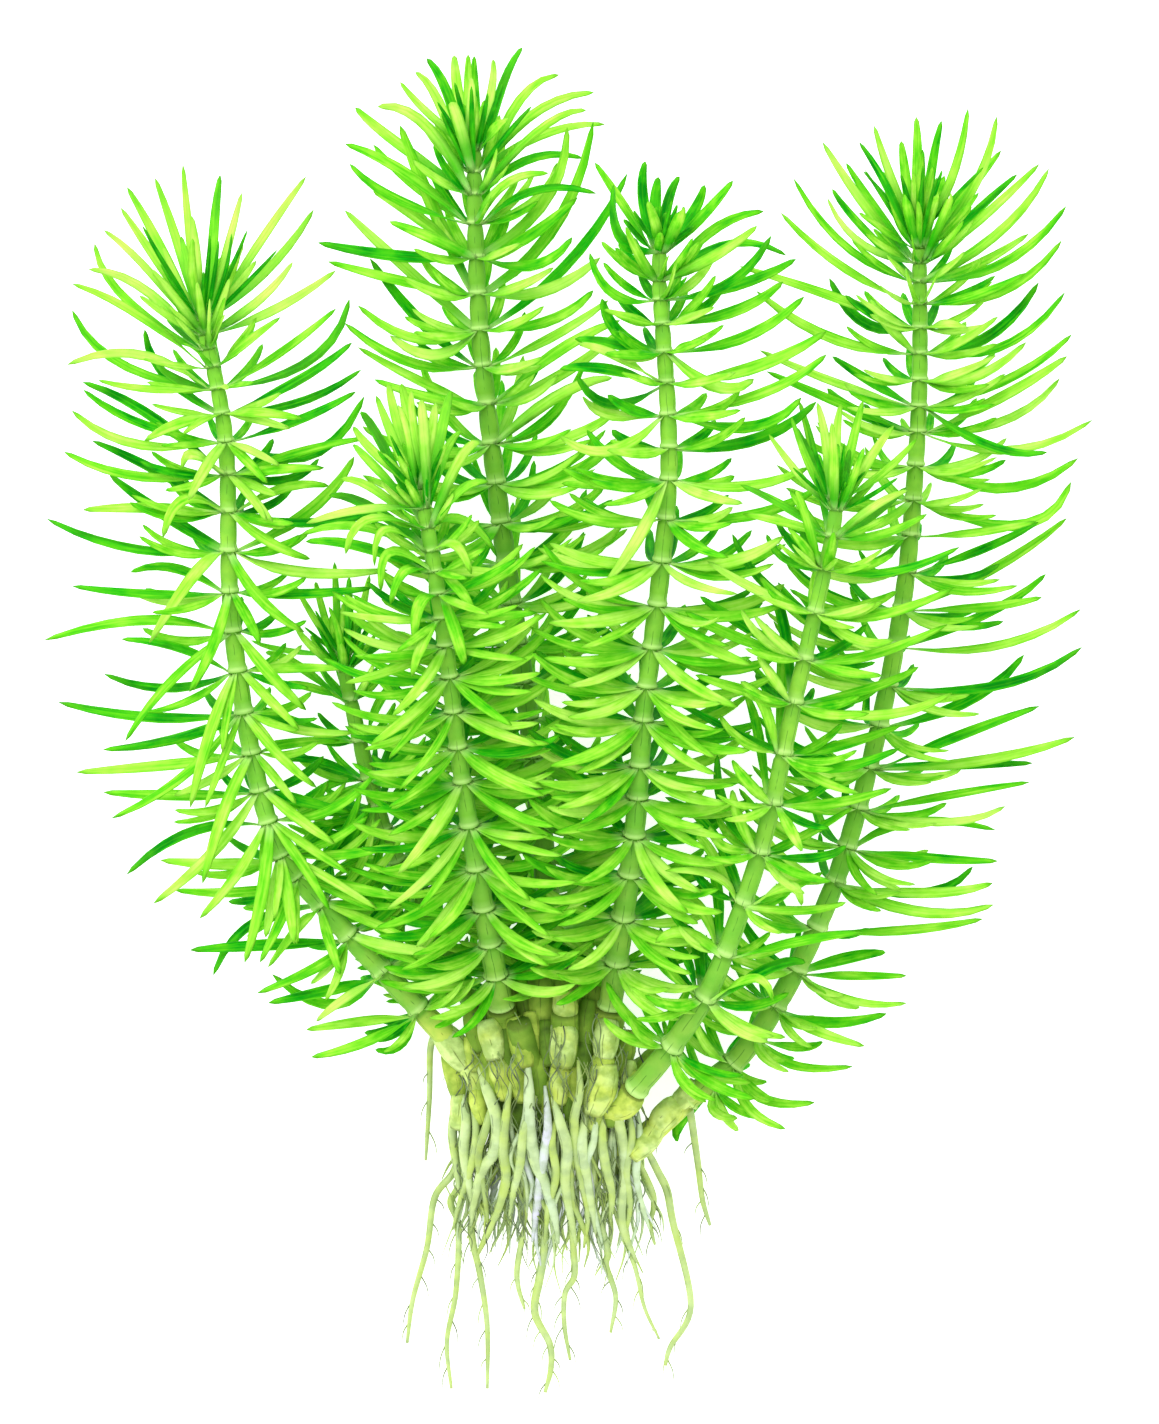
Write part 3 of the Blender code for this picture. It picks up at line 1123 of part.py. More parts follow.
def tube_frame(along):
    """Two directions square to a strand, the second as far up as it goes."""
    near = unit(np.array([0.0, 0.0, 1.0]) - along[2] * along)
    return np.cross(along, near), near


def make_tube(points, radii, sides):
    """A bmesh tube with flat closed ends and a ring of corners at each point."""
    bm = bmesh.new()
    stretches = len(points) - 1
    corners = None
    for place in range(stretches + 1):
        centre = smooth_point(points, place)
        ahead = smooth_point(points, min(place + A_LITTLE, stretches))
        behind = smooth_point(points, max(place - A_LITTLE, 0))
        right, near = tube_frame(unit(ahead - behind))
        radius = float(np.interp(place / stretches, np.linspace(0, 1, len(radii)), radii))
        spots = ring_points(centre * MM, right, near, radius * MM, sides, math.pi / sides)
        if corners is None:
            corners, cap = start_tube(bm, spots)
        else:
            corners, cap = draw_out(bm, corners, cap, spots)
    for vert in bm.verts:
        vert.co.z = max(vert.co.z, 0.0)
    return bm


def join_solid(body, others):
    """Unites the other closed shapes with the body, one after the other."""
    for other in others:
        step = body.modifiers.new("join", "BOOLEAN")
        step.operation = "UNION"
        step.solver = "EXACT"
        step.object = other
    bpy.context.view_layer.update()
    graph = bpy.context.evaluated_depsgraph_get()
    mesh = bpy.data.meshes.new_from_object(body.evaluated_get(graph))
    body.modifiers.clear()
    old = body.data
    body.data = mesh
    bpy.data.meshes.remove(old)
    for other in others:
        other.hide_render = True
        other.display_type = "WIRE"
    for face in body.data.polygons:
        face.use_smooth = True


def make_crown(home, cutters_home):
    """The rootstock with every swollen stem base joined to it."""
    bm = bmesh.new()
    bmesh.ops.create_uvsphere(bm, u_segments=CROWN_SEGMENTS, v_segments=CROWN_RINGS, radius=1.0)
    for vert in bm.verts:
        x, y, z = vert.co
        spot = Vector((x * CROWN_HALF_SIZE[0], y * CROWN_HALF_SIZE[1], z * CROWN_HALF_SIZE[2]))
        vert.co = (spot + Vector(CROWN_MIDDLE)) * MM
    body = finish_mesh("crown", bm, home, "crown")
    others = []
    for index, (points, radius) in enumerate(stem_bases(SHOOTS)):
        tube = make_tube(points, [radius * share for share in BASE_SWELL], BASE_SIDES)
        others.append(finish_mesh("stem_base_" + str(index + 1), tube, cutters_home, "crown"))
    join_solid(body, others)
    return body


def make_root_mass(home, cutters_home):
    """The bunched roots, each strand joined to the first."""
    points, *radii = ROOT_BUNCH[0]
    body = finish_mesh("root_mass", make_tube(points, radii, STRAND_SIDES), home, "root")
    others = []
    for index, (points, *radii) in enumerate(ROOT_BUNCH[1:]):
        tube = make_tube(points, radii, STRAND_SIDES)
        others.append(finish_mesh("root_strand_" + str(index + 2), tube, cutters_home, "root"))
    join_solid(body, others)
    return body


def make_long_root(name, points, radius, home):
    """One of the long single roots, thinner towards its tip."""
    tube = make_tube(points, [radius * share for share in ROOT_TAPER], ROOT_SIDES)
    return finish_mesh(name, tube, home, "root")


def centre_on_floor(things):
    """Moves everything so that the origin is under the middle of the bounding box."""
    low = Vector((1e9, 1e9, 1e9))
    high = -low
    for thing in things:
        for vert in thing.data.vertices:
            for axis in range(3):
                low[axis] = min(low[axis], vert.co[axis])
                high[axis] = max(high[axis], vert.co[axis])
    shift = Vector((-(low.x + high.x) / 2, -(low.y + high.y) / 2, -low.z))
    for thing in things:
        for vert in thing.data.vertices:
            vert.co += shift
    print("size in mm", [round(v / MM, 2) for v in high - low], "moved by", [round(v / MM, 3) for v in shift])


def main():
    """Builds every node of the clump, moves it over the origin and prints its size."""
    for thing in list(bpy.data.objects):
        bpy.data.objects.remove(thing, do_unlink=True)
    home = collection("pogostemon_clump")
    cutters_home = collection("shapes_joined_in", hidden=True)
    for shoot in SHOOTS.values():
        shoot["joints"] = stem_joints(shoot)
        shoot["leaves"] = []
        shoot["taken"] = set()
    place_leaves(SHOOTS)
    things = []
    for name, shoot in SHOOTS.items():
        things.append(make_shoot(name, shoot, home))
        print(name, len(shoot["joints"]), "joints", len(shoot["leaves"]), "leaves")
    things.append(make_crown(home, cutters_home))
    things.append(make_root_mass(home, cutters_home))
    for name, (points, radius) in LONG_ROOTS.items():
        things.append(make_long_root(name, points, radius, home))
    centre_on_floor(things)
    total = 0
    for thing in things:
        thing.data.calc_loop_triangles()
        total += len(thing.data.loop_triangles)
        print(thing.name, len(thing.data.loop_triangles), "triangles")
    print("all", total)


main()
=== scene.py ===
"""The looks of the uprooted clump of Pogostemon deccanensis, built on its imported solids."""

import math
import random

import bpy
import numpy as np
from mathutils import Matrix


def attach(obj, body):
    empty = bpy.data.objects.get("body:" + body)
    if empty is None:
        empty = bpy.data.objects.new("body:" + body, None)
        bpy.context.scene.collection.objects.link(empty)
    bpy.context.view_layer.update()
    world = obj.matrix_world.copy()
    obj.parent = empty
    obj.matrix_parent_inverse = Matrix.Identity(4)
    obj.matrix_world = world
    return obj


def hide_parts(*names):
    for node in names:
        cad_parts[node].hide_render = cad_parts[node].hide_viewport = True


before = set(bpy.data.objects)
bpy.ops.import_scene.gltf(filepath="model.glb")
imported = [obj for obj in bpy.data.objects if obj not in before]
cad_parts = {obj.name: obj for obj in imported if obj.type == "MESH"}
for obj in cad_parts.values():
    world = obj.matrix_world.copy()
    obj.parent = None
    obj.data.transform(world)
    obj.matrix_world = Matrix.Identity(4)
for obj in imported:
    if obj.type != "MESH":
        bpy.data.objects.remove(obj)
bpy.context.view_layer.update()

MM = 0.001

# A step of the picture in millimetres, and the place in it that lies over the middle of the plan
STEP = 0.155
MIDDLE_ACROSS = 567.5
MIDDLE_DOWN = 721.0

# The solids were moved by this much, in millimetres, to bring their middle over the origin
MOVED_BY = np.array([-0.155, -0.058, 0.0])

# Overall driving sizes, in millimetres
STEM_SIDES = 6
STEM_TIP_RADIUS = 1.15
STEM_FULL_RADIUS = 1.45
STEM_BASE_RADIUS = 1.85
STEM_THICKENS_OVER = 60.0
BUD_LENGTH = 2.2
LEAF_HALF_WIDTH = 0.95
LEAF_THICKNESS = 0.42
LEAF_STEPS = 8
LEAF_MIDDLE_STEP = 4
FLOOR_CLEARANCE = 0.34
TIP_TOUCHES_UNDER = 0.6
NEARLY_UPRIGHT = 0.2
UPRIGHT_LEANS = 0.5
GAP = 0.3
DROPPED_UNDER = 0.8 * GAP
RING_TURN = math.radians(17.0)
STEM_SWELLS_FROM = 0.6
LEAF_STEEPEST = 78.0
FACES_TIP = 0.5
FACES_LIGHT = 0.9

# Leaves missing from the rings: half of those at the foot, and some of those behind the stem
BARE_BELOW_SHARE = 0.965
MISSING_SHARE = 0.5
FULL_RINGS_WITHIN = 8.0
SHED_MORE_BEYOND = 16.0

# How much single leaves differ from the habit: angles in degrees, and the range of their length
TURN_VARIES = 9.0
RISE_VARIES = 6.0
CURL_VARIES = 8.0
SWING_VARIES = 10.0
LENGTH_SHARES = (0.9, 1.06)

# The leaf habit along every stem: distance from the tip, rise of the side leaves above square to
# the stem, how far they curl up along their length, and the same two for leaves on the near side
HABIT = [
    (0.0, 75.0, 0.0, 77.0, 0.0),
    (1.5, 53.0, 6.0, 60.0, 0.0),
    (3.0, 40.0, 12.0, 44.0, 0.0),
    (6.0, 28.0, 22.0, 30.0, -10.0),
    (10.0, 17.0, 32.0, 12.0, -20.0),
    (16.0, 6.0, 40.0, -8.0, -30.0),
    (26.0, -4.0, 46.0, -28.0, -30.0),
    (40.0, -12.0, 50.0, -42.0, -28.0),
    (60.0, -14.0, 50.0, -48.0, -24.0),
    (100.0, -14.0, 50.0, -48.0, -20.0),
    (165.0, -12.0, 44.0, -45.0, -16.0),
]


# Each shoot: the route of its stem from the tip down, as x, y, height and the number of joints on
# to the next point; how far its near leaves hang down the stem; and leaf lengths as distance from
# the tip, length on the left and length on the right
SHOOTS = {
    "shoot_far_left": {
        "hang": 1.0, "seed": 3,
        "route": [
            (-56.2, 62.5, 26, 2), (-56.0, 59.8, 26, 5), (-52.9, 43.2, 26, 5), (-51.8, 13.8, 25, 5),
            (-46.3, -15.7, 22, 3), (-38.1, -28.5, 19, 4), (-17.4, -50.5, 13, 0),
        ],
        "lengths": [
            (0, 22, 22), (6, 21, 21), (20, 22, 21), (36, 26, 20), (62, 27, 20), (82, 23, 18),
            (104, 18, 16), (130, 13, 11),
        ],
    },
    "shoot_small_left": {
        "hang": 0.5, "seed": 11,
        "route": [
            (-34.6, 10.2, 15, 1), (-34.6, 7.9, 15, 3), (-30.8, -9.0, 13, 3), (-26.3, -21.9, 11, 4),
            (-14.2, -44.8, 6, 0),
        ],
        "lengths": [
            (0, 12, 12), (10, 14, 13), (40, 14, 13), (60, 11, 10),
        ],
    },
    "shoot_mid_left": {
        "hang": 0.6, "seed": 5,
        "route": [
            (-22.7, 35.8, 36, 3), (-21.0, 26.2, 36, 4), (-18.8, 11.6, 35, 4), (-16.2, -9.5, 31, 3),
            (-12.9, -29.1, 25, 3), (-10.2, -44.5, 17, 0),
        ],
        "lengths": [
            (0, 13, 13), (8, 15, 15), (25, 18, 17), (60, 19, 18), (85, 15, 14),
        ],
    },
    "shoot_tallest": {
        "hang": 0.15, "seed": 7,
        "route": [
            (-14.5, 88.5, 17, 1), (-14.5, 85.1, 17, 5), (-13.6, 60.6, 17, 5), (-10.3, 30.7, 17, 5),
            (-6.0, 0.3, 16, 4), (-3.6, -21.5, 14, 4), (-1.2, -43.7, 10, 0),
        ],
        "lengths": [
            (0, 15, 16), (3, 19, 20), (25, 20, 20), (60, 21, 20), (130, 17, 17),
        ],
    },
    "shoot_centre_right": {
        "hang": 0.4, "seed": 2,
        "route": [
            (14.5, 73.6, 35, 2), (14.2, 68.0, 35, 7), (15.6, 37.2, 36, 6), (11.7, 0.0, 33, 3),
            (10.3, -17.8, 29, 4), (6.6, -44.5, 17, 0),
        ],
        "lengths": [
            (0, 11, 11), (2, 13, 13), (5, 17, 18), (20, 18, 21), (60, 20, 20), (120, 16, 16),
        ],
    },
    "shoot_front_right": {
        "hang": 0.3, "seed": 17,
        "route": [
            (41.3, 34.1, 40, 2), (40.8, 28.4, 40, 4), (35.0, 2.8, 39, 3), (29.7, -20.3, 35, 3),
            (21.2, -42.9, 27, 2), (10.4, -57.3, 17, 0),
        ],
        "lengths": [
            (0, 13, 13), (6, 16, 16), (20, 20, 20), (60, 20, 20), (95, 13, 13),
        ],
    },
    "shoot_far_right": {
        "hang": 0.2, "seed": 23,
        "route": [
            (54.6, 76.3, 18, 1), (54.6, 73.3, 18, 8), (54.3, 44.8, 18, 6), (50.9, 11.6, 18, 6),
            (41.5, -25.0, 16, 4), (29.2, -49.0, 12, 3), (18.6, -58.9, 10, 0),
        ],
        "lengths": [
            (0, 17, 17), (3, 19, 21), (25, 21, 24), (45, 22, 27), (85, 22, 26), (110, 18, 19),
            (130, 14, 15), (160, 11, 13),
        ],
    },
}

# Leaves that stand out at the edge of the clump: where each leaves its stem, its middle and its
# tip, in steps to the right of and down from the corner of the picture, and whether it grows at
# the side of its stem (S), in front of it (F) or behind it (B)
S, F, B = "side", "front", "behind"
EDGE_LEAVES = {}
EDGE_LEAVES["shoot_far_left"] = [
    (200, 312, 190, 240, 183, 165, B), (205, 312, 213, 240, 220, 175, B), (198, 312, 178, 245, 155, 178, B),
    (196, 314, 162, 250, 127, 187, B), (194, 318, 158, 262, 122, 209, S), (192, 322, 150, 272, 106, 232, S),
    (210, 314, 228, 252, 243, 195, F), (203, 316, 198, 266, 193, 218, F), (213, 318, 228, 283, 241, 250, F),
    (215, 318, 262, 240, 306, 177, S), (216, 326, 268, 268, 313, 209, B), (218, 334, 260, 302, 294, 264, F),
    (195, 332, 125, 298, 95, 244, B), (196, 336, 145, 290, 89, 270, S), (200, 352, 138, 315, 74, 285, S),
    (222, 350, 275, 310, 336, 271, S), (212, 355, 245, 345, 281, 318, F), (205, 378, 120, 363, 72, 310, B),
    (205, 375, 140, 355, 68, 365, S), (225, 372, 285, 350, 336, 309, S), (228, 378, 310, 360, 349, 299, B),
    (212, 396, 150, 390, 100, 381, F), (230, 397, 300, 380, 352, 343, S), (232, 400, 300, 402, 361, 370, B),
    (212, 400, 165, 375, 145, 330, B), (215, 421, 180, 424, 145, 441, F), (215, 425, 140, 423, 84, 390, B),
    (215, 440, 150, 415, 83, 382, B), (215, 444, 135, 444, 73, 411, S), (232, 421, 300, 420, 356, 392, S),
    (235, 441, 310, 455, 364, 397, B), (235, 446, 300, 452, 367, 438, S), (235, 445, 275, 470, 325, 468, F),
    (213, 446, 195, 455, 184, 470, F), (218, 470, 135, 476, 65, 452, S), (218, 470, 185, 500, 164, 538, F),
    (240, 472, 285, 488, 329, 486, S), (215, 502, 155, 470, 93, 441, B), (215, 502, 150, 508, 84, 510, S),
    (220, 505, 195, 575, 150, 643, F), (240, 502, 310, 523, 390, 508, S), (240, 510, 270, 542, 311, 559, F),
    (238, 500, 285, 480, 319, 459, B), (220, 548, 130, 548, 48, 519, S), (218, 552, 165, 515, 110, 475, B),
    (240, 550, 300, 572, 388, 570, S), (240, 552, 310, 510, 354, 457, B), (238, 552, 262, 600, 305, 632, F),
    (220, 590, 175, 568, 131, 572, B), (222, 597, 150, 594, 73, 586, S), (225, 600, 214, 645, 190, 692, F),
    (242, 597, 300, 594, 372, 588, S), (222, 628, 145, 620, 45, 640, S), (225, 640, 170, 683, 126, 741, F),
    (228, 665, 180, 648, 122, 639, S), (228, 668, 210, 735, 191, 807, F), (243, 633, 270, 673, 307, 710, F),
    (245, 665, 290, 668, 345, 668, S), (228, 675, 170, 688, 105, 674, B), (230, 707, 150, 717, 59, 702, S),
    (233, 712, 185, 775, 112, 818, F), (250, 712, 300, 730, 355, 732, S), (232, 715, 180, 738, 103, 750, B),
    (248, 720, 280, 755, 317, 787, F), (235, 748, 225, 810, 203, 883, F), (235, 748, 165, 765, 77, 772, S),
    (258, 748, 290, 744, 340, 740, S), (240, 775, 180, 795, 104, 792, S), (250, 790, 215, 850, 154, 903, F),
    (262, 790, 300, 800, 350, 812, S), (255, 820, 190, 832, 127, 874, S), (258, 815, 240, 870, 200, 918, F),
    (265, 828, 262, 895, 245, 962, F), (280, 862, 230, 864, 161, 860, S), (283, 865, 283, 915, 260, 962, F),
    (300, 893, 240, 892, 175, 890, S), (310, 895, 300, 925, 268, 967, F), (312, 900, 250, 925, 213, 975, B),
    (340, 925, 265, 945, 190, 950, S), (340, 928, 320, 965, 257, 993, F),
    (365, 962, 330, 990, 268, 1003, S), (365, 968, 345, 998, 316, 1021, F),
    (388, 1003, 330, 1005, 272, 975, B), (390, 1005, 360, 1022, 306, 1030, S),
    (390, 1008, 365, 1042, 311, 1057, F), (430, 1035, 405, 1062, 380, 1084, F),
    (430, 1038, 400, 1045, 375, 1050, S),
]
EDGE_LEAVES["shoot_small_left"] = [
    (347, 675, 340, 640, 329, 607, F), (345, 655, 349, 615, 349, 577, F), (340, 650, 336, 605, 334, 562, B),
    (337, 655, 315, 620, 295, 586, S), (332, 675, 312, 647, 295, 625, F), (335, 645, 322, 610, 315, 582, B),
    (347, 655, 360, 615, 369, 575, B), (352, 657, 377, 645, 405, 632, S), (360, 677, 387, 670, 412, 652, S),
    (327, 677, 297, 665, 265, 652, S), (322, 655, 285, 650, 250, 640, B), (340, 687, 310, 687, 280, 684, S),
    (350, 730, 307, 725, 255, 705, S), (357, 712, 380, 700, 405, 675, S), (350, 737, 322, 740, 270, 742, S),
    (365, 735, 400, 730, 440, 720, S), (352, 765, 322, 762, 287, 760, S), (365, 770, 335, 782, 285, 812, S),
    (372, 757, 410, 752, 440, 740, S),
]
EDGE_LEAVES["shoot_mid_left"] = [
    (417, 472, 410, 440, 399, 407, F), (410, 470, 395, 442, 377, 397, S), (405, 470, 397, 422, 389, 385, B),
    (415, 470, 410, 422, 402, 385, B), (420, 467, 415, 430, 412, 392, F), (425, 467, 425, 435, 422, 402, F),
    (427, 470, 432, 435, 436, 405, F), (430, 465, 442, 430, 451, 392, B), (430, 477, 445, 455, 462, 432, S),
    (435, 482, 460, 462, 480, 445, F), (432, 495, 460, 492, 489, 482, F), (400, 475, 375, 467, 355, 445, S),
    (400, 477, 377, 455, 354, 427, B), (397, 470, 380, 440, 361, 414, B), (407, 495, 375, 490, 341, 480, S),
    (410, 502, 365, 510, 308, 524, S), (405, 505, 370, 520, 347, 555, F), (402, 512, 387, 530, 376, 567, F),
    (415, 530, 392, 552, 382, 592, F), (422, 552, 405, 572, 391, 605, F), (420, 500, 420, 510, 423, 524, F),
    (427, 510, 429, 530, 427, 550, F), (435, 505, 462, 520, 495, 550, S), (440, 525, 455, 545, 472, 575, F),
    (437, 507, 470, 525, 497, 557, B), (445, 575, 460, 590, 475, 612, F), (425, 575, 420, 605, 415, 642, F),
    (450, 605, 457, 635, 465, 665, F), (435, 622, 422, 647, 412, 677, F), (400, 507, 370, 507, 330, 496, B),
    (405, 525, 362, 527, 302, 535, S), (420, 552, 362, 547, 307, 542, S), (440, 565, 475, 572, 515, 575, S),
]
EDGE_LEAVES["shoot_tallest"] = [
    (478, 140, 471, 108, 471, 78, F), (470, 140, 458, 120, 450, 101, F), (482, 142, 495, 128, 508, 118, F),
    (478, 138, 475, 95, 474, 55, B), (474, 138, 468, 95, 468, 54, B), (470, 140, 458, 95, 454, 54, B),
    (484, 140, 490, 95, 493, 58, B), (468, 142, 450, 100, 427, 59, S), (466, 145, 442, 108, 415, 70, S),
    (465, 150, 430, 115, 400, 82, S), (488, 142, 500, 90, 522, 45, S), (490, 148, 515, 105, 559, 73, S),
    (492, 152, 535, 113, 594, 93, S), (495, 158, 540, 130, 586, 111, F), (492, 165, 545, 133, 605, 123, S),
    (462, 155, 425, 125, 378, 107, S), (460, 168, 395, 140, 355, 106, B), (468, 175, 405, 172, 345, 143, S),
    (485, 180, 530, 158, 583, 157, S), (482, 203, 505, 185, 548, 174, F), (468, 206, 395, 198, 350, 164, S),
    (465, 225, 415, 185, 373, 143, B), (485, 205, 535, 190, 596, 193, S), (485, 225, 535, 200, 557, 162, B),
    (472, 235, 415, 215, 373, 190, S), (472, 240, 430, 238, 390, 222, F), (488, 240, 530, 235, 577, 197, S),
    (490, 260, 545, 200, 567, 127, B), (475, 262, 395, 255, 318, 242, S), (465, 290, 430, 200, 400, 125, B),
    (490, 268, 535, 265, 572, 237, F), (476, 295, 400, 280, 328, 261, S), (476, 298, 400, 262, 345, 210, B),
    (495, 298, 555, 225, 593, 122, B), (495, 300, 545, 290, 600, 257, S), (485, 332, 415, 338, 358, 305, S),
    (480, 335, 420, 320, 370, 258, B), (495, 332, 550, 320, 593, 290, S), (498, 335, 570, 260, 627, 173, B),
    (485, 368, 410, 362, 345, 323, S), (485, 370, 435, 355, 390, 335, F), (503, 368, 555, 335, 608, 300, S),
    (487, 400, 425, 383, 358, 347, S), (505, 372, 560, 350, 620, 320, F), (490, 407, 430, 398, 375, 380, F),
    (510, 407, 560, 375, 620, 330, S), (512, 410, 560, 395, 612, 378, F),
]
EDGE_LEAVES["shoot_centre_right"] = [
    (657, 238, 643, 200, 645, 163, B), (659, 236, 655, 207, 658, 179, B), (662, 238, 667, 206, 679, 178, B),
    (667, 242, 692, 215, 704, 187, B), (668, 248, 703, 217, 732, 183, S), (665, 240, 677, 225, 683, 210, F),
    (670, 250, 697, 240, 718, 222, F), (652, 246, 622, 205, 595, 165, S), (650, 252, 620, 240, 613, 188, F),
    (670, 262, 712, 232, 763, 213, S), (672, 282, 715, 258, 756, 229, F), (670, 266, 728, 245, 786, 256, B),
    (672, 285, 728, 285, 770, 238, S), (652, 310, 612, 295, 590, 255, F), (672, 305, 740, 285, 795, 260, B),
    (672, 310, 735, 312, 782, 283, S), (672, 340, 745, 338, 803, 298, S), (650, 338, 620, 335, 602, 300, B),
    (650, 340, 615, 345, 575, 340, S), (674, 367, 755, 368, 825, 333, S), (650, 367, 615, 357, 578, 345, F),
    (674, 372, 715, 388, 753, 380, F), (652, 396, 605, 370, 560, 370, S), (675, 396, 765, 393, 825, 356, S),
    (652, 400, 612, 405, 577, 377, B), (675, 424, 750, 428, 800, 399, S), (655, 424, 610, 415, 583, 398, B),
    (676, 428, 755, 440, 815, 403, B), (655, 430, 610, 452, 560, 437, F), (676, 481, 745, 487, 808, 468, S),
    (655, 481, 605, 485, 562, 484, S), (680, 515, 755, 515, 818, 488, S), (655, 485, 640, 535, 605, 585, F),
]
EDGE_LEAVES["shoot_front_right"] = [
    (828, 500, 815, 470, 795, 427, B), (827, 510, 797, 475, 768, 436, S), (828, 505, 810, 470, 790, 418, B),
    (830, 500, 815, 462, 799, 402, B), (832, 498, 825, 450, 816, 405, F), (834, 498, 835, 450, 840, 405, B),
    (836, 500, 850, 450, 862, 402, B), (838, 500, 865, 465, 892, 427, S), (845, 508, 880, 475, 915, 440, S),
    (832, 500, 832, 470, 830, 425, F), (838, 505, 852, 478, 862, 450, F), (838, 510, 872, 508, 905, 492, F),
    (838, 537, 870, 517, 905, 488, B), (840, 542, 880, 535, 925, 515, S), (830, 578, 870, 565, 902, 540, B),
    (835, 580, 892, 572, 957, 548, S), (828, 612, 860, 607, 895, 592, B), (825, 618, 880, 615, 952, 588, S),
    (822, 622, 855, 640, 892, 640, F), (817, 652, 840, 647, 865, 625, B), (815, 657, 870, 655, 945, 625, S),
    (817, 660, 845, 672, 880, 675, F), (812, 695, 870, 688, 917, 667, B), (807, 702, 880, 715, 950, 693, S),
    (824, 522, 785, 508, 740, 486, S), (822, 540, 790, 525, 742, 515, S), (825, 543, 805, 520, 795, 492, F),
    (827, 575, 805, 550, 787, 528, F), (822, 575, 785, 560, 766, 535, S), (812, 612, 762, 582, 732, 535, B),
    (810, 617, 755, 590, 707, 562, S), (802, 645, 775, 640, 754, 617, F), (800, 652, 730, 635, 685, 612, S),
    (800, 650, 742, 625, 700, 597, B), (797, 642, 782, 620, 766, 592, B), (790, 700, 742, 690, 695, 675, S),
    (790, 697, 770, 675, 757, 657, F), (790, 687, 782, 670, 777, 655, B), (787, 705, 762, 705, 740, 682, F),
    (797, 745, 840, 745, 900, 725, B), (795, 752, 835, 767, 898, 748, S), (790, 762, 820, 780, 857, 792, F),
    (780, 810, 790, 830, 802, 850, F), (782, 805, 830, 803, 890, 788, S), (765, 850, 800, 837, 852, 807, B),
    (767, 852, 815, 857, 845, 845, S), (767, 857, 795, 872, 830, 880, F), (775, 865, 787, 885, 800, 905, F),
    (752, 897, 785, 890, 822, 872, B), (750, 905, 800, 910, 845, 902, S), (747, 915, 800, 940, 862, 931, F),
    (732, 947, 765, 952, 800, 937, B), (735, 957, 770, 967, 805, 962, S),
    (730, 960, 752, 977, 772, 1000, F), (780, 750, 740, 735, 668, 697, S),
    (775, 745, 757, 730, 745, 695, B), (770, 800, 745, 780, 732, 760, F), (755, 842, 737, 815, 732, 790, F),
    (755, 842, 725, 810, 717, 755, B), (750, 855, 722, 845, 710, 825, F), (750, 856, 710, 850, 696, 837, S),
    (747, 855, 712, 832, 665, 797, B), (750, 860, 715, 875, 665, 870, S), (735, 907, 700, 907, 670, 892, S),
    (735, 902, 717, 887, 705, 855, B), (725, 920, 685, 932, 655, 942, S), (717, 947, 695, 940, 675, 927, B),
    (715, 960, 685, 955, 667, 945, S),
]
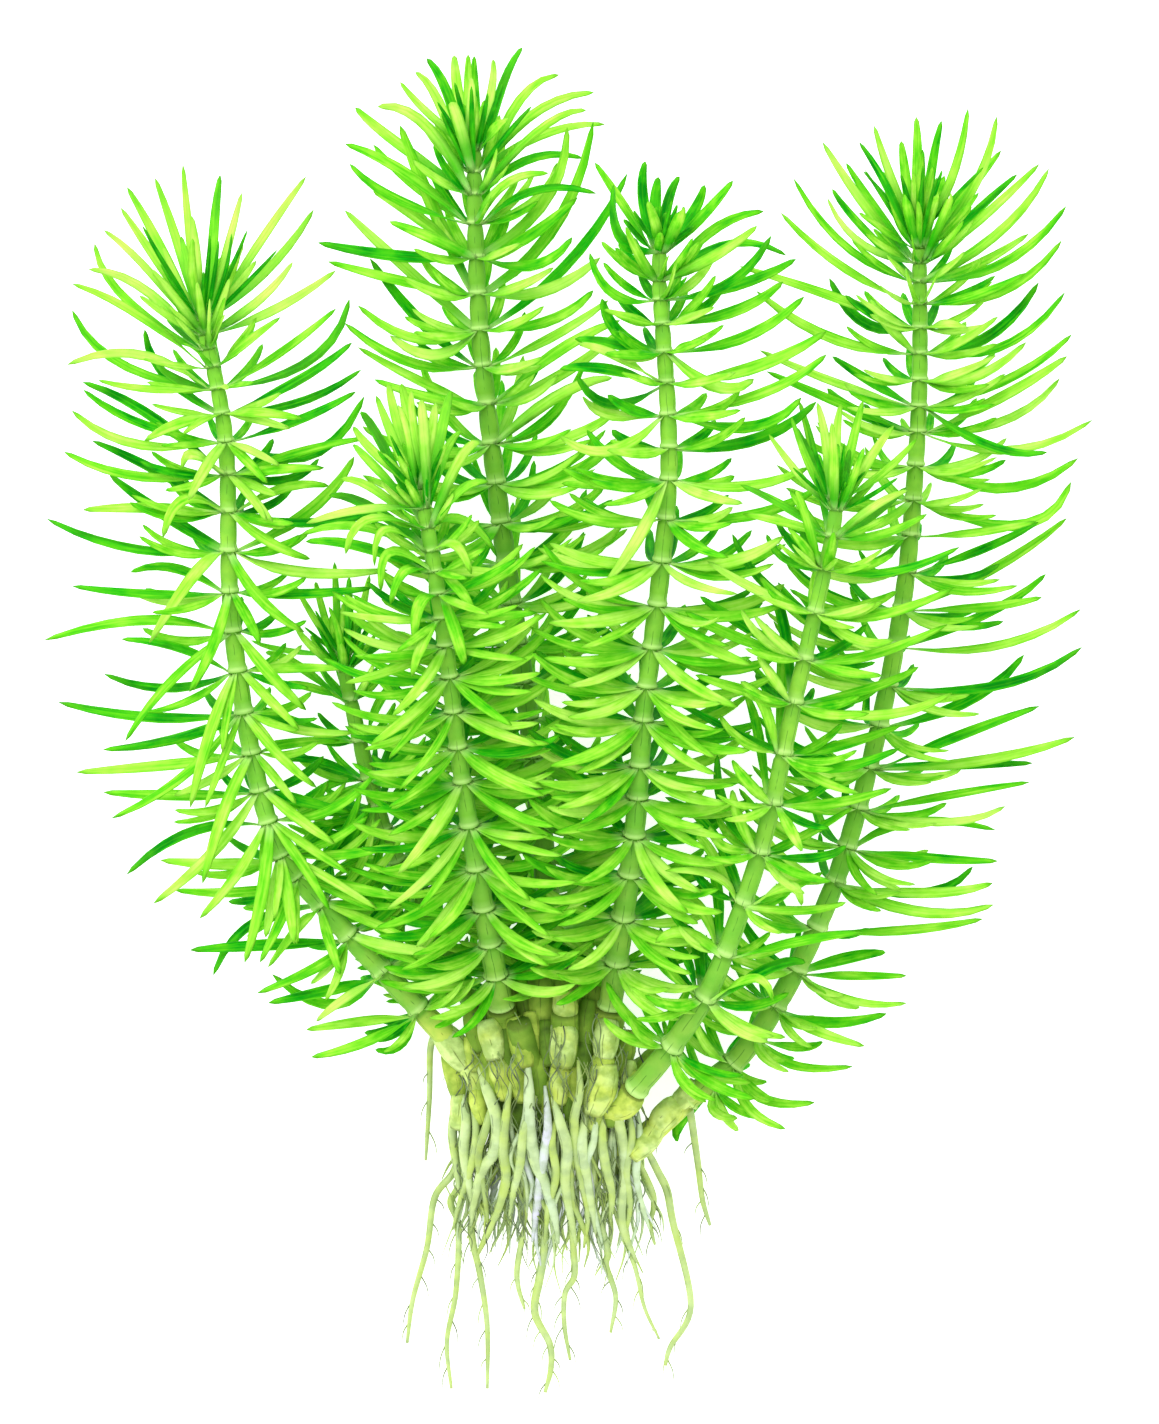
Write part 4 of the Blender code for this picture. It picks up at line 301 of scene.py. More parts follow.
EDGE_LEAVES["shoot_far_right"] = [
    (918, 225, 918, 165, 917, 116, B), (913, 226, 907, 180, 902, 140, B), (923, 226, 932, 170, 942, 120, B),
    (908, 228, 892, 180, 874, 126, S), (906, 232, 888, 190, 859, 143, S), (905, 236, 875, 205, 847, 162, B),
    (928, 230, 953, 175, 968, 109, S), (932, 236, 975, 185, 997, 116, S),
    (930, 235, 965, 195, 1002, 149, B), (912, 230, 908, 212, 905, 196, F),
    (925, 230, 932, 212, 938, 194, F), (930, 236, 945, 212, 950, 195, F),
    (928, 248, 975, 212, 1018, 173, B), (930, 248, 985, 215, 1039, 164, S),
    (928, 255, 1000, 232, 1048, 170, F), (905, 250, 865, 205, 823, 142, S),
    (905, 255, 862, 225, 833, 188, B), (905, 268, 845, 245, 794, 178, S), (905, 272, 860, 243, 827, 199, F),
    (928, 275, 1005, 262, 1066, 206, S), (928, 272, 975, 265, 1029, 233, B),
    (905, 292, 840, 265, 781, 213, S), (928, 294, 1005, 290, 1062, 240, S),
    (925, 298, 970, 297, 1026, 273, F), (908, 316, 835, 297, 740, 266, S),
    (925, 317, 945, 324, 968, 327, F), (925, 362, 990, 335, 1039, 282, B),
    (908, 340, 885, 322, 871, 300, F), (908, 342, 865, 322, 830, 278, B),
    (928, 363, 1005, 345, 1065, 292, S), (928, 386, 975, 377, 1026, 342, F),
    (928, 388, 1010, 378, 1072, 334, S), (905, 363, 830, 337, 757, 291, S),
    (906, 388, 835, 382, 760, 350, S), (905, 388, 870, 380, 833, 356, B),
    (928, 409, 1005, 395, 1067, 356, S), (905, 409, 840, 403, 767, 371, S),
    (928, 428, 1005, 420, 1060, 378, B), (905, 432, 860, 412, 828, 388, B),
    (928, 432, 1010, 450, 1092, 420, S), (928, 436, 990, 446, 1047, 452, F),
    (925, 470, 1005, 488, 1078, 458, S), (925, 506, 1020, 525, 1071, 482, S),
    (922, 520, 980, 532, 1036, 521, F), (918, 600, 1000, 565, 1067, 518, B),
    (920, 575, 985, 548, 1038, 522, S), (912, 610, 985, 607, 1042, 597, S),
    (908, 640, 990, 612, 1046, 574, B), (905, 646, 1000, 645, 1081, 609, S),
    (900, 683, 1000, 685, 1082, 647, S), (885, 722, 970, 700, 1024, 655, B),
    (885, 755, 960, 735, 1039, 706, F), (880, 757, 985, 760, 1075, 737, S),
    (880, 764, 960, 765, 1033, 763, B), (875, 797, 950, 795, 1030, 782, S),
    (872, 800, 945, 822, 1005, 806, F), (862, 840, 915, 822, 996, 830, B),
    (860, 842, 930, 858, 998, 861, S), (845, 880, 930, 893, 993, 883, S), (845, 885, 920, 912, 993, 905, F),
    (850, 882, 925, 893, 973, 867, B), (835, 921, 910, 930, 983, 919, S), (815, 962, 850, 958, 886, 953, B),
    (815, 965, 855, 976, 907, 976, S), (812, 968, 850, 1000, 907, 1003, F),
    (782, 999, 830, 1023, 887, 1014, S), (780, 1003, 815, 1030, 865, 1046, F),
    (758, 1037, 800, 1048, 823, 1043, B), (752, 1040, 795, 1066, 853, 1067, S),
    (725, 1065, 745, 1080, 767, 1083, B), (722, 1072, 765, 1100, 815, 1103, S),
    (720, 1076, 748, 1107, 786, 1129, F), (697, 1095, 715, 1112, 738, 1119, S),
    (690, 1105, 682, 1122, 679, 1143, B),
]

# How far down from its tip the leaves above take up the left and the right side of a stem
EDGE_REACH = {
    "shoot_far_left": (175.0, 75.0),
    "shoot_small_left": (15.0, 15.0),
    "shoot_mid_left": (17.0, 15.0),
    "shoot_tallest": (40.0, 40.0),
    "shoot_centre_right": (36.0, 45.0),
    "shoot_front_right": (78.0, 78.0),
    "shoot_far_right": (32.0, 175.0),
}

# The same leaves by where they grow: the angle of the face they want round the stem, on the left
# and on the right; how far they bow; and how far their tips are lifted, which varies. In the tuft
# at the tip of a stem they spread more
EDGE_ANGLES = {"side": (180.0, 0.0), "front": (128.0, 52.0), "behind": (232.0, -52.0)}
EDGE_BOW = {"side": 0.0, "front": 3.0, "behind": -3.0}
EDGE_LIFT = {"side": 0.0, "front": 2.5, "behind": -2.5}
EDGE_LIFT_VARIES = 1.5
TUFT_WITHIN = 12.0
TUFT_SPREAD = 0.28

# How each of them finds its face: joints near enough are tried, and the way from the joint, the
# turn from the wanted angle and a face that looks away from the leaf count against a face
JOINT_WITHIN = 12.0
AWAY_COUNTS_PER = 3.0
TURN_COUNTS_PER = math.radians(35.0)
LEAST_FACING = 0.1
FACING_COUNTS = 8.0
WORST_FACE = 4.5

# A leaf beside those at the edge is shorter, and none stands out to the side
SIDE_LEAF_OVER = 0.35
BESIDE_EDGE_SHARE = 0.75

# How near each leaf points to somebody who looks down: under the first number it grows behind the
# stem, and under the second it finds its place last. Over the third it parts to the left or right
# of the stem, by a turn at its foot and a swing along it. Such leaves stop hanging and then end
# towards the foot of the stem
BACK_LEAF_UNDER = -0.3
PLACED_LAST_UNDER = -0.4
ASIDE_FROM = 0.6
ASIDE_TURN = 18.0
ASIDE_SWING = 34.0
BARE_FRONT_OVER = 4.0
HANG_FADES_OVER = 26.0

# Swollen stem bases packed on the crown. Those that carry a shoot run straight on from its foot
# for a way, then to a point inside the crown; the spent ones carry nothing, and run from their
# top to that point. The last number is the radius
SHOOT_BASES = {
    "shoot_far_left": (3.0, (-8.5, -60.5, 10.0), 2.0),
    "shoot_small_left": (3.0, (-7.0, -58.0, 7.0), 1.9),
    "shoot_mid_left": (3.0, (-5.5, -59.5, 11.5), 2.2),
    "shoot_tallest": (3.0, (-2.0, -59.0, 9.0), 2.2),
    "shoot_centre_right": (3.0, (2.5, -59.5, 12.0), 2.2),
    "shoot_front_right": (3.0, (3.0, -61.0, 12.0), 2.1),
    "shoot_far_right": (11.0, (5.5, -63.0, 8.5), 1.8),
}
SPENT_BASES = [
    ((-7.6, -46.8, 20.5), (-4.4, -59.0, 13.0), 1.9),
    ((-0.4, -45.2, 19.8), (-0.8, -58.5, 14.0), 2.1),
    ((12.4, -53.6, 9.5), (3.0, -59.5, 8.5), 1.9),
]
CROWN_MIDDLE = (-2.0, -58.0, 8.2)
CROWN_HALF_SIZE = (12.6, 8.4, 8.2)

# Long single roots: points from the crown to the tip, and the radius at the start
LONG_ROOTS = {
    "root_long_left": (
        (
            (-16.2, -63.9, 5.0), (-17.6, -69.9, 2.6), (-20.7, -74.2, 1.0), (-21.9, -82.0, 0.8),
            (-24.1, -90.1, 0.7), (-25.0, -96.9, 0.5),
        ), 0.62,
    ),
    "root_wavy_left": (
        (
            (-17.2, -72.9, 1.0), (-18.2, -75.1, 0.8), (-17.0, -79.0, 0.8), (-17.4, -89.0, 0.8),
            (-18.8, -96.7, 0.7), (-18.1, -104.0, 0.5),
        ), 0.58,
    ),
    "root_straight_left": (
        (
            (-14.6, -77.4, 1.2), (-14.9, -80.4, 0.9), (-13.6, -86.4, 0.8), (-12.5, -94.4, 0.8),
            (-12.5, -104.0, 0.5),
        ), 0.62,
    ),
    "root_short_middle": (
        (
            (-7.8, -84.8, 1.0), (-7.7, -88.0, 0.7), (-6.7, -91.6, 0.5),
        ), 0.5,
    ),
    "root_hooked_middle": (
        (
            (-3.7, -82.8, 1.3), (-4.4, -87.0, 0.8), (-5.1, -92.2, 0.8), (-2.8, -97.0, 0.8),
            (-2.6, -100.8, 0.7), (-3.5, -104.6, 0.5),
        ), 0.7,
    ),
    "root_thin_middle": (
        (
            (1.0, -83.2, 1.1), (1.0, -86.6, 0.8), (-0.4, -89.2, 0.7), (-0.5, -94.0, 0.7),
            (0.4, -99.6, 0.5),
        ), 0.55,
    ),
    "root_middle_right": (
        (
            (6.2, -82.4, 1.2), (6.0, -84.8, 0.8), (7.5, -89.7, 0.8), (6.7, -95.3, 0.5),
        ), 0.58,
    ),
    "root_thin_right": (
        (
            (9.0, -81.0, 0.9), (10.6, -85.4, 0.6), (12.0, -91.4, 0.5), (14.3, -96.3, 0.4),
        ), 0.42,
    ),
    "root_short_right": (
        (
            (13.0, -72.8, 2.4), (13.4, -75.6, 1.0), (12.9, -78.4, 0.7), (13.6, -81.6, 0.5),
        ), 0.5,
    ),
    "root_long_right": (
        (
            (14.0, -70.0, 3.2), (15.5, -73.2, 1.2), (16.4, -78.0, 0.9), (19.2, -91.0, 0.8),
            (16.0, -97.5, 0.7), (15.2, -100.4, 0.5),
        ), 0.65,
    ),
    "root_side_left": (
        (
            (-21.2, -50.2, 9.5), (-21.5, -58.7, 4.5), (-22.1, -68.4, 0.7),
        ), 0.55,
    ),
    "root_side_right": (
        (
            (19.2, -61.4, 6.6), (20.3, -69.0, 2.4), (21.0, -74.5, 0.8), (22.2, -78.6, 0.5),
        ), 0.6,
    ),
}


# How far to each side of a place on a strand its direction is read, in stretches; and what keeps a
# division from failing
A_LITTLE = 0.05
TINY = 1e-9


def smooth_point(points, place):
    """A point on the smooth curve through the points; place counts the stretches from 0."""
    last = len(points) - 1
    stretch = min(int(place), last - 1)
    u = place - stretch
    p1 = np.array(points[stretch], float)
    p2 = np.array(points[stretch + 1], float)
    p0 = np.array(points[stretch - 1], float) if stretch > 0 else 2 * p1 - p2
    p3 = np.array(points[stretch + 2], float) if stretch + 2 <= last else 2 * p2 - p1
    square = 2 * p0 - 5 * p1 + 4 * p2 - p3
    cube = 3 * p1 - p0 - 3 * p2 + p3
    return 0.5 * (2 * p1 + (p2 - p0) * u + square * u ** 2 + cube * u ** 3)


def on_table(across, down, height=0.0):
    """A place in millimetres from one in the picture, at a height over the surface."""
    return np.array([(across - MIDDLE_ACROSS) * STEP, (MIDDLE_DOWN - down) * STEP, height])


def unit(vector):
    """The direction of a vector, with a length of one."""
    return vector / max(np.linalg.norm(vector), TINY)


def between(rows, where):
    """Each further column of the rows, read at a place in their first column."""
    table = np.array(rows, float)
    return [float(np.interp(where, table[:, 0], table[:, c])) for c in range(1, table.shape[1])]


def stem_joints(shoot):
    """The joints of a stem from the tip down, each with its frame and distance from the tip."""
    route = shoot["route"]
    points = [row[:3] for row in route]
    centres = []
    for index, row in enumerate(route[:-1]):
        for step in range(row[3]):
            centres.append(smooth_point(points, index + step / row[3]))
    centres.append(smooth_point(points, len(points) - 1))
    joints = []
    run = 0.0
    for index, centre in enumerate(centres):
        above = centres[max(index - 1, 0)]
        below = centres[min(index + 1, len(centres) - 1)]
        along = unit(above - below)
        near = unit(np.array([0.0, 0.0, 1.0]) - along[2] * along)
        right = np.cross(along, near)
        run += np.linalg.norm(centre - above)
        joints.append({"centre": centre, "along": along, "near": near, "right": right, "run": run})
    total = joints[-1]["run"]
    for index, joint in enumerate(joints):
        thick = min(joint["run"] / STEM_THICKENS_OVER, 1.0)
        radius = STEM_TIP_RADIUS + (STEM_FULL_RADIUS - STEM_TIP_RADIUS) * thick
        low = max(joint["run"] / total - STEM_SWELLS_FROM, 0.0) / (1.0 - STEM_SWELLS_FROM)
        joint["radius"] = radius + (STEM_BASE_RADIUS - radius) * low
        joint["turn"] = index * RING_TURN
        joint["share"] = joint["run"] / total
    return joints


def outward(joint, angle):
    """The direction away from a stem at an angle round it, from its right over its near side."""
    return math.cos(angle) * joint["right"] + math.sin(angle) * joint["near"]


def leaf_foot(joint, angle):
    """Where a leaf leaves its stem, on the flat of one of the stem's sides."""
    return joint["centre"] + outward(joint, angle) * joint["radius"] * math.cos(math.pi / STEM_SIDES)


def face_middle(joint, k):
    """The angle of the middle of one of the stem's sides."""
    return joint["turn"] + (k + 0.5) * 2 * math.pi / STEM_SIDES


def settle(path):
    """Keeps a path above the surface, and lets a tip that nearly touches it rest on it."""
    path[:, 2] = np.maximum(path[:, 2], FLOOR_CLEARANCE)
    if path[-1][2] < TIP_TOUCHES_UNDER:
        path[-1][2] = 0.0
    return path


def leaf_path(joint, angle, rise, curl, length, swing):
    """Points along a leaf, from the stem out. It slides along the surface where it meets it."""
    path = [leaf_foot(joint, angle)]
    for step in range(LEAF_STEPS):
        u = (step + 0.5) / LEAF_STEPS
        lift = math.radians(min(max(rise + curl * u, -LEAF_STEEPEST), LEAF_STEEPEST))
        way = math.cos(lift) * outward(joint, angle + swing * u) + math.sin(lift) * joint["along"]
        point = path[-1] + way * length / LEAF_STEPS
        if point[2] < FLOOR_CLEARANCE:
            flat = way * (1.0, 1.0, 0.0)
            if np.linalg.norm(flat) < NEARLY_UPRIGHT:
                flat = flat + UPRIGHT_LEANS * joint["along"] * (1.0, 1.0, 0.0)
            point = path[-1] + unit(flat) * length / LEAF_STEPS
            point[2] = max((path[-1][2] + FLOOR_CLEARANCE) * 0.5, FLOOR_CLEARANCE)
        path.append(point)
    return settle(np.array(path))


def leaf_faces_up(path, joint, facet):
    """The way a blade's upper side faces: towards the tip, and turned to the light above."""
    way = unit(path[-1] - path[0])
    facing = FACES_TIP * joint["along"] + np.array([0.0, 0.0, FACES_LIGHT])
    facing = unit(facing - np.dot(facing, way) * way)
    untwisted = np.dot(np.cross(outward(joint, facet), joint["along"]), np.cross(way, facing))
    return facing if untwisted >= 0 else -facing


# What a stretch in place may reach from its line, and the gap that stands for nothing near
THICKEST_RADIUS = 2.3
FREE = 9.0


class Crowd:
    """Straight stretches already in place, each with a flat section, for keeping pieces apart."""

    def __init__(self):
        self.rows = []
        self.table = None

    def add(self, a, b, across, facing, half_width, half_depth, tag):
        self.rows.append(np.concatenate([a, b, across * half_width, facing * half_depth, tag]))
        self.table = None

    def room(self, a, b, across, facing, half_width, half_depth, skip):
        """The least gap between a new stretch and those in place, without the skipped ones."""
        if self.table is None:
            self.table = np.array(self.rows)
        t = self.table
        reach = half_width + GAP + THICKEST_RADIUS
        low = np.minimum(a, b) - reach
        high = np.maximum(a, b) + reach
        near = np.all(np.maximum(t[:, 0:3], t[:, 3:6]) > low, axis=1)
        near &= np.all(np.minimum(t[:, 0:3], t[:, 3:6]) < high, axis=1)
        near &= ~skip(t[:, 12], t[:, 13])
        t = t[near]
        if not len(t):
            return FREE
        pa, pb = t[:, 0:3], t[:, 3:6]
        d1 = b - a
        d2 = pb - pa
        r = a - pa
        aa = max(float(d1 @ d1), TINY)
        ee = np.maximum(np.einsum("ij,ij->i", d2, d2), TINY)
        f = np.einsum("ij,ij->i", d2, r)
        c = r @ d1
        bb = d2 @ d1
        denom = np.maximum(aa * ee - bb * bb, TINY)
        s = np.clip((bb * f - c * ee) / denom, 0, 1)
        u = np.clip((bb * s + f) / ee, 0, 1)
        s = np.clip((bb * u - c) / aa, 0, 1)
        apart = (a + s[:, None] * d1) - (pa + u[:, None] * d2)
        far = np.linalg.norm(apart, axis=1)
        way = apart / np.maximum(far, TINY)[:, None]
        own = np.sqrt((way @ across * half_width) ** 2 + (way @ facing * half_depth) ** 2)
        their_across = np.einsum("ij,ij->i", way, t[:, 6:9])
        their_depth = np.einsum("ij,ij->i", way, t[:, 9:12])
        theirs = np.sqrt(their_across ** 2 + their_depth ** 2)
        return float(np.min(far - own - theirs))


NO_STEM_RUNS = (0.3, 0.2, 0.93)


def add_tube(crowd, points, radii, tag):
    """Puts a round piece into the crowd. Its section stands square to a way that no stem runs."""
    for index in range(len(points) - 1):
        a = np.array(points[index], float)
        b = np.array(points[index + 1], float)
        way = unit(b - a)
        across = unit(np.cross(way, NO_STEM_RUNS))
        radius = max(radii[index], radii[index + 1])
        crowd.add(a, b, across, np.cross(way, across), radius, radius, tag)


def stem_bases(shoots):
    """The points along each stem base on the crown, from its top into the crown, and its radius."""
    bases = []
    for name, (straight, inside, radius) in SHOOT_BASES.items():
        foot = shoots[name]["joints"][-1]
        top = foot["centre"] - GAP * foot["along"]
        bases.append(([top, top - straight * foot["along"], inside], radius))
    for top, inside, radius in SPENT_BASES:
        middle = tuple((a + b) / 2 for a, b in zip(top, inside))
        bases.append(([top, middle, inside], radius))
    return bases


def edge_path(leaf, tip_lift, bow):
    """Points along an edge leaf: its place seen from above is given, its height isn't."""
    start = leaf_foot(leaf["joint"], leaf["angle"])
    tip = leaf["tip"]
    bend = 2 * leaf["middle"] - 0.5 * (start[:2] + tip)
    path = []
    for step in range(LEAF_STEPS + 1):
        u = step / LEAF_STEPS
        flat = (1 - u) ** 2 * start[:2] + 2 * u * (1 - u) * bend + u * u * tip
        height = start[2] + tip_lift * u + bow * 4 * u * (1 - u)
        path.append([flat[0], flat[1], height])
    return settle(np.array(path))


def leaf_record(number, name, place, joint, angle, **more):
    """A leaf that wants a place: its shoot, its joint and its angle round the stem."""
    record = {"shoot": number, "name": name, "place": place, "joint": joint}
    return {**record, "angle": angle, "face_angle": angle, **more}


def best_face(shoot, spots, kind):
    """The free face of a joint that suits an edge leaf best: its cost, joint, number and angle."""
    best = None
    for place, joint in enumerate(shoot["joints"][:-1]):
        off = np.linalg.norm(joint["centre"][:2] - spots[0])
        if off > JOINT_WITHIN:
            continue
        to_right = np.dot(spots[1] - joint["centre"][:2], joint["right"][:2]) > 0
        aim = math.radians(EDGE_ANGLES[kind][int(to_right)])
        for k in range(STEM_SIDES):
            if (place, k) in shoot["taken"]:
                continue
            facet = face_middle(joint, k)
            turn = abs((facet - aim + math.pi) % (2 * math.pi) - math.pi)
            faces_leaf = np.dot(unit(spots[2] - joint["centre"][:2]), outward(joint, facet)[:2])
            cost = off / AWAY_COUNTS_PER + turn / TURN_COUNTS_PER
            cost += max(LEAST_FACING - faces_leaf, 0.0) * FACING_COUNTS
            if best is None or cost < best[0]:
                best = (cost, place, k, facet)
    return best


def edge_leaves(shoots):
    """The leaves at the edge of the clump, each given to the nearest free face of a joint."""
    wanted = []
    for number, (name, shoot) in enumerate(shoots.items()):
        chance = random.Random(shoot["seed"] + 50)
        for *places, kind in EDGE_LEAVES[name]:
            spots = [on_table(*places[k:k + 2])[:2] for k in (0, 2, 4)]
            best = best_face(shoot, spots, kind)
            if best is None or best[0] > WORST_FACE:
                continue
            place, k, facet = best[1:]
            shoot["taken"].add((place, k))
            joint = shoot["joints"][place]
            lift = chance.uniform(-EDGE_LIFT_VARIES, EDGE_LIFT_VARIES) + EDGE_LIFT[kind]
            if joint["run"] < TUFT_WITHIN:
                lift += TUFT_SPREAD * math.sin(facet) * np.linalg.norm(spots[2] - spots[0])
            shape = {"middle": spots[1], "tip": spots[2], "bow": EDGE_BOW[kind], "lift": lift}
            wanted.append(leaf_record(number, name, place, joint, facet, **shape))
    return wanted


def ring_habit(shoot, joint):
    """The habit and the lengths of the leaves at a joint, its height over the foot, and their hang."""
    above_foot = shoot["joints"][-1]["run"] - joint["run"]
    hang = shoot["hang"] * min(max(above_foot - BARE_FRONT_OVER, 0.0) / HANG_FADES_OVER, 1.0)
    return between(HABIT, joint["run"]), between(shoot["lengths"], joint["run"]), above_foot, hang


def hung(habit, hang, angle):
    """What a leaf on the near side adds to the rise and the curl of one at the side."""
    if math.sin(angle) <= 0:
        return 0.0, 0.0
    side_rise, side_curl, near_rise, near_curl = habit
    share = (1 - math.cos(angle) ** 2) * hang
    return share * (near_rise - side_rise), share * (near_curl - side_curl)


def parted(joint, angle):
    """The turn and the swing that part a leaf in front of its stem to the left or the right."""
    if joint["run"] <= TUFT_WITHIN:
        return 0.0, 0.0
    to_side = -1 if math.cos(angle) > 0 else 1
    aside = max(math.sin(angle) - ASIDE_FROM, 0.0) / (1.0 - ASIDE_FROM) * to_side
    return math.radians(ASIDE_TURN) * aside, math.radians(ASIDE_SWING) * aside


def wanted_leaves(shoots):
    """Every other leaf as it would grow with nothing in its way, the outermost first."""
    wanted = []
    for number, (name, shoot) in enumerate(shoots.items()):
        chance = random.Random(shoot["seed"])
        for place, joint in enumerate(shoot["joints"][:-1]):
            habit, lengths, above_foot, hang = ring_habit(shoot, joint)
            backs = []
            for k in range(STEM_SIDES):
                facet = face_middle(joint, k)
                angle = facet + math.radians(chance.uniform(-TURN_VARIES, TURN_VARIES))
                side, nearness = math.cos(angle) ** 2, math.sin(angle)
                half = int(math.cos(angle) > 0)
                length = lengths[half] * chance.uniform(*LENGTH_SHARES)
                more_rise, more_curl = hung(habit, hang, angle)
                rise = habit[0] + more_rise + chance.uniform(-RISE_VARIES, RISE_VARIES)
                curl = habit[1] + more_curl + chance.uniform(-CURL_VARIES, CURL_VARIES)
                swing = math.radians(chance.uniform(-SWING_VARIES, SWING_VARIES))
                more_turn, more_swing = parted(joint, angle)
                missing = joint["share"] > BARE_BELOW_SHARE and chance.random() < MISSING_SHARE
                bare = nearness > ASIDE_FROM and above_foot < BARE_FRONT_OVER
                if missing or bare or (place, k) in shoot["taken"]:
                    continue
                if joint["run"] < EDGE_REACH[name][half]:
                    if side > SIDE_LEAF_OVER:
                        continue
                    length *= BESIDE_EDGE_SHARE
                leaf = leaf_record(
                    number, name, place, joint, angle + more_turn, face_angle=facet, rise=rise,
                    curl=curl, length=length, swing=swing + more_swing,
                    order=-side if nearness > PLACED_LAST_UNDER else 1.0 - nearness,
                )
                if nearness < BACK_LEAF_UNDER:
                    backs.append(leaf)
                wanted.append(leaf)
            backs.sort(key=lambda row: -row["order"])
            shed = 1 + max(place % 2, int(joint["run"] > SHED_MORE_BEYOND))
            if joint["run"] > FULL_RINGS_WITHIN:
                for leaf in backs[:shed]:
                    wanted.remove(leaf)
    wanted.sort(key=lambda row: (round(row["order"], 1), row["place"], row["shoot"]))
    return wanted


# What is tried until a leaf clears the others, from the smallest change: a swing and a rise in
# degrees and a share of the length, or for an edge leaf a lift of its tip and a bow. A swing of 20
# degrees, a rise of 16 degrees and a fifth of the length count as equally large changes
SWINGS_TRIED = (0, -10, 10, -20, 20, -30, 30)
RISES_TRIED = (0, -8, 8, -16, 16, -26, 26)
SHARES_TRIED = (1.0, 0.85, 0.7, 0.55)
SWING_COUNTS_PER = 20
RISE_COUNTS_PER = 16
SHARE_COUNTS_PER = 0.2
LIFTS_TRIED = (0, 1.5, -1.5, 3, -3, 4.5, -4.5, 6, -6, 8, -8, 10, -10)
BOWS_TRIED = (0, 1.5, -1.5, 3, -3)
BOW_COUNTS = 2


def try_cost(change):
    """How large a change of swing, rise and length is."""
    swing, rise, share = change
    shorter = (1 - share) / SHARE_COUNTS_PER
    return (swing / SWING_COUNTS_PER) ** 2 + (rise / RISE_COUNTS_PER) ** 2 + shorter ** 2


def edge_try_cost(change):
    """How large a change of lift and bow is."""
    lift, bow = change
    return lift ** 2 + BOW_COUNTS * bow ** 2


TRIES = sorted(
    [(swing, rise, share) for swing in SWINGS_TRIED for rise in RISES_TRIED for share in SHARES_TRIED],
    key=try_cost,
)
EDGE_TRIES = sorted([(lift, bow) for lift in LIFTS_TRIED for bow in BOWS_TRIED], key=edge_try_cost)


def halves(path, facing):
    """The two straight stretches of a leaf, each with its way across and its flat side."""
    middle = path[LEAF_MIDDLE_STEP]
    rows = []
    for a, b in ((path[0], middle), (middle, path[-1])):
        way = unit(b - a)
        flat = unit(facing - np.dot(facing, way) * way)
        rows.append((a, b, np.cross(way, flat), flat))
    return rows


# The share of the inner half of a leaf that may touch the pieces round its foot
LEAF_FOOT_SHARE = 0.25


def leaf_room(crowd, leaf, path, facing, half_width):
    """The least gap between a leaf and everything in place that it doesn't grow from."""
    number, place = leaf["shoot"], leaf["place"]
    gaps = []
    for part, (a, b, across, flat) in enumerate(halves(path, facing)):
        if part == 0:
            a = a + LEAF_FOOT_SHARE * (b - a)

        def skip(owner, where, part=part):
            own = owner == number
            own_stem = own & (where < 0) & (np.abs(-1 - where - place) <= 1) & (part == 0)
            own_ring = own & (np.floor(where) == place)
            inner_half = where == np.floor(where)
            return own_stem | (own_ring & (inner_half | (part == 0)))

        gaps.append(crowd.room(a, b, across, flat, half_width, LEAF_THICKNESS / 2, skip))
    return min(gaps)


def place_leaf(
    crowd, shoots, leaf, shapes, least_gap=GAP, dropped_under=DROPPED_UNDER, half_width=LEAF_HALF_WIDTH,
):
    """Puts a leaf in place in the first of its shapes that clears everything, or the best one."""
    best = None
    for path in shapes:
        facing = leaf_faces_up(path, leaf["joint"], leaf["face_angle"])
        gap = leaf_room(crowd, leaf, path, facing, half_width)
        if best is None or gap > best[0]:
            best = (gap, path, facing)
        if gap >= least_gap:
            break
    gap, path, facing = best
    if gap < dropped_under:
        return
    for part, (a, b, across, flat) in enumerate(halves(path, facing)):
        tag = (leaf["shoot"], leaf["place"] + 0.1 * part)
        crowd.add(a, b, across, flat, half_width, LEAF_THICKNESS / 2, tag)
    shoots[leaf["name"]]["leaves"].append({**leaf, "path": path, "facing": facing})


# What stands for the crown's pieces and for the long roots in place of a shoot's number
CROWN_TAG = (99, 0)
ROOT_TAG = (98, 0)


def tried_shapes(leaf, tries):
    """The shapes that are tried for a leaf of a ring, from the smallest change."""
    for swing_by, raise_by, share in tries:
        swing = math.radians(swing_by)
        yield leaf_path(
            leaf["joint"], leaf["angle"] + swing * 0.5, leaf["rise"] + raise_by, leaf["curl"],
            leaf["length"] * share, leaf["swing"] + swing,
        )


def place_leaves(shoots):
    """Leaves for every shoot: first those at the edge, then all others, clear of each other."""
    crowd = Crowd()
    for number, shoot in enumerate(shoots.values()):
        for place, pair in enumerate(zip(shoot["joints"], shoot["joints"][1:])):
            centres, radii = ([joint[key] for joint in pair] for key in ("centre", "radius"))
            add_tube(crowd, centres, radii, (number, -1 - place))
    for points, radius in stem_bases(shoots):
        add_tube(crowd, points, [radius] * len(points), CROWN_TAG)
    for points, start_radius in LONG_ROOTS.values():
        add_tube(crowd, points, [start_radius] * len(points), ROOT_TAG)
    for leaf in edge_leaves(shoots):
        shapes = (edge_path(leaf, leaf["lift"] + lift, leaf["bow"] + bow) for lift, bow in EDGE_TRIES)
        place_leaf(crowd, shoots, leaf, shapes)
    for leaf in wanted_leaves(shoots):
        place_leaf(crowd, shoots, leaf, tried_shapes(leaf, TRIES))
    return crowd


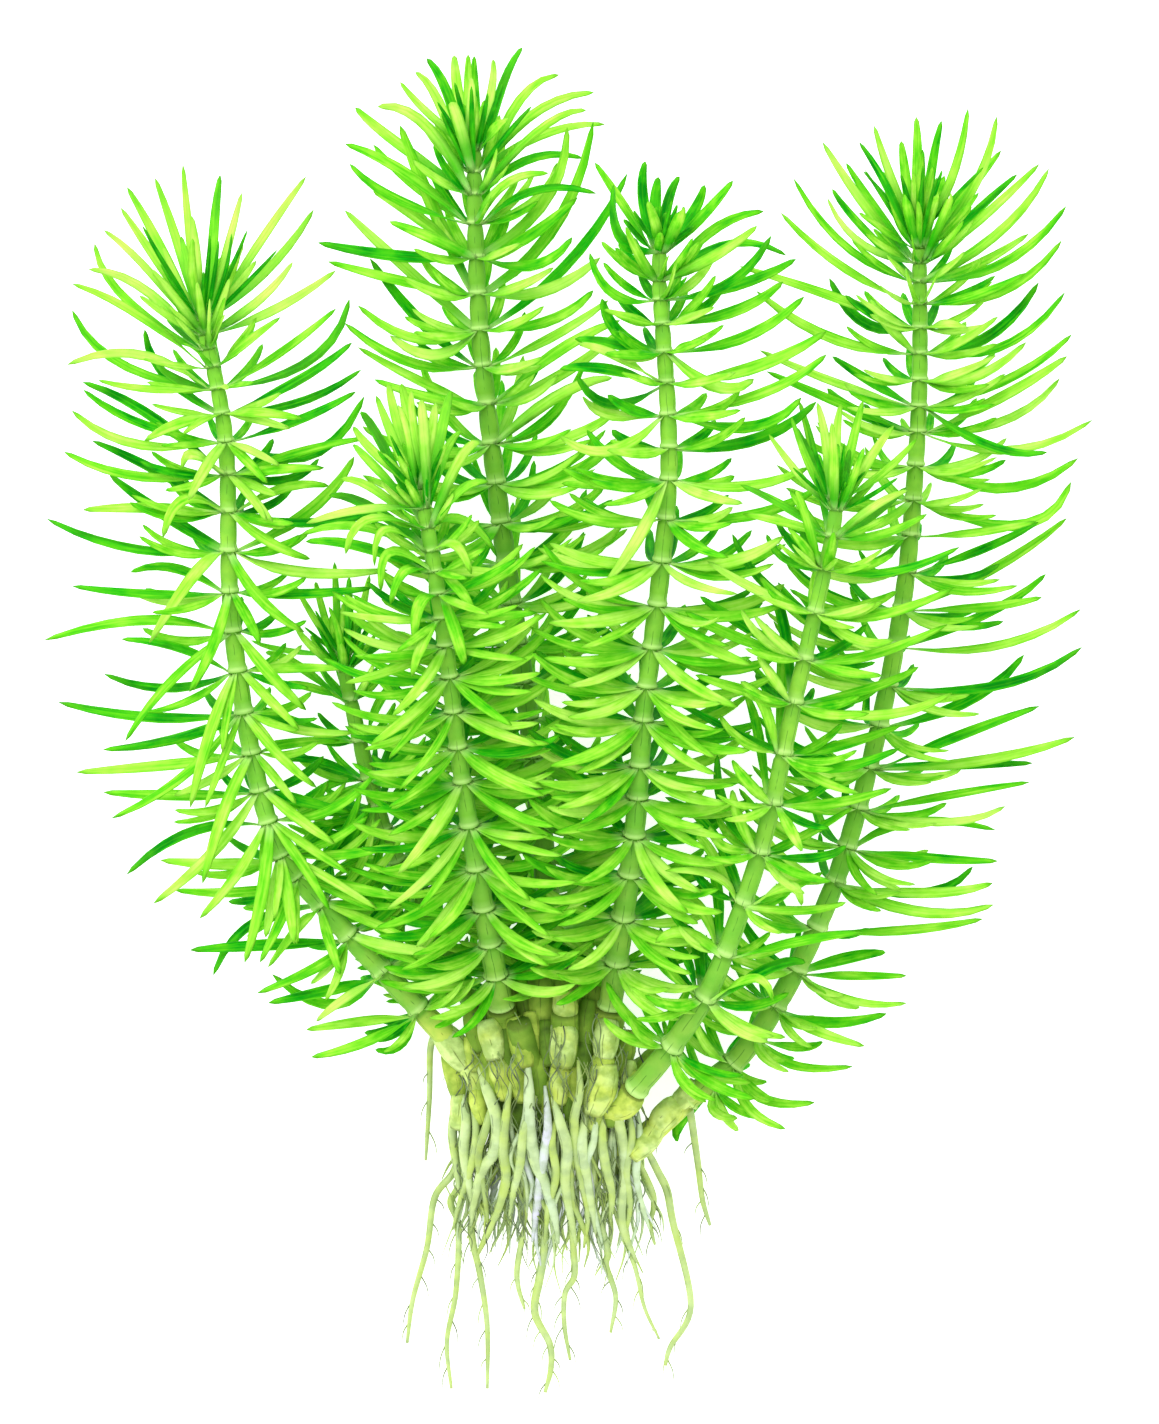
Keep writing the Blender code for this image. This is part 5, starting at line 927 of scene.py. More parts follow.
# What the looks add to each shoot: how dark its leaves are, from 0 for lime to 1 for deep green;
# how much painted shade darkens those behind the stem; how dark the feet of its leaves are; how
# pale the leaves of its tip are, with less than 0 for dark; how wide its leaves are against the
# solids'; how many short dark leaves stand in its heart; how bead-like and how dark its stem is;
# how much steeper the extra leaves behind it rise; and how likely an extra leaf is
LOOKS = ("dark", "back", "foot", "crest", "wide", "hearts", "beads", "stem", "steep", "fill")
SHOOT_LOOKS = {
    "shoot_far_left": (0.4, 0.5, 0.1, 1.0, 0.98, 9, 0.03, 0.1, 6.0, 1.0),
    "shoot_small_left": (0.54, 0.35, 0.7, 0.5, 0.85, 11, 0.03, 0.7, 8.0, 1.4),
    "shoot_mid_left": (0.45, 0.35, 0.3, 1.0, 0.98, 9, 0.03, 0.3, 8.0, 1.3),
    "shoot_tallest": (0.37, -0.1, 0.7, 0.1, 1.05, 7, 0.12, 0.75, 30.0, 1.3),
    "shoot_centre_right": (0.4, 0.4, 0.2, -0.6, 1.12, 7, 0.05, 0.2, 8.0, 1.2),
    "shoot_front_right": (0.4, 0.45, 0.2, 0.4, 0.95, 8, 0.0, 0.25, 8.0, 1.1),
    "shoot_far_right": (0.36, 0.35, 0.4, 0.0, 0.95, 9, 0.02, 0.4, 4.0, 1.0),
}

# The leaves between those of the solids: the room that each needs, how likely one is in front of
# and behind its stem and beside the edge leaves, the turn of each round, and the ranges of turn,
# length, rise, curl and swing
EXTRA_HALF_WIDTH = 0.75
EXTRA_LEAST_GAP = 0.1
EXTRA_DROPPED_UNDER = -0.1
EXTRA_CHANCE_FRONT = 0.75
EXTRA_CHANCE_BACK = 0.8
EXTRA_BACK_UNDER = -0.35
EDGE_EXTRA_CHANCE = 0.5
EXTRA_AT_EDGE_SHARE = 0.62
EXTRA_TURNS = (0, 20)
EXTRA_TURNS_VARY = (-12, 12)
EXTRA_LENGTHS = (0.74, 0.98)
EXTRA_RISES = (-12, 8)
EXTRA_CURLS = (-8, 8)
EXTRA_SWINGS = (-14, 14)
EXTRA_WIDTH = 0.85
QUICK_TRIES = [row for row in TRIES if abs(row[0]) <= 20 and abs(row[1]) <= 16 and row[2] >= 0.7]

# The leaves in the heart of a tip: how far round its near side they stand, how steep they are
HEART_DROPPED_UNDER = -0.45
HEART_HALF_WIDTH = 0.52
HEART_LENGTH = (0.5, 0.8)
HEART_ASIDE = 75.0
HEART_TURNS_VARY = (-8, 8)
HEART_RISE = 68.0
HEART_RISE_FALLS = 0.25
HEART_RISES_VARY = (-5, 5)
HEART_CURLS = (-6, 10)


def extra_leaves(shoots, turn_on):
    """Leaves between those of the solids, which fill up the rings. Each round has its own turn."""
    wanted = []
    for number, (name, shoot) in enumerate(shoots.items()):
        chance = random.Random(shoot["seed"] + 100 + turn_on)
        for place, joint in enumerate(shoot["joints"][:-1]):
            habit, lengths, _, hang = ring_habit(shoot, joint)
            for k in range(STEM_SIDES):
                angle = joint["turn"] + k * 2 * math.pi / STEM_SIDES
                angle += math.radians(turn_on + chance.uniform(*EXTRA_TURNS_VARY))
                nearness, half = math.sin(angle), int(math.cos(angle) > 0)
                keep = chance.random()
                length = lengths[half] * chance.uniform(*EXTRA_LENGTHS)
                more_rise, more_curl = hung(habit, hang, angle)
                rise = habit[0] + chance.uniform(*EXTRA_RISES)
                rise = rise + shoot["steep"] * max(-nearness, 0.0) ** 0.5 + more_rise
                curl = habit[1] + chance.uniform(*EXTRA_CURLS) + more_curl
                swing = math.radians(chance.uniform(*EXTRA_SWINGS))
                more_turn, more_swing = parted(joint, angle)
                likely = EXTRA_CHANCE_FRONT if nearness > EXTRA_BACK_UNDER else EXTRA_CHANCE_BACK
                likely *= shoot["fill"]
                if joint["run"] < EDGE_REACH[name][half]:
                    likely = EDGE_EXTRA_CHANCE
                    length *= EXTRA_AT_EDGE_SHARE
                if keep > likely:
                    continue
                wanted.append(leaf_record(
                    number, name, place, joint, angle + more_turn, rise=rise, curl=curl,
                    length=length, swing=swing + more_swing, wide=EXTRA_WIDTH,
                ))
    return wanted


def heart_leaves(shoots):
    """Short, narrow, dark leaves that stand in the heart of each tip."""
    wanted = []
    for number, (name, shoot) in enumerate(shoots.items()):
        chance = random.Random(shoot["seed"] + 300)
        count = shoot["hearts"]
        for index in range(count):
            place = index % 2
            joint = shoot["joints"][place]
            aim = -HEART_ASIDE + 2 * HEART_ASIDE * (index + 0.5) / count
            angle = math.radians(90.0 - aim + chance.uniform(*HEART_TURNS_VARY))
            length = sum(between(shoot["lengths"], joint["run"])) / 2 * chance.uniform(*HEART_LENGTH)
            wanted.append(leaf_record(
                number, name, place, joint, angle, length=length,
                rise=HEART_RISE - HEART_RISE_FALLS * abs(aim) + chance.uniform(*HEART_RISES_VARY),
                curl=chance.uniform(*HEART_CURLS), swing=math.radians(chance.uniform(*HEART_TURNS_VARY)),
                heart=True, wide=HEART_HALF_WIDTH / LEAF_HALF_WIDTH,
            ))
    return wanted


# Modelling


def active(thing):
    bpy.ops.object.select_all(action="DESELECT")
    thing.select_set(True)
    bpy.context.view_layer.objects.active = thing


def select_where(thing, test):
    """Selects the vertices that pass the test, in edit mode, and leaves edit mode on."""
    bpy.ops.object.mode_set(mode="OBJECT")
    for vert in thing.data.vertices:
        vert.select = False
    for edge in thing.data.edges:
        edge.select = False
    for face in thing.data.polygons:
        face.select = False
    for vert in thing.data.vertices:
        vert.select = bool(test(vert.co))
    bpy.ops.object.mode_set(mode="EDIT")
    bpy.ops.mesh.select_mode(type="VERT")


# The leaf pattern: its widths from the foot to the tip, how deep its channel is, how thick its
# blade is, and how thin its tip. Points are picked within the last number
LEAF_WIDTHS = [0.5, 0.7, 0.88, 0.98, 1.0, 0.96, 0.87, 0.71, 0.47, 0.05]
LEAF_CHANNEL = 0.24
LEAF_BLADE = 0.26
LEAF_TIP_THINNING = 0.25
PICKED_WITHIN = 0.01


def leaf_pattern():
    """One leaf as a closed blade with a channel along its middle: x across, y along, z up."""
    count = len(LEAF_WIDTHS) - 1
    bpy.ops.mesh.primitive_grid_add(x_subdivisions=2, y_subdivisions=count, size=2.0)
    leaf = bpy.context.active_object
    leaf.name = "leaf_pattern"
    active(leaf)
    bpy.ops.object.mode_set(mode="EDIT")
    bpy.ops.mesh.select_all(action="SELECT")
    bpy.ops.transform.translate(value=(0.0, 1.0, 0.0))
    bpy.ops.transform.resize(value=(1.0, 0.5, 1.0), center_override=(0.0, 0.0, 0.0))
    for index, width in enumerate(LEAF_WIDTHS):
        height = index / count
        select_where(leaf, lambda co, height=height: abs(co.y - height) < PICKED_WITHIN)
        bpy.ops.transform.resize(value=(width, 1.0, 1.0), center_override=(0.0, 0.0, 0.0))
    for index, width in enumerate(LEAF_WIDTHS):
        height = index / count
        select_where(leaf, lambda co, height=height: max(abs(co.y - height), abs(co.x)) < PICKED_WITHIN)
        bpy.ops.transform.translate(value=(0.0, 0.0, -LEAF_CHANNEL * width))
    bpy.ops.object.mode_set(mode="OBJECT")
    step = leaf.modifiers.new("thickness", "SOLIDIFY")
    step.thickness = LEAF_BLADE
    step.offset = 0.0
    bpy.ops.object.modifier_apply(modifier=step.name)
    select_where(leaf, lambda co: abs(co.y - 1.0) < 2 * PICKED_WITHIN)
    bpy.ops.transform.resize(value=(1.0, 1.0, LEAF_TIP_THINNING), center_override=(0.0, 1.0, 0.0))
    bpy.ops.object.mode_set(mode="OBJECT")
    return leaf


# A stem section between two joints has a collar at its foot and a waist under the next joint; the
# bud at the tip is drawn up into a rounded point
STEM_AROUND = 14
JOINT_RADIUS = 0.98
STEM_RINGS = [
    (0.03, 1.10), (0.08, 1.14), (0.13, 1.02), (0.2, 0.96), (0.35, 0.99), (0.5, 1.0), (0.65, 1.0),
    (0.8, 0.98), (0.9, 0.94), (0.96, 0.9), (1.0, JOINT_RADIUS),
]
BUD_RINGS = [(0.3, 0.9), (0.6, 0.62), (0.85, 0.3), (1.0, 0.04)]


def ring_pattern(name, rings, closed):
    """A ring drawn up through further rings, each with its height and radius."""
    bpy.ops.mesh.primitive_circle_add(vertices=STEM_AROUND, radius=JOINT_RADIUS, fill_type="NOTHING")
    thing = bpy.context.active_object
    thing.name = name
    active(thing)
    bpy.ops.object.mode_set(mode="EDIT")
    bpy.ops.mesh.select_all(action="SELECT")
    height, radius = 0.0, JOINT_RADIUS
    for up, wide in rings:
        bpy.ops.mesh.extrude_region_move(TRANSFORM_OT_translate={"value": (0.0, 0.0, up - height)})
        bpy.ops.transform.resize(value=(wide / radius, wide / radius, 1.0), center_override=(0.0, 0.0, 0.0))
        height, radius = up, wide
    if closed:
        bpy.ops.mesh.edge_face_add()
    bpy.ops.object.mode_set(mode="OBJECT")
    return thing


def read_pattern(thing):
    """The places and faces of a pattern, which is then taken away."""
    mesh = thing.data
    spots = np.array([vert.co[:] for vert in mesh.vertices])
    faces = [tuple(face.vertices) for face in mesh.polygons]
    bpy.data.objects.remove(thing, do_unlink=True)
    bpy.data.meshes.remove(mesh)
    return spots, faces


# How low a piece may reach in millimetres, and how near points are welded in metres
LOWEST = 0.02
WELD = 0.00001


class Copies:
    """Many bent copies of a few patterns, gathered to be joined into one piece."""

    def __init__(self):
        self.spots = []
        self.faces = []
        self.maps = []
        self.values = {}
        self.count = 0

    def add(self, spots, faces, maps, **values):
        self.faces += [tuple(self.count + k for k in face) for face in faces]
        self.spots.append(spots)
        self.maps.append(maps)
        for label, value in values.items():
            self.values.setdefault(label, []).append(np.broadcast_to(value, len(spots)))
        self.count += len(spots)

    def make(self, name, material, nodes, slot, merge=False):
        """One piece of the visual model, in place, that takes the place of the nodes."""
        mesh = bpy.data.meshes.new(name)
        spots = np.concatenate(self.spots)
        spots[:, 2] = np.maximum(spots[:, 2], LOWEST)
        mesh.from_pydata(((spots + MOVED_BY) * MM).tolist(), [], self.faces)
        for label, numbers in self.values.items():
            attribute = mesh.attributes.new(label, "FLOAT", "POINT")
            attribute.data.foreach_set("value", np.concatenate(numbers).astype(np.float32))
        layer = mesh.uv_layers.new(name="Own")
        corners = np.zeros(len(mesh.loops), dtype=np.int32)
        mesh.loops.foreach_get("vertex_index", corners)
        layer.data.foreach_set("uv", np.concatenate(self.maps).astype(np.float32)[corners].ravel())
        thing = bpy.data.objects.new(name, mesh)
        bpy.context.scene.collection.objects.link(thing)
        active(thing)
        bpy.ops.object.mode_set(mode="EDIT")
        bpy.ops.mesh.select_all(action="SELECT")
        if merge:
            bpy.ops.mesh.remove_doubles(threshold=WELD)
        bpy.ops.mesh.normals_make_consistent(inside=False)
        bpy.ops.object.mode_set(mode="OBJECT")
        bpy.ops.object.shade_smooth()
        mesh.materials.append(material)
        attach(thing, "root")
        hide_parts(*nodes)
        return thing


# The share of its length over which a leaf turns from its stem's face to the light
TURNS_WITHIN = 0.4

# How far from the tip, in millimetres, the leaves of the tuft and of its heart reach
TUFT_DEEP = 15.0
HEART_DEEP = 10.0

# How leaves differ in width and tone, from 0 for lime to 1 for deep green. Some are much darker,
# those behind their stem are darker with painted shade and those in front of it lighter with
# painted light, those in the heart are darker, and the young ones of the tuft are paler
WIDTHS_VARY = (0.82, 1.1)
TUFT_LEAF_WIDTH = 0.82
EDGE_THINNING = 0.5
TONE_VARIES = 0.17
NEAR_PAINTED_LIGHT = 0.1
PAINTED_SHADE_BEHIND_FROM = 0.15
OFTEN_DARK = 0.2
OFTEN_DARKER_BY = 0.45
SEEN_IN_FRONT = 0.6
HEART_TONES = (0.85, 1.05)
HEART_DARKENS = 0.95
YOUNG_SHARES = (0.1, 0.6)
YOUNG_BEHIND = 0.3
YOUNG_IN_FRONT = 0.4
YOUNG_LIGHTENS = 0.25


def blade_frames(path, leaf):
    """Across and up directions along a leaf, which turns from its stem's face to the light."""
    joint = leaf["joint"]
    way = unit(path[-1] - path[0])
    sideways = np.cross(outward(joint, leaf["face_angle"]), joint["along"])
    resting = np.cross(unit(sideways - np.dot(sideways, way) * way), way)
    ways = np.gradient(path, axis=0)
    ways /= np.maximum(np.linalg.norm(ways, axis=1), TINY)[:, None]
    ups = []
    for index, here in enumerate(ways):
        u = min(index / (len(path) - 1) / TURNS_WITHIN, 1.0)
        u = u * u * (3 - 2 * u)
        up = (1 - u) * resting + u * leaf["facing"]
        ups.append(unit(up - np.dot(up, here) * here))
    ups = np.array(ups)
    return np.cross(ways, ups), ups


def leaf_looks(shoot, leaf, tuft, chance):
    """How dark a leaf is, with painted shade behind its stem and painted light in front of it, how pale
    because it is young, and how dark its foot is.
    """
    nearness = math.sin(leaf["angle"])
    # Painted shade darkens leaves behind their stem, and painted light lightens those in front of it
    behind = max(0.0, -nearness - PAINTED_SHADE_BEHIND_FROM) / (1.0 - PAINTED_SHADE_BEHIND_FROM)
    tone = shoot["dark"] + chance.gauss(0.0, TONE_VARIES)
    tone = tone - NEAR_PAINTED_LIGHT * max(nearness, 0.0) + shoot["back"] * behind
    if chance.random() < OFTEN_DARK and nearness < SEEN_IN_FRONT:
        tone += OFTEN_DARKER_BY
    young = 0.0
    if leaf.get("heart"):
        tone = chance.uniform(*HEART_TONES)
    elif tuft > 0:
        young = tuft * max(shoot["crest"], 0.0) * chance.uniform(*YOUNG_SHARES)
        young *= 1.0 if nearness < YOUNG_BEHIND else YOUNG_IN_FRONT
        tone -= YOUNG_LIGHTENS * tuft * shoot["crest"]
    heart = HEART_DARKENS * max(0.0, 1.0 - leaf["joint"]["run"] / HEART_DEEP) ** 0.5
    foot = min(shoot["foot"] + heart, 1.0)
    return {"tone": min(max(tone, 0.0), 1.0), "young": young, "luck": chance.random(), "foot": foot}


def make_leaves(name, shoot, pattern, material):
    """All leaves of a shoot as bent copies of the one leaf."""
    spots, faces = pattern
    chance = random.Random(shoot["seed"] + 500)
    copies = Copies()
    maps = np.column_stack([spots[:, 0] * 0.5 + 0.5, spots[:, 1]])
    for leaf in shoot["leaves"]:
        path = leaf["path"]
        across, ups = blade_frames(path, leaf)
        place = np.clip(spots[:, 1], 0.0, 1.0) * (len(path) - 1)
        low = np.minimum(place.astype(int), len(path) - 2)
        part = (place - low)[:, None]
        centre = np.array([smooth_point(path, p) for p in place])
        side = across[low] * (1 - part) + across[low + 1] * part
        up = ups[low] * (1 - part) + ups[low + 1] * part
        width = LEAF_HALF_WIDTH * leaf.get("wide", 1.0) * shoot["wide"] * chance.uniform(*WIDTHS_VARY)
        tuft = max(0.0, 1.0 - leaf["joint"]["run"] / TUFT_DEEP)
        width *= 1.0 - (1.0 - TUFT_LEAF_WIDTH) * tuft ** 0.5
        thick = (1.0 - EDGE_THINNING * np.abs(spots[:, 0:1])) * min(width / LEAF_HALF_WIDTH, 1.0)
        body = centre + side * spots[:, 0:1] * width + up * spots[:, 2:3] * thick
        copies.add(body, faces, maps, **leaf_looks(shoot, leaf, tuft, chance))
    return copies.make(name.replace("shoot", "leaves"), material, [name], "leafy")


# How far a stem's lower end is closed over, in millimetres, and how far up from the foot the
# outer stems are yellow
FOOT_DEPTH = 0.25
RIPE_FEET = {"shoot_far_right": 1.0, "shoot_far_left": 4.0}


def round_about(spots):
    return np.column_stack([np.arctan2(spots[:, 1], spots[:, 0]) / (2 * math.pi) + 0.5, spots[:, 2]])


def make_stem(name, shoot, section, bud, material):
    """The stem as copies of one section, each bent between two joints, closed at both ends."""
    spots, faces = section
    joints = shoot["joints"]
    centres = [joint["centre"] for joint in joints]
    dark = shoot["stem"]
    copies = Copies()
    v = spots[:, 2:3]
    for place, (upper, lower) in enumerate(zip(joints, joints[1:])):
        centre = np.array([smooth_point(centres, place + 1 - h) for h in spots[:, 2]])
        right, near, radius, low = (
            lower[key] * (1 - v) + upper[key] * v for key in ("right", "near", "radius", "share")
        )
        radius = radius * (1 + shoot["beads"] * np.sin(math.pi * v))
        body = centre + right * spots[:, 0:1] * radius + near * spots[:, 1:2] * radius
        ripe = ripeness(name, joints[-1]["run"] - lower["run"])
        copies.add(body, faces, round_about(spots), low=low[:, 0], ripe=ripe, dark=dark)
    spots, faces = bud
    middle = round_about(spots * (1.0, 1.0, 0.0) + (0.0, 0.0, 0.5))
    for joint, high in ((joints[0], BUD_LENGTH), (joints[-1], -FOOT_DEPTH)):
        body = joint["centre"] + joint["right"] * spots[:, 0:1] * joint["radius"]
        body = body + joint["near"] * spots[:, 1:2] * joint["radius"] + joint["along"] * spots[:, 2:3] * high
        ripe = ripeness(name, joints[-1]["run"] - joint["run"])
        copies.add(body, faces, middle, low=joint["share"], ripe=ripe, dark=dark)
    return copies.make(name.replace("shoot", "stem"), material, [name], "leafy", merge=True)


def ripeness(name, above_foot):
    """How yellow a stem is: 1 near the foot of the two outer shoots, 0 elsewhere."""
    return float(above_foot < RIPE_FEET.get(name, 0.0))


# Materials


def new_group(name, colours, places, numbers):
    """A node group whose inputs are named by kind, and which puts out one colour."""
    group = bpy.data.node_groups.new(name, "ShaderNodeTree")
    for labels, kind in ((colours, "Color"), (places, "Vector"), (numbers, "Float")):
        for label in labels.split():
            group.interface.new_socket(name=label, in_out="INPUT", socket_type="NodeSocket" + kind)
    group.interface.new_socket(name="Colour", in_out="OUTPUT", socket_type="NodeSocketColor")
    return group, group.nodes.new("NodeGroupInput"), group.nodes.new("NodeGroupOutput")


def use_group(tree, group, **values):
    """Places a group in a material, its sockets set to numbers, colours or links."""
    node = tree.nodes.new("ShaderNodeGroup")
    node.node_tree = group
    for label, value in values.items():
        set_socket(tree, node.inputs[label], value)
    return node.outputs[0]


def set_socket(tree, socket, value):
    if isinstance(value, (int, float)):
        socket.default_value = value
    elif isinstance(value, tuple):
        socket.default_value = (*value, 1.0)
    else:
        tree.links.new(value, socket)


def ramp(tree, stops, factor):
    """A colour by a factor, from rising stops: each a place and a colour or a shade of grey."""
    node = tree.nodes.new("ShaderNodeValToRGB")
    elements = node.color_ramp.elements
    elements[0].position, elements[1].position = stops[0][0], stops[-1][0]
    for place, colour in stops[1:-1]:
        elements.new(place)
    for element, (place, colour) in zip(elements, stops):
        element.color = (*(colour if isinstance(colour, tuple) else (colour,) * 3), 1.0)
    tree.links.new(factor, node.inputs["Fac"])
    return node.outputs["Color"]


def mix(tree, factor, first, second):
    node = tree.nodes.new("ShaderNodeMix")
    node.data_type = "RGBA"
    for label, value in (("Factor", factor), ("A", first), ("B", second)):
        set_socket(tree, [row for row in node.inputs if row.name == label and row.enabled][0], value)
    return [row for row in node.outputs if row.enabled][0]


def maths(tree, kind, first, second=None):
    node = tree.nodes.new("ShaderNodeMath")
    node.operation = kind
    for socket, value in zip(node.inputs, (first, second)):
        if value is not None:
            set_socket(tree, socket, value)
    return node.outputs[0]


def times(tree, first, second):
    return maths(tree, "MULTIPLY", first, second)


def swayed(tree, amount, cloud):
    """A cloud brought round zero, up to half the amount to either side."""
    return times(tree, maths(tree, "SUBTRACT", cloud, 0.5), amount)


def noise(tree, vector, scale, detail=3.0):
    node = tree.nodes.new("ShaderNodeTexNoise")
    node.inputs["Detail"].default_value = detail
    set_socket(tree, node.inputs["Scale"], scale)
    tree.links.new(vector, node.inputs["Vector"])
    return node.outputs["Fac"]


def attribute(tree, label):
    node = tree.nodes.new("ShaderNodeAttribute")
    node.attribute_name = label
    return node.outputs["Fac"]


def own_map(tree):
    node = tree.nodes.new("ShaderNodeUVMap")
    node.uv_map = "Own"
    split = tree.nodes.new("ShaderNodeSeparateXYZ")
    tree.links.new(node.outputs["UV"], split.inputs[0])
    return split.outputs["X"], split.outputs["Y"]


def combined(tree, x, y, z):
    node = tree.nodes.new("ShaderNodeCombineXYZ")
    for socket, value in zip(node.inputs, (x, y, z)):
        set_socket(tree, socket, value)
    return node.outputs[0]


def object_place(tree):
    return tree.nodes.new("ShaderNodeTexCoord").outputs["Object"]


def start_material(name, roughness, specular):
    material = bpy.data.materials.new(name)
    material.use_nodes = True
    shader = material.node_tree.nodes["Principled BSDF"]
    shader.inputs["Roughness"].default_value = roughness
    shader.inputs["Specular IOR Level"].default_value = specular
    return material, material.node_tree, shader


def add_bump(tree, shader, height, strength, distance):
    bump = tree.nodes.new("ShaderNodeBump")
    bump.inputs["Strength"].default_value = strength
    bump.inputs["Distance"].default_value = distance
    tree.links.new(height, bump.inputs["Height"])
    tree.links.new(bump.outputs["Normal"], shader.inputs["Normal"])


def washes_group():
    """Soft patches of a second colour, as where a wash of colour has pooled."""
    group, start, end = new_group("washes", "Colour Pooled", "Place", "Scale Amount")
    given = start.outputs
    pool = ramp(group, [(0.42, 0.0), (0.62, 1.0)], noise(group, given["Place"], given["Scale"], 4.0))
    strength = times(group, pool, given["Amount"])
    group.links.new(mix(group, strength, given["Colour"], given["Pooled"]), end.inputs[0])
    return group


def broken_lines_group():
    """A few thin lines along a round piece, broken into dashes."""
    group, start, end = new_group("broken_lines", "Colour Line", "Place", "Around Count Amount")
    given = start.outputs
    wobble = times(group, noise(group, given["Place"], 300.0, 2.0), 0.35)
    turn = times(group, given["Around"], given["Count"])
    part = maths(group, "FRACT", maths(group, "ADD", turn, wobble))
    thin = ramp(group, [(0.0, 0.0), (0.44, 0.0), (0.5, 1.0), (0.56, 0.0), (1.0, 0.0)], part)
    dashes = ramp(group, [(0.48, 0.0), (0.56, 1.0)], noise(group, given["Place"], 420.0, 2.0))
    strength = times(group, times(group, thin, dashes), given["Amount"])
    group.links.new(mix(group, strength, given["Colour"], given["Line"]), end.inputs[0])
    return group


# The washes of the picture, from the palest leaf to the darkest line
LIME = (0.54, 0.87, 0.13)
FRESH = (0.34, 0.75, 0.048)
RICH = (0.105, 0.545, 0.007)
EMERALD = (0.004, 0.37, 0.003)
DEEP = (0.0, 0.21, 0.003)
PALE_YOUNG = (0.52, 0.92, 0.10)
CREAM = (0.58, 0.84, 0.28)
INK_GREEN = (0.02, 0.12, 0.01)
MOSS = (0.10, 0.30, 0.02)
OLIVE = (0.14, 0.27, 0.025)
STRAW = (0.50, 0.62, 0.10)
BARK = (0.08, 0.11, 0.02)
GRAPHITE = (0.07, 0.09, 0.06)

# Stops for a stem from its tip down, a swollen piece from dark to pale, and a root from pale to dark
STEM_GREENS = [
    (0.0, (0.22, 0.60, 0.04)), (0.3, (0.28, 0.60, 0.05)), (0.7, (0.22, 0.56, 0.05)),
    (1.0, (0.30, 0.52, 0.07)),
]
STEM_POOLED = (0.10, 0.42, 0.03)
CROWN_COLOURS = [
    (0.0, (0.04, 0.08, 0.012)), (0.25, OLIVE), (0.5, (0.28, 0.42, 0.05)), (0.75, STRAW),
    (1.0, (0.58, 0.74, 0.26)),
]
ROOT_COLOURS = [
    (0.0, (0.62, 0.63, 0.74)), (0.15, (0.54, 0.68, 0.46)), (0.35, (0.50, 0.64, 0.28)),
    (0.55, (0.42, 0.56, 0.13)), (0.75, (0.18, 0.26, 0.07)), (1.0, (0.05, 0.06, 0.05)),
]
ROOT_POOLED = (0.28, 0.40, 0.18)


def leaf_material(washes):
    material, tree, shader = start_material("leaf_blade", 0.6, 0.06)
    across, along = own_map(tree)
    luck = attribute(tree, "luck")
    number = times(tree, luck, 40.0)
    own = combined(tree, number, times(tree, along, 4.2), across)
    drawn = combined(tree, number, times(tree, along, 2.4), times(tree, across, 5.0))
    patches = swayed(tree, 0.95, noise(tree, own, 1.0))
    strokes = swayed(tree, 0.9, noise(tree, drawn, 1.0))
    shade = maths(tree, "ADD", attribute(tree, "tone"), maths(tree, "ADD", patches, strokes))
    colour = ramp(tree, [(0.0, LIME), (0.3, FRESH), (0.6, RICH), (0.84, EMERALD), (1.0, DEEP)], shade)
    colour = mix(tree, attribute(tree, "young"), colour, PALE_YOUNG)
    place = object_place(tree)
    colour = use_group(tree, washes, Colour=colour, Pooled=RICH, Place=place, Scale=260.0, Amount=0.3)
    foot = ramp(tree, [(0.0, 0.95), (0.2, 0.75), (0.5, 0.0)], along)
    colour = mix(tree, times(tree, foot, attribute(tree, "foot")), colour, EMERALD)
    colour = mix(tree, ramp(tree, [(0.78, 0.0), (1.0, 0.5)], along), colour, RICH)
    colour = mix(tree, ramp(tree, [(0.0, 0.75), (0.07, 0.35), (0.14, 0.0)], along), colour, CREAM)
    edge = maths(tree, "ABSOLUTE", maths(tree, "SUBTRACT", across, 0.5))
    rim = ramp(tree, [(0.0, 0.25), (0.07, 0.0), (0.32, 0.0), (0.46, 0.55)], edge)
    colour = mix(tree, rim, colour, RICH)
    tree.links.new(colour, shader.inputs["Base Color"])
    ribs = noise(tree, combined(tree, times(tree, across, 9.0), along, luck), 1.6, 2.0)
    add_bump(tree, shader, ribs, 0.3, 0.0001)
    return material


def stem_material(washes, broken_lines):
    material, tree, shader = start_material("stem_skin", 0.55, 0.1)
    around, along = own_map(tree)
    place = object_place(tree)
    colour = ramp(tree, STEM_GREENS, attribute(tree, "low"))
    colour = mix(tree, attribute(tree, "ripe"), colour, STRAW)
    colour = use_group(tree, washes, Colour=colour, Pooled=STEM_POOLED, Place=place, Scale=260.0, Amount=0.45)
    colour = mix(tree, times(tree, attribute(tree, "dark"), 0.75), colour, MOSS)
    top = ramp(tree, [(0.55, 0.0), (0.88, 0.25), (0.95, 0.9), (1.0, 0.9)], along)
    colour = mix(tree, top, colour, MOSS)
    collar = ramp(tree, [(0.0, 0.4), (0.08, 0.65), (0.14, 0.2), (0.3, 0.0)], along)
    colour = mix(tree, collar, colour, CREAM)
    colour = use_group(
        tree, broken_lines, Colour=colour, Line=INK_GREEN, Around=around, Place=place, Count=7.0, Amount=0.85,
    )
    # Painted shade: the flanks of the stem, which turn away from the light above, are mixed towards moss
    # green
    side = maths(tree, "ABSOLUTE", maths(tree, "SINE", times(tree, around, 2 * math.pi)))
    colour = mix(tree, ramp(tree, [(0.0, 0.6), (0.3, 0.3), (0.62, 0.0)], side), colour, MOSS)
    tree.links.new(colour, shader.inputs["Base Color"])
    ribs = noise(tree, combined(tree, times(tree, around, 30.0), along, 0.0), 1.2, 2.0)
    add_bump(tree, shader, ribs, 0.3, 0.00012)
    return material


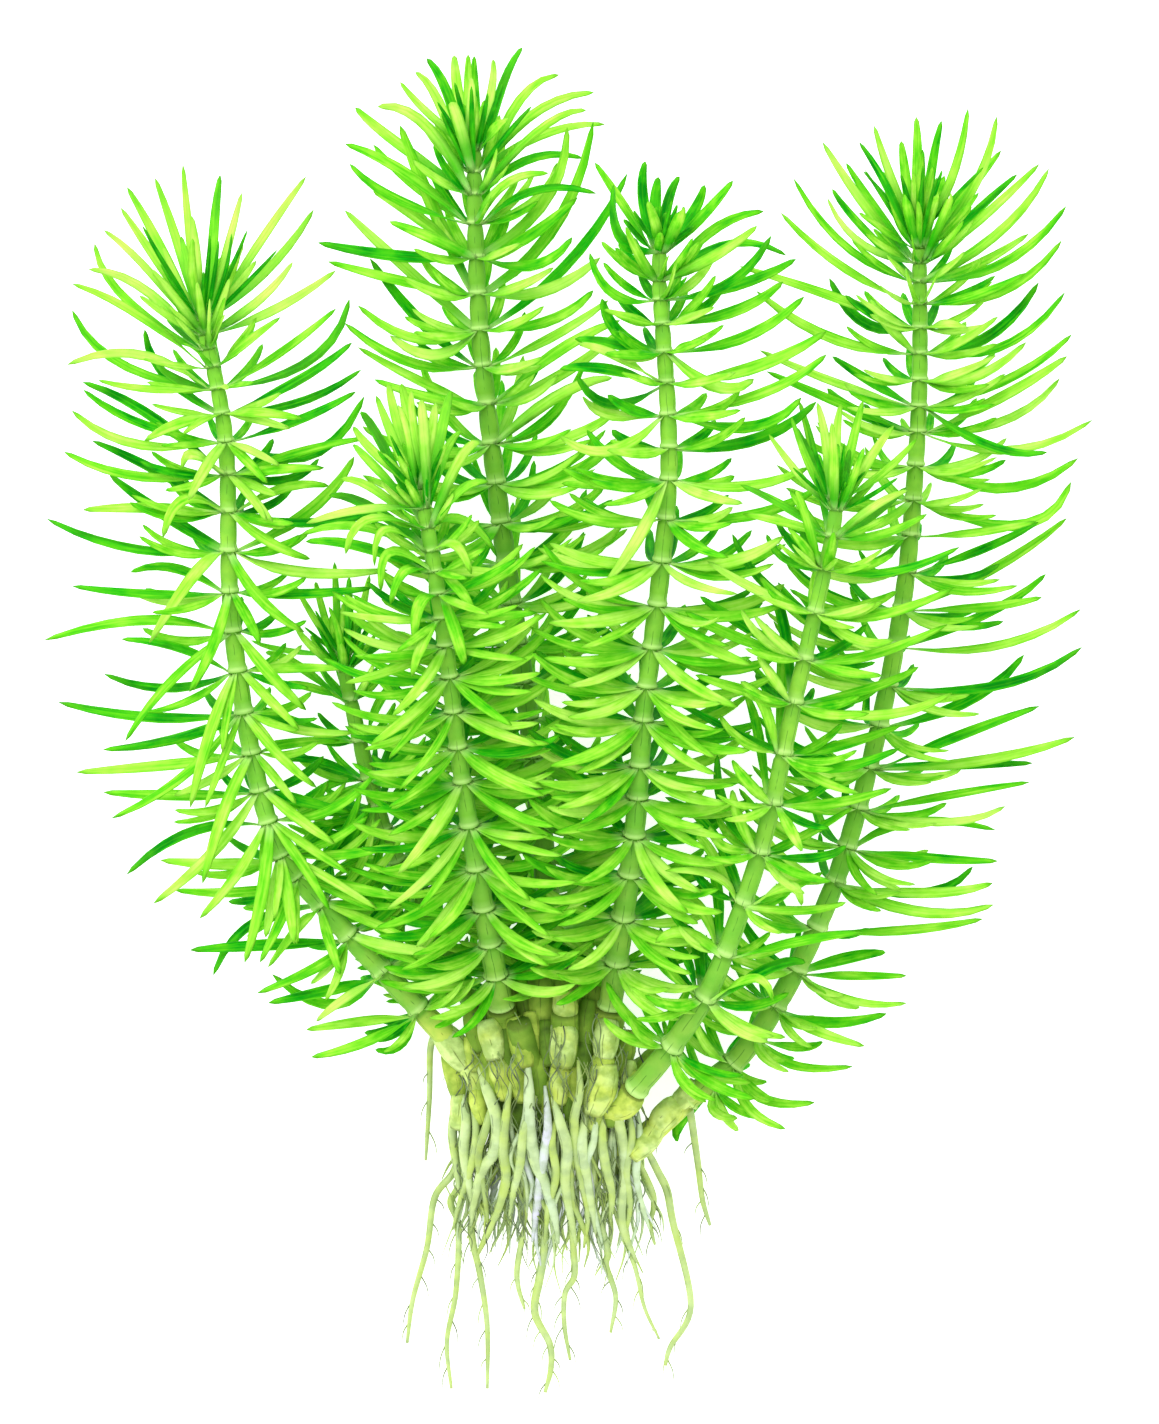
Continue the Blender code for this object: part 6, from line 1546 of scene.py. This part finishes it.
def crown_material(washes, broken_lines):
    material, tree, shader = start_material("crown_skin", 0.65, 0.1)
    around, along = own_map(tree)
    place = object_place(tree)
    cloud = swayed(tree, 0.7, noise(tree, place, 320.0, 4.0))
    colour = ramp(tree, CROWN_COLOURS, maths(tree, "ADD", attribute(tree, "pale"), cloud))
    colour = use_group(tree, washes, Colour=colour, Pooled=OLIVE, Place=place, Scale=500.0, Amount=0.55)
    bands = ramp(tree, [(0.0, 0.5), (0.05, 0.0), (0.92, 0.0), (0.98, 0.5), (1.0, 0.5)], along)
    colour = mix(tree, bands, colour, BARK)
    colour = use_group(
        tree, broken_lines, Colour=colour, Line=BARK, Around=around, Place=place, Count=6.0, Amount=0.8,
    )
    tree.links.new(colour, shader.inputs["Base Color"])
    add_bump(tree, shader, noise(tree, place, 900.0), 0.3, 0.0002)
    return material


def root_material(washes, broken_lines):
    material, tree, shader = start_material("root_skin", 0.6, 0.1)
    around = own_map(tree)[0]
    place = object_place(tree)
    cloud = swayed(tree, 0.45, noise(tree, place, 260.0))
    colour = ramp(tree, ROOT_COLOURS, maths(tree, "ADD", attribute(tree, "shade"), cloud))
    colour = use_group(tree, washes, Colour=colour, Pooled=ROOT_POOLED, Place=place, Scale=420.0, Amount=0.5)
    colour = use_group(
        tree, broken_lines, Colour=colour, Line=GRAPHITE, Around=around, Place=place, Count=3.0, Amount=0.75,
    )
    tree.links.new(colour, shader.inputs["Base Color"])
    add_bump(tree, shader, noise(tree, place, 1200.0), 0.25, 0.00015)
    return material


# The crown and the roots


# The swollen pieces that show on the crown: both ends in the picture with their heights, the
# radius, and how pale each is, from 0 for dark olive to 1 for pale green. The dark olive of the
# darkest pieces, set between paler ones, is partly their own colour and partly painted shade
# that falls between the pieces
CROWN_PIECES = [
    ((440, 1030, 13.0), (468, 1068, 12.5), 2.2, 1.0), ((463, 1058, 12.5), (483, 1096, 12.5), 1.8, 0.85),
    ((486, 1020, 17.5), (495, 1060, 17.5), 1.9, 0.95), ((495, 1056, 17.0), (506, 1100, 15.6), 1.6, 0.75),
    ((514, 1018, 18.0), (526, 1068, 18.5), 1.8, 0.6), ((534, 1050, 17.0), (542, 1106, 15.6), 1.5, 0.3),
    ((563, 990, 19.0), (566, 1030, 19.5), 1.9, 0.8), ((566, 1024, 19.5), (562, 1068, 19.2), 2.1, 0.9),
    ((560, 1064, 18.6), (559, 1104, 16.6), 1.6, 0.75), ((609, 1020, 18.0), (604, 1060, 18.4), 2.0, 0.98),
    ((606, 1052, 17.8), (604, 1074, 17.8), 1.7, 0.6), ((606, 1062, 18.0), (592, 1114, 16.2), 2.4, 0.85),
    ((590, 1000, 16.0), (586, 1048, 16.5), 1.6, 0.35), ((585, 1040, 16.5), (583, 1082, 16.0), 1.6, 0.2),
    ((642, 1072, 16.0), (624, 1114, 14.5), 1.7, 0.8), ((472, 1008, 14.0), (481, 1054, 15.0), 1.7, 0.35),
    ((626, 1030, 14.5), (619, 1080, 14.5), 1.7, 0.5), ((572, 1066, 17.0), (578, 1108, 15.6), 1.4, 0.7),
    ((657, 1052, 10.5), (636, 1092, 12.0), 1.6, 0.5), ((698, 1085, 10.0), (677, 1107, 10.2), 1.95, 0.9),
    ((680, 1103, 10.2), (655, 1131, 10.2), 1.9, 0.85), ((658, 1128, 10.2), (631, 1158, 10.0), 1.8, 0.88),
    ((540, 972, 15.0), (544, 1034, 16.0), 2.3, 0.42), ((526, 968, 12.0), (531, 1036, 14.0), 2.3, 0.25),
    ((556, 968, 13.0), (558, 1010, 15.0), 2.1, 0.35), ((504, 980, 14.0), (507, 1040, 16.0), 1.9, 0.45),
    ((546, 1020, 17.5), (550, 1066, 17.5), 1.4, 0.15), ((503, 1020, 16.5), (509, 1068, 16.5), 1.4, 0.15),
    ((580, 970, 13.0), (583, 1016, 14.0), 2.0, 0.45), ((598, 984, 14.0), (601, 1034, 15.5), 1.8, 0.5),
    ((450, 1054, 10.0), (460, 1098, 9.5), 2.0, 0.6), ((459, 1094, 10.0), (457, 1130, 9.0), 1.6, 0.95),
    ((518, 1060, 17.0), (523, 1102, 15.6), 1.5, 0.75), ((487, 1050, 15.5), (492, 1100, 14.5), 1.6, 0.5),
    ((613, 1088, 15.5), (609, 1126, 13.6), 1.6, 0.35), ((566, 1090, 16.0), (569, 1128, 14.4), 1.5, 0.2),
    ((530, 1012, 17.4), (534, 1052, 17.8), 1.3, 0.7), ((550, 1080, 16.6), (548, 1120, 15.0), 1.3, 0.6),
    ((478, 1086, 13.0), (484, 1124, 12.4), 1.4, 0.7), ((598, 1098, 15.6), (590, 1132, 14.0), 1.3, 0.9),
    ((630, 1060, 15.4), (622, 1094, 15.0), 1.2, 0.95), ((470, 1036, 14.4), (476, 1072, 14.0), 1.3, 0.75),
]
PIECE_SWELL = [0.75, 1.0, 1.08, 1.02, 0.94, 0.7]
PIECE_RADII_VARY = (0.94, 1.06)
PIECE_SWAYS = (-0.5, 0.5)
PIECE_ARCH = 0.2
BASE_SWELL = [1.0, 1.15, 0.95]
LUMP_SHARE = 0.97
LUMP_PALENESS = 0.1

# How fine the strands are: the sides of each and its rings to a stretch
THICK_STRAND = (14, 6)
BROAD_STRAND = (10, 5)
LONG_STRAND = (10, 8)
FINE_STRAND = (8, 3)
HAIR_STRAND = (5, 3)

# How pale the base of each shoot is, in their order, and then the bases of old shoots
BASE_PALENESS = (0.8, 0.3, 0.45, 0.3, 0.5, 0.75, 0.8, 0.3, 0.35, 0.3)

# The broad roots that run down over the crown: places in the picture from the top down, the
# radius, and how dark each is; they lie on the bunch
BROAD_ROOTS = [
    (((477, 1060), (487, 1090), (497, 1120), (495, 1150), (482, 1172), (474, 1204), (470, 1228)), 0.95, 0.36),
    (((527, 1055), (529, 1092), (530, 1130), (535, 1160), (545, 1185), (555, 1222), (558, 1246)), 0.95, 0.26),
    (((552, 1097), (560, 1122), (567, 1150), (565, 1180), (570, 1215), (576, 1248)), 0.85, 0.38),
    (((585, 1110), (582, 1145), (587, 1180), (597, 1240)), 0.80, 0.34),
    (((617, 1072), (615, 1102), (625, 1160), (622, 1222), (637, 1265)), 0.80, 0.40),
    (((511, 1080), (506, 1116), (503, 1150), (506, 1180), (498, 1210), (486, 1238), (475, 1262)), 0.75, 0.52),
    (((462, 1092), (466, 1122), (464, 1152), (469, 1186), (476, 1222)), 0.80, 0.34),
    (((545, 1086), (548, 1124), (545, 1150), (540, 1180), (536, 1212), (532, 1244)), 0.70, 0.06),
    (((604, 1112), (602, 1140), (606, 1168), (612, 1196), (610, 1226)), 0.70, 0.48),
    (((450, 1066), (455, 1102), (452, 1136), (456, 1168), (460, 1204)), 0.70, 0.44),
    (((638, 1112), (640, 1140), (636, 1170), (640, 1200), (650, 1232)), 0.60, 0.20),
    (((578, 1060), (580, 1090), (574, 1120), (576, 1150), (582, 1184), (588, 1216), (584, 1250)), 0.70, 0.50),
    (((494, 1096), (486, 1128), (478, 1156), (484, 1192), (488, 1230)), 0.65, 0.58),
    (((536, 1096), (524, 1130), (520, 1164), (512, 1200), (508, 1240)), 0.65, 0.44),
    (((560, 1104), (552, 1140), (556, 1176), (548, 1210), (544, 1250)), 0.60, 0.56),
    (((628, 1106), (632, 1138), (626, 1172), (630, 1208), (624, 1244)), 0.60, 0.50),
    (((596, 1106), (594, 1140), (586, 1166), (592, 1204), (604, 1252)), 0.60, 0.22),
    (((470, 1092), (476, 1130), (472, 1164), (462, 1196), (452, 1232)), 0.60, 0.50),
]

# How high the bunch reaches along its length, in millimetres, and how it falls off to its sides
BUNCH_HEIGHT = [
    (-100.0, 0.8), (-84.0, 1.4), (-80.0, 3.2), (-74.0, 7.6), (-68.0, 12.5), (-62.0, 17.0), (-54.0, 20.2),
    (-46.0, 20.6),
]
BUNCH_MIDDLE = -2.0
BUNCH_HALF_WIDTH = 18.0

# The broad roots: how they taper, how deep they lie in the bunch in shares of their radius, and
# how their upper ends rise over the crown and start inside it
BROAD_SWELL = [0.35, 0.9, 1.1, 1.1, 0.95, 0.75, 0.25]
BROAD_LIES_IN = 0.3
BROAD_ROOTS_RISE = 1.6
ROOT_TOP_REACH = 14.0
BROAD_START_SINKS = 2.2

# The fine roots: how many, the ranges they are drawn from, how they gather, wave and taper
FINE_ROOTS = 112
FINE_FROM, FINE_OVER = -16.0, 27.0
FINE_DEPTHS = (0.35, 0.97)
FINE_TOP, FINE_TOP_VARIES = -58.0, 8.0
FINE_LENGTHS = (12.0, 27.0)
FINE_LOWEST, FINE_LOWEST_VARIES, FINE_LOWEST_BENDS = -83.0, (0.0, 7.0), 0.03
FINE_GATHERS = 0.98
FINE_SWAYS = (-4.0, 4.0)
FINE_WIDTHS = (0.26, 0.56)
FINE_WAVE, FINE_WAVE_TURNS, FINE_WAVE_STEP = 1.25, 8.0, 1.7
FINE_SHADES = (0.05, 0.3, 0.4, 0.5, 0.6)
FINE_SHADES_VARY = (-0.05, 0.05)
FINE_SWELL = [1.0, 1.05, 0.8, 0.2]

# The hair roots in the same way. They lie over the bunch, and over the crown where it stands out
HAIR_ROOTS = 170
HAIR_ACROSS = (-18.0, 12.0)
HAIR_STARTS = (-78.0, -45.0)
HAIR_LENGTHS = (4.0, 10.0)
HAIR_DRIFTS = (-0.3, 0.3)
HAIR_WIDTHS = (0.07, 0.14)
HAIR_WAVE, HAIR_WAVE_TURNS = 0.6, 6.0
HAIR_LIES_OVER = 0.25
CROWN_STANDS_OUT = 1.4
CROWN_ENDS = -60.0
HAIR_LOWEST = 0.3
HAIR_SWELL = [1.0, 1.0, 0.35]
HAIR_SHADES = (0.75, 1.0)

# The shares of its length at which a wandering root has a point
ALONG = [k / 6 for k in range(7)]


def bunch_top(x, y):
    """How high the bunch of roots reaches over a place on the surface."""
    rows = np.array(BUNCH_HEIGHT)
    bulge = max(0.1, 1.0 - ((x - BUNCH_MIDDLE) / BUNCH_HALF_WIDTH) ** 2)
    return float(np.interp(y, rows[:, 0], rows[:, 1])) * bulge ** 0.5


def tube_copy(copies, points, radii, sides, steps, **values):
    """A closed round strand through the points."""
    stretches = len(points) - 1
    count = stretches * steps
    spots, faces, maps = [], [], []
    for ring in range(count + 1):
        place = ring / steps
        centre = smooth_point(points, place)
        ahead, back = min(place + A_LITTLE, stretches), max(place - A_LITTLE, 0)
        way = unit(smooth_point(points, ahead) - smooth_point(points, back))
        near = unit(np.array([0.0, 0.0, 1.0]) - way[2] * way)
        right = np.cross(way, near)
        radius = float(np.interp(ring / count, np.linspace(0, 1, len(radii)), radii))
        for k in range(sides):
            turn = 2 * math.pi * k / sides
            spots.append(centre + radius * (math.cos(turn) * right + math.sin(turn) * near))
            maps.append((k / sides, place / stretches))
    for ring in range(count):
        for k in range(sides):
            a = ring * sides + k
            b = ring * sides + (k + 1) % sides
            faces.append((a, b, b + sides, a + sides))
    faces.append(tuple(range(sides - 1, -1, -1)))
    faces.append(tuple(count * sides + k for k in range(sides)))
    copies.add(np.array(spots), faces, np.array(maps), **values)


def make_crown(material):
    """The rootstock, the bases of the shoots and the swollen pieces that show between them."""
    copies = Copies()
    chance = random.Random(53)
    for first, last, radius, pale in CROWN_PIECES:
        top, foot = on_table(*first), on_table(*last)
        middle = (top + foot) / 2 + np.array([chance.uniform(*PIECE_SWAYS), 0.0, PIECE_ARCH])
        radii = [radius * share * chance.uniform(*PIECE_RADII_VARY) for share in PIECE_SWELL]
        tube_copy(copies, [top, middle, foot], radii, *THICK_STRAND, pale=pale)
    for (points, radius), pale in zip(stem_bases(SHOOTS), BASE_PALENESS):
        tube_copy(copies, points, [radius * share for share in BASE_SWELL], *THICK_STRAND, pale=pale)
    copies.make("stem_bases", material, ["crown"], "crown", merge=True)

    bpy.ops.mesh.primitive_uv_sphere_add(segments=32, ring_count=20, radius=1.0)
    spots, faces = read_pattern(bpy.context.active_object)
    lump = Copies()
    body = spots * CROWN_HALF_SIZE * LUMP_SHARE + CROWN_MIDDLE
    lump.add(body, faces, round_about(spots * 0.3 + 0.5), pale=LUMP_PALENESS)
    lump.make("rootstock", material, ["crown"], "crown")


def make_bunch(material):
    """The bunched roots: broad ones over the crown, and thinner ones that cross under them."""
    copies = Copies()
    for places, radius, shade in BROAD_ROOTS:
        points = []
        top = on_table(*places[0])[1]
        for across, down in places:
            x, y = on_table(across, down)[:2]
            rise = BROAD_ROOTS_RISE * max(0.0, 1.0 - (top - y) / ROOT_TOP_REACH)
            points.append([x, y, max(bunch_top(x, y) - radius * BROAD_LIES_IN + rise, radius)])
        points[0][2] -= BROAD_START_SINKS
        tube_copy(copies, points, [radius * share for share in BROAD_SWELL], *BROAD_STRAND, shade=shade)
    chance = random.Random(41)
    for index in range(FINE_ROOTS):
        x = FINE_FROM + FINE_OVER * chance.random()
        depth = chance.uniform(*FINE_DEPTHS)
        top = FINE_TOP - FINE_TOP_VARIES * chance.random()
        foot = top - chance.uniform(*FINE_LENGTHS)
        bend = FINE_LOWEST_BENDS * (x - BUNCH_MIDDLE) ** 2
        foot = max(foot, FINE_LOWEST - chance.uniform(*FINE_LOWEST_VARIES) + bend)
        end = x * FINE_GATHERS + chance.uniform(*FINE_SWAYS)
        width = chance.uniform(*FINE_WIDTHS)
        points = []
        for u in ALONG:
            wave = FINE_WAVE * u * math.sin(u * FINE_WAVE_TURNS + index * FINE_WAVE_STEP)
            here = x + (end - x) * u + wave
            y = top + (foot - top) * u
            points.append((here, y, max(bunch_top(here, y) * depth, width)))
        shade = chance.choice(FINE_SHADES) + chance.uniform(*FINE_SHADES_VARY)
        tube_copy(copies, points, [width * share for share in FINE_SWELL], *FINE_STRAND, shade=shade)
    copies.make("root_bunch", material, ["root_mass"], "root")


def make_hairs(material):
    """Thin dark hair roots that wander over and below the bunch."""
    chance = random.Random(43)
    copies = Copies()
    for index in range(HAIR_ROOTS):
        x = chance.uniform(*HAIR_ACROSS)
        y = chance.uniform(*HAIR_STARTS)
        long = chance.uniform(*HAIR_LENGTHS)
        drift = chance.uniform(*HAIR_DRIFTS)
        width = chance.uniform(*HAIR_WIDTHS)
        points = []
        for u in ALONG:
            here = x + drift * long * u + HAIR_WAVE * math.sin(u * HAIR_WAVE_TURNS + index)
            down = y - long * u
            over = CROWN_STANDS_OUT if down > CROWN_ENDS else HAIR_LIES_OVER
            points.append((here, down, max(bunch_top(here, down) + over, HAIR_LOWEST)))
        radii = [width * share for share in HAIR_SWELL]
        tube_copy(copies, points, radii, *HAIR_STRAND, shade=chance.uniform(*HAIR_SHADES))
    copies.make("hair_roots", material, ["root_mass"], "root")


# The long roots: how they taper, their shade, and the hairs that branch off them at every half
# stretch, as far as the last number short of the tip
LONG_SWELL = [0.3, 0.9, 1.0, 0.95, 0.88, 0.8, 0.72, 0.62, 0.4]
LONG_SHADE = 0.45
BRANCH_EVERY = 0.5
BRANCHES_STOP = 1.2
BRANCH_ACROSS = (0.8, 1.8)
BRANCH_LENGTHS = (2.0, 5.0)
BRANCH_FALLS = 0.2
BRANCH_LOWEST = 0.25
BRANCH_BOWS = 0.35
BRANCH_RADII = [0.12, 0.1, 0.05]
BRANCH_SHADES = (0.6, 0.95)

# Where the roots at the sides grow from; the others grow out of the bunch
SIDE_STARTS = {"root_side_left": (-19.2, -47.6, 12.2), "root_side_right": (18.6, -58.2, 9.2)}
LEAD_TURN = 0.22
LEAD_LONG = 7.0
LEAD_DEPTH = 0.85


def with_start(name, points):
    """The points of a long root, led back to what it grows from."""
    x, y, z = points[0]
    across, down = x + (BUNCH_MIDDLE - x) * LEAD_TURN, y + LEAD_LONG
    start = (across, down, max(bunch_top(across, down) * LEAD_DEPTH, z))
    return [SIDE_STARTS.get(name, start), *points]


def make_long_roots(material):
    """The long single roots, each with a few hairs that branch off it."""
    chance = random.Random(47)
    for name, (points, radius) in LONG_ROOTS.items():
        copies = Copies()
        led = with_start(name, points)
        tube_copy(copies, led, [radius * share for share in LONG_SWELL], *LONG_STRAND, shade=LONG_SHADE)
        for place in np.arange(BRANCH_EVERY, len(points) - BRANCHES_STOP, BRANCH_EVERY):
            start = smooth_point(points, place)
            side = chance.choice((-1, 1))
            across, long = side * chance.uniform(*BRANCH_ACROSS), chance.uniform(*BRANCH_LENGTHS)
            end = start + np.array([across, -long, -BRANCH_FALLS])
            end[2] = max(end[2], BRANCH_LOWEST)
            middle = (start + end) / 2 + np.array([side * BRANCH_BOWS, 0.0, 0.0])
            shade = chance.uniform(*BRANCH_SHADES)
            tube_copy(copies, [start, middle, end], BRANCH_RADII, *HAIR_STRAND, shade=shade)
        copies.make(name + "_strand", material, [name], "root")


def grow():
    """Every leaf of the solids, and the leaves that the looks add, all clear of each other."""
    for name, shoot in SHOOTS.items():
        shoot.update(zip(LOOKS, SHOOT_LOOKS[name]), leaves=[], taken=set())
        shoot["joints"] = stem_joints(shoot)
    crowd = place_leaves(SHOOTS)
    more = heart_leaves(SHOOTS)
    for turn_on in EXTRA_TURNS:
        more += extra_leaves(SHOOTS, turn_on)
    for leaf in more:
        dropped_under = HEART_DROPPED_UNDER if leaf.get("heart") else EXTRA_DROPPED_UNDER
        shapes = tried_shapes(leaf, QUICK_TRIES)
        place_leaf(crowd, SHOOTS, leaf, shapes, EXTRA_LEAST_GAP, dropped_under, EXTRA_HALF_WIDTH)


def make_all():
    """Every piece of the plant."""
    grow()
    washes = washes_group()
    broken_lines = broken_lines_group()
    leaf_skin = leaf_material(washes)
    stem_skin, crown_skin, root_skin = (
        make(washes, broken_lines) for make in (stem_material, crown_material, root_material)
    )
    leaf = read_pattern(leaf_pattern())
    section = read_pattern(ring_pattern("stem_pattern", STEM_RINGS, closed=False))
    bud = read_pattern(ring_pattern("bud_pattern", BUD_RINGS, closed=True))
    for name, shoot in SHOOTS.items():
        make_leaves(name, shoot, leaf, leaf_skin)
        make_stem(name, shoot, section, bud, stem_skin)
    make_crown(crown_skin)
    make_bunch(root_skin)
    make_hairs(root_skin)
    make_long_roots(root_skin)


# The picture's width and middle in its own steps; the camera's height and the height at which the
# picture's scale holds, in metres; and how bright the floor, the sky and the window are
PHOTO_WIDTH = 1159
PHOTO_MIDDLE = (579.5, 712.0)
CAMERA_HEIGHT = 4.0
SCALE_HEIGHT = 0.02
FLOOR_GLOWS = 0.7
SKY_STRENGTH = 1.28
WINDOW_SIZE = 1.2
WINDOW_POWER = 10.0
WHITE = (1.0, 1.0, 1.0, 1.0)
PAPER = (0.95, 0.95, 0.95, 1.0)


def studio():
    """A plain pale floor, soft light all round and a camera that looks straight down."""
    bpy.ops.mesh.primitive_plane_add(size=3.0, location=(0.0, 0.0, 0.0))
    floor = bpy.context.active_object
    floor.name = "floor"
    material, _, shader = start_material("floor_paper", 0.9, 0.0)
    shader.inputs["Base Color"].default_value = PAPER
    shader.inputs["Emission Color"].default_value = WHITE
    shader.inputs["Emission Strength"].default_value = FLOOR_GLOWS
    floor.data.materials.append(material)
    world = bpy.data.worlds.new("studio")
    world.use_nodes = True
    sky = world.node_tree.nodes["Background"].inputs
    sky["Color"].default_value = WHITE
    sky["Strength"].default_value = SKY_STRENGTH
    scene = bpy.context.scene
    scene.world = world
    light = bpy.data.lights.new("soft_window", "AREA")
    light.shape = "RECTANGLE"
    light.size = light.size_y = WINDOW_SIZE
    light.energy = WINDOW_POWER
    lamp = bpy.data.objects.new("soft_window", light)
    lamp.location = (-0.5, 0.6, 1.1)
    lamp.rotation_euler = (math.radians(-32), math.radians(-24), 0.0)
    scene.collection.objects.link(lamp)
    camera = bpy.data.cameras.new("camera")
    camera.sensor_fit = "HORIZONTAL"
    camera.sensor_width = 36.0
    camera.lens = camera.sensor_width * (CAMERA_HEIGHT - SCALE_HEIGHT) / (PHOTO_WIDTH * STEP * MM)
    camera.clip_start = 0.1
    camera.clip_end = 20.0
    eye = bpy.data.objects.new("camera", camera)
    middle = (on_table(*PHOTO_MIDDLE) + MOVED_BY) * MM
    eye.location = (middle[0], middle[1], CAMERA_HEIGHT)
    scene.collection.objects.link(eye)
    scene.camera = eye
    scene.view_settings.view_transform = "Standard"


make_all()
studio()
